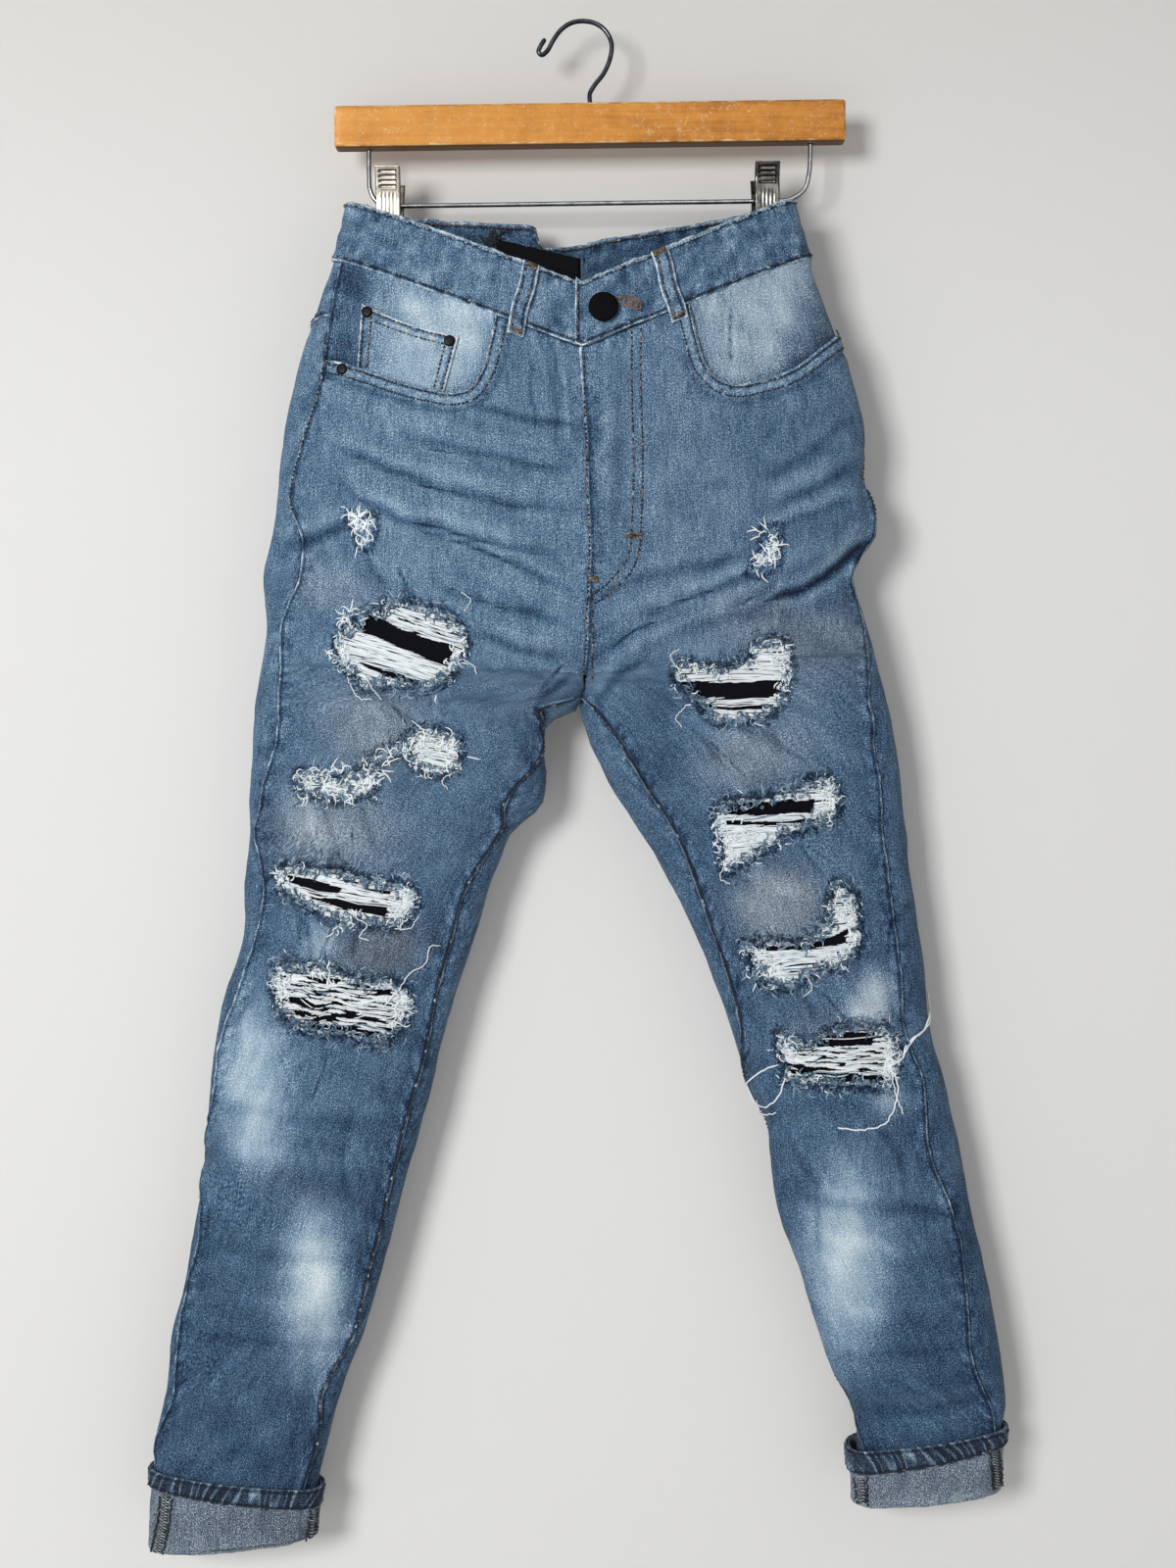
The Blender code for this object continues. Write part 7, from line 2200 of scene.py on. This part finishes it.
def rounded_box(name, size, radius, turn, centre):
    """A box whose edges are rounded: a fine cube pushed out from a smaller core.

    Each point of the cube is split into its nearest point in the core (the box less the radius)
    and a direction away from it, which is given the length of the radius.
    """
    points, quads = unit_cube(CUBE_STEPS)
    core_half = size / 2 - radius
    # many of the points lie near the edges: inside the radius the steps are even, between are few
    near, edge = np.abs(points), 1 - 8 / CUBE_STEPS
    where = np.where(near > edge, size / 2 - radius * (1 - (near - edge) / (1 - edge)),
                     near / edge * core_half) * np.sign(points)
    core = np.clip(where, -core_half, core_half)
    away = np.where(near > 0.9999, np.sign(points) * radius, where - core)
    rounded = (core + unit(away) * radius) @ turn.T + centre
    # neighbouring sides share their rims: one point is kept for each place
    _, first, inverse = np.unique(np.round(rounded, 4), axis=0, return_index=True, return_inverse=True)
    return make_object(name, rounded[first], inverse.ravel()[quads])


turn_bar = np.array(Matrix.Rotation(-BAR_TILT, 3, "Y"))
bar = rounded_box("shell_hanger_bar", BAR_SIZE, BAR_ROUNDING, turn_bar, BAR_CENTRE)
dress(bar, WOOD_FINISH, "wood_varnished", "hanger_bar")

# %% Hook and trapeze wire
WIRE = 1.6
HOOK_PATH = [(4.1, -55.9), (4.1, -48.0), (6.8, -43.3), (13.5, -34.5), (18.4, -22.3), (18.9, -13.5),
             (15.0, -5.4), (7.8, 0.0), (0.0, 1.6), (-8.8, 0.3), (-16.2, -4.7), (-21.6, -12.2),
             (-26.0, -19.6), (-29.1, -21.8), (-31.4, -19.8), (-30.2, -16.0), (-26.9, -10.8)]
TRAPEZE_PATH = [(-148.4, -85.5), (-148.4, -92), (-148.2, -106), (-147.7, -114.2), (-142.6, -123.2),
                (-137.0, -125.4), (-130.0, -126.0), (-118, -125.9), (-60, -125.1), (40, -123.7),
                (124.0, -122.6), (134.0, -122.4), (141.3, -121.6), (152.1, -114.2), (155.2, -103),
                (156.0, -88), (156.1, -81.5)]


def wire(name, path, sides=14, step=1.2):
    """A round wire along x, z points, a little thinner at its two ends, which are closed."""
    x, z = curve(path, step).T
    middle = np.stack([x, 0 * x, z], axis=-1)
    way = unit(np.gradient(middle, axis=0))
    first = np.broadcast_to(np.array([0, -1.0, 0]), way.shape)
    radius = np.full((len(middle), 1, 1), WIRE)
    radius[[0, -1]] *= 0.72
    rings = middle[:, None] + circles(first, np.cross(way, first), sides) * radius
    points = np.concatenate([rings.reshape(-1, 3), middle[[0, -1]]])
    return make_object(name, points, spun_quads(len(middle), sides))


hook = wire("shell_hanger_hook", HOOK_PATH)
dress(hook, DARK_STEEL_FINISH, "steel_dark", "hanger_hook")
trapeze = wire("shell_hanger_wire", TRAPEZE_PATH)
dress(trapeze, STEEL_FINISH, "steel_bright", "hanger_wire")

# %% Clips
CLIP_WIDTH, CLIP_SHEET = 17.0, 0.8
FLANGE_FROM, FLANGE_BEND, FLANGE_DEPTH = 0.80, 1.0, 2.6     # share of the half width, then mm
PLATE_COLUMNS, GRIP_SLOTS, RIB_PITCH = 49, 4, 1.9
FRONT_GRIP = 15.5       # length of the slotted finger grip on a front plate


def pressed(reach, across, grip_high):
    """Relief of a plate and painted shade for its slot rims, rib troughs and bent-back flanges: slots on
    the grip, ribs below it.
    """
    below = ramp(grip_high + 1, grip_high + 4, reach)[:, None]
    on_grip = (1 - ramp(grip_high, grip_high + 3, reach))[:, None] > 0.5
    press, rims = np.zeros((len(reach), len(across))), np.zeros((len(reach), len(across)))
    for row in 3.6 + 3.3 * np.arange(GRIP_SLOTS):
        slot = np.exp(-((reach - row) / 0.85) ** 4)[:, None] * np.exp(-(np.abs(across) / 0.52) ** 6)
        press -= 0.6 * slot
        press += 0.18 * bell(reach - row - 1.6, 0.6)[:, None] * (np.abs(across) < 0.6)
        shape = np.maximum(np.abs(reach - row)[:, None] / 1.15, (np.abs(across) / 0.60)[None])
        rims = np.maximum(rims, bell(shape - 1, 0.16))
    ribs = 0.22 * np.cos(across * 0.8 * CLIP_WIDTH / 2 * 2 * math.pi / RIB_PITCH) * (np.abs(across) < 0.62)
    press = press * on_grip + 0.6 * ribs[None] * below + 0.3 * (1 - ramp(0, 1.2, reach))[:, None]
    # painted shade in the slot rims and rib troughs; the return adds it on the bent-back flanges
    painted_shade = np.maximum(rims * on_grip, 0.35 * (ribs < -0.1)[None] * below)
    return press, painted_shade + 0.75 * ramp(FLANGE_FROM, 0.90, np.abs(across))[None]


def plate(name, finish, profile, centre_x, side, grip_high):
    """One pressed plate: a side view carried across, with flanges, slots and ribs pressed in.

    across is -1 to 1 over the plate. The outer fifth on each side bends back by a quarter circle.
    """
    y, z = curve(profile, 0.6).T
    reach = np.concatenate([[0], np.cumsum(np.hypot(np.diff(y), np.diff(z)))])
    across = np.linspace(-1, 1, PLATE_COLUMNS)
    way_y, way_z = np.gradient(y), np.gradient(z)
    size = np.hypot(way_y, way_z)
    # the plate's outward normal in the side view
    out_y, out_z = -way_z / size * side, way_y / size * side
    flange = np.clip((np.abs(across) - FLANGE_FROM) / (1 - FLANGE_FROM), 0, 1) * 2
    bend = np.minimum(flange, 1) * math.pi / 2
    x = np.sign(across) * (np.minimum(np.abs(across) / FLANGE_FROM, 1) * (CLIP_WIDTH / 2 - FLANGE_BEND)
                           + np.sin(bend) * FLANGE_BEND)
    back = -(1 - np.cos(bend)) * FLANGE_BEND - np.maximum(flange - 1, 0) * FLANGE_DEPTH
    press, painted_shade = pressed(reach, across, grip_high)
    lift = press + back[None] * (0.25 + 0.75 * ramp(0, 4, reach)[:, None])
    points = np.stack([centre_x + x[None] + 0 * lift, y[:, None] + out_y[:, None] * lift,
                       z[:, None] + out_z[:, None] * lift], axis=-1)
    panel = Panel(points, -side)
    # the wash mark carries the plate's painted shade to its finish
    panel.marks["wash"] = np.clip(painted_shade, 0, 0.95)
    dress(panel.build(f"shell_{name}", CLIP_SHEET), finish, "steel_bright", name)


CLIPS = {"right": (-134.6, -102.0), "left": (125.7, -98.9)}      # x of the clip, z of its grip's end
TOUCH_GAP = 0.35        # the plates stay this far off cloth and wire
for name, (clip_x, grip_z) in CLIPS.items():
    half = HALVES[name]
    wire_z = float(np.interp(clip_x, *zip(*TRAPEZE_PATH[6:12])))
    jaw_z = wire_z - 12
    gripped_x, gripped_z = np.meshgrid(clip_x + np.array([-0.5, 0, 0.5]) * CLIP_WIDTH,
                                       np.linspace(jaw_z, wire_z, 5))
    down, turn = half.locate(gripped_x, gripped_z, behind=True)
    seats = {"front": half.lifted(down, turn, 0.0)[..., 1].min() - TOUCH_GAP - 0.35,
             "back": half.lifted(down, turn, BAND)[..., 1].max() + TOUCH_GAP + 0.35}
    # the back plate is shorter, ribbed but without slots, and shifted a little to one side
    for behind, (facing, sign) in enumerate((("front", -1), ("back", 1))):
        seat = seats[facing]
        waist_y = sign * max(WIRE + TOUCH_GAP, sign * seat)
        profile = np.array([(sign * (12.0 - 2 * behind), grip_z - 7 * behind), (sign * 8.0, wire_z + 12),
                            (waist_y + sign * 0.6, wire_z + 3), (waist_y, wire_z - 4), (seat, jaw_z)])
        profile[:, 0] += sign * CLIP_SHEET
        plate(f"clip_{name}_{facing}", CLIP_FINISHES[name], profile,
              clip_x - behind * 1.8 * half.side, sign, 0.0 if behind else FRONT_GRIP)

# %% All stitches, one object for each part of the garment
STITCH_TAPER = np.array([0.28, 0.66, 0.66, 0.28])
for piece, rows in stitch_rows.items():
    paths, tints = (np.concatenate(values) for values in zip(*rows))
    dress(tubes(f"stitches_{piece}", paths, STITCH_TAPER, tints), TOPSTITCH, "topstitch")
    print(f"stitches_{piece}: {len(paths)}")

# %% [markdown]
# ## Room, light and camera
#
# A plain pale wall stands just behind the jeans, over a plain floor. One large soft
# light from the upper left front shapes the folds, and an even pale surrounding fills the shadows.
# The wall is invisible from behind, so that the back of the jeans can be looked at too.

# %% Wall and floor
def plane(name, corners, material):
    """A flat stage piece through four corners in metres."""
    mesh = bpy.data.meshes.new(name)
    mesh.from_pydata(corners, [], [(0, 1, 2, 3)])
    mesh.materials.append(material)
    placed(name, mesh)


def stage_finish(name, colour, glow, glow_strength):
    """Matt paint that glows a little, so that its shadows stay pale; it is painted darker towards the top
    as shade.

    It is transparent from behind, and mirrors see it mostly dark.
    """
    material, graph, shader = finish(name, 0.9, Specular_IOR_Level=0.1, Emission_Color=glow,
                                     Emission_Strength=glow_strength)
    # painted shade: the paint turns darker towards the top; paler is 1 low down
    paler = graph.step(graph.part(graph.place(), 2), 0.25, -0.35)
    connect(graph, shader, graph.mix(paler, srgb(206, 205, 203), colour))
    mirrored = graph.times(graph.add("LightPath").outputs["Is Glossy Ray"], 0.6)
    dim = graph.add("BsdfDiffuse", {"Color": srgb(40, 40, 42)})
    seen = graph.add("MixShader", {0: mirrored, 1: shader.outputs[0], 2: dim.outputs[0]})
    mixed = graph.add("MixShader", {0: graph.add("NewGeometry").outputs["Backfacing"], 1: seen.outputs[0],
                                    2: graph.add("BsdfTransparent").outputs[0]})
    graph.tree.links.new(mixed.outputs[0], graph.tree.nodes["Material Output"].inputs[0])
    return material


WALL_Y, FLOOR_Z, REACH, TOP_Z = 0.036, -1.25, 6, 5
plane("stage_wall", [(-REACH, WALL_Y, FLOOR_Z), (REACH, WALL_Y, FLOOR_Z), (REACH, WALL_Y, TOP_Z),
                     (-REACH, WALL_Y, TOP_Z)],
      stage_finish("wall_paint", srgb(223, 223, 223), srgb(236, 226, 210), 0.05))
plane("stage_floor", [(x * REACH, y * REACH, FLOOR_Z) for x, y in ((-1, -1), (1, -1), (1, 1), (-1, 1))],
      stage_finish("floor_paint", srgb(226, 225, 223), srgb(228, 228, 227), 0.10))

# %% Surroundings: a soft fill, seen paler by the camera and by mirrors
world = bpy.data.worlds.new("surroundings")
bpy.context.scene.world = world
world.use_nodes = True
graph = Graph(world.node_tree)
background = world.node_tree.nodes["Background"]
rays = graph.add("LightPath").outputs
fill = graph.times(graph.math("SUBTRACT", 1.0, rays["Is Camera Ray"]), 0.25)
seen = graph.times(rays["Is Camera Ray"], 0.72)
# mirrors see a bright left and a dark right, as in a room with one window
to = graph.add("TexCoord").outputs["Generated"]
from_left = graph.times(graph.step(graph.part(to, 0), 0.45, 0.20),
                        graph.step(graph.part(to, 0), -0.85, -0.5))
level = graph.step(graph.math("ABSOLUTE", graph.math("SUBTRACT", graph.part(to, 2), 0.10)), 0.90, 0.50)
mirrored = graph.sum((graph.times(from_left, level), 1.15), 0.07)
strength = graph.add("Mix", {0: rays["Is Glossy Ray"], 2: graph.sum(fill, seen), 3: mirrored},
                     data_type="FLOAT").outputs[0]
background.inputs["Color"].default_value = (0.93, 0.94, 0.96, 1)
world.node_tree.links.new(strength, background.inputs["Strength"])


def area_light(name, place, aim, size, power, colour=(1, 1, 1)):
    """A square soft light at a place in metres, turned to face a point."""
    lamp = bpy.data.lights.new(name, "AREA")
    lamp.shape = "SQUARE"
    lamp.size = size
    lamp.energy = power
    lamp.color = colour
    thing = placed(name, lamp)
    thing.location = place
    thing.rotation_euler = (Vector(aim) - Vector(place)).to_track_quat("-Z", "Y").to_euler()


area_light("key", (-1.45, -2.85, -0.05), (0.0, 0.0, -0.5), 0.9, 67.0, (1.0, 0.995, 0.98))
area_light("fill_right", (1.6, -1.6, -0.2), (0.0, 0.0, -0.55), 1.6, 3.6, (0.97, 0.98, 1.0))
area_light("behind", (0.9, 2.2, 0.8), (0.0, 0.0, -0.5), 1.8, 16.0)

# %% Camera
eye = bpy.data.cameras.new("camera")
eye.lens = 46.6
eye.sensor_width = 36.0
eye.sensor_fit = "AUTO"
camera = placed("camera", eye)
camera.location = (0.0027, -1.4, -0.5246)
camera.rotation_euler = (math.pi / 2, 0, 0)
bpy.context.scene.camera = camera
bpy.context.scene.view_settings.view_transform = "Standard"
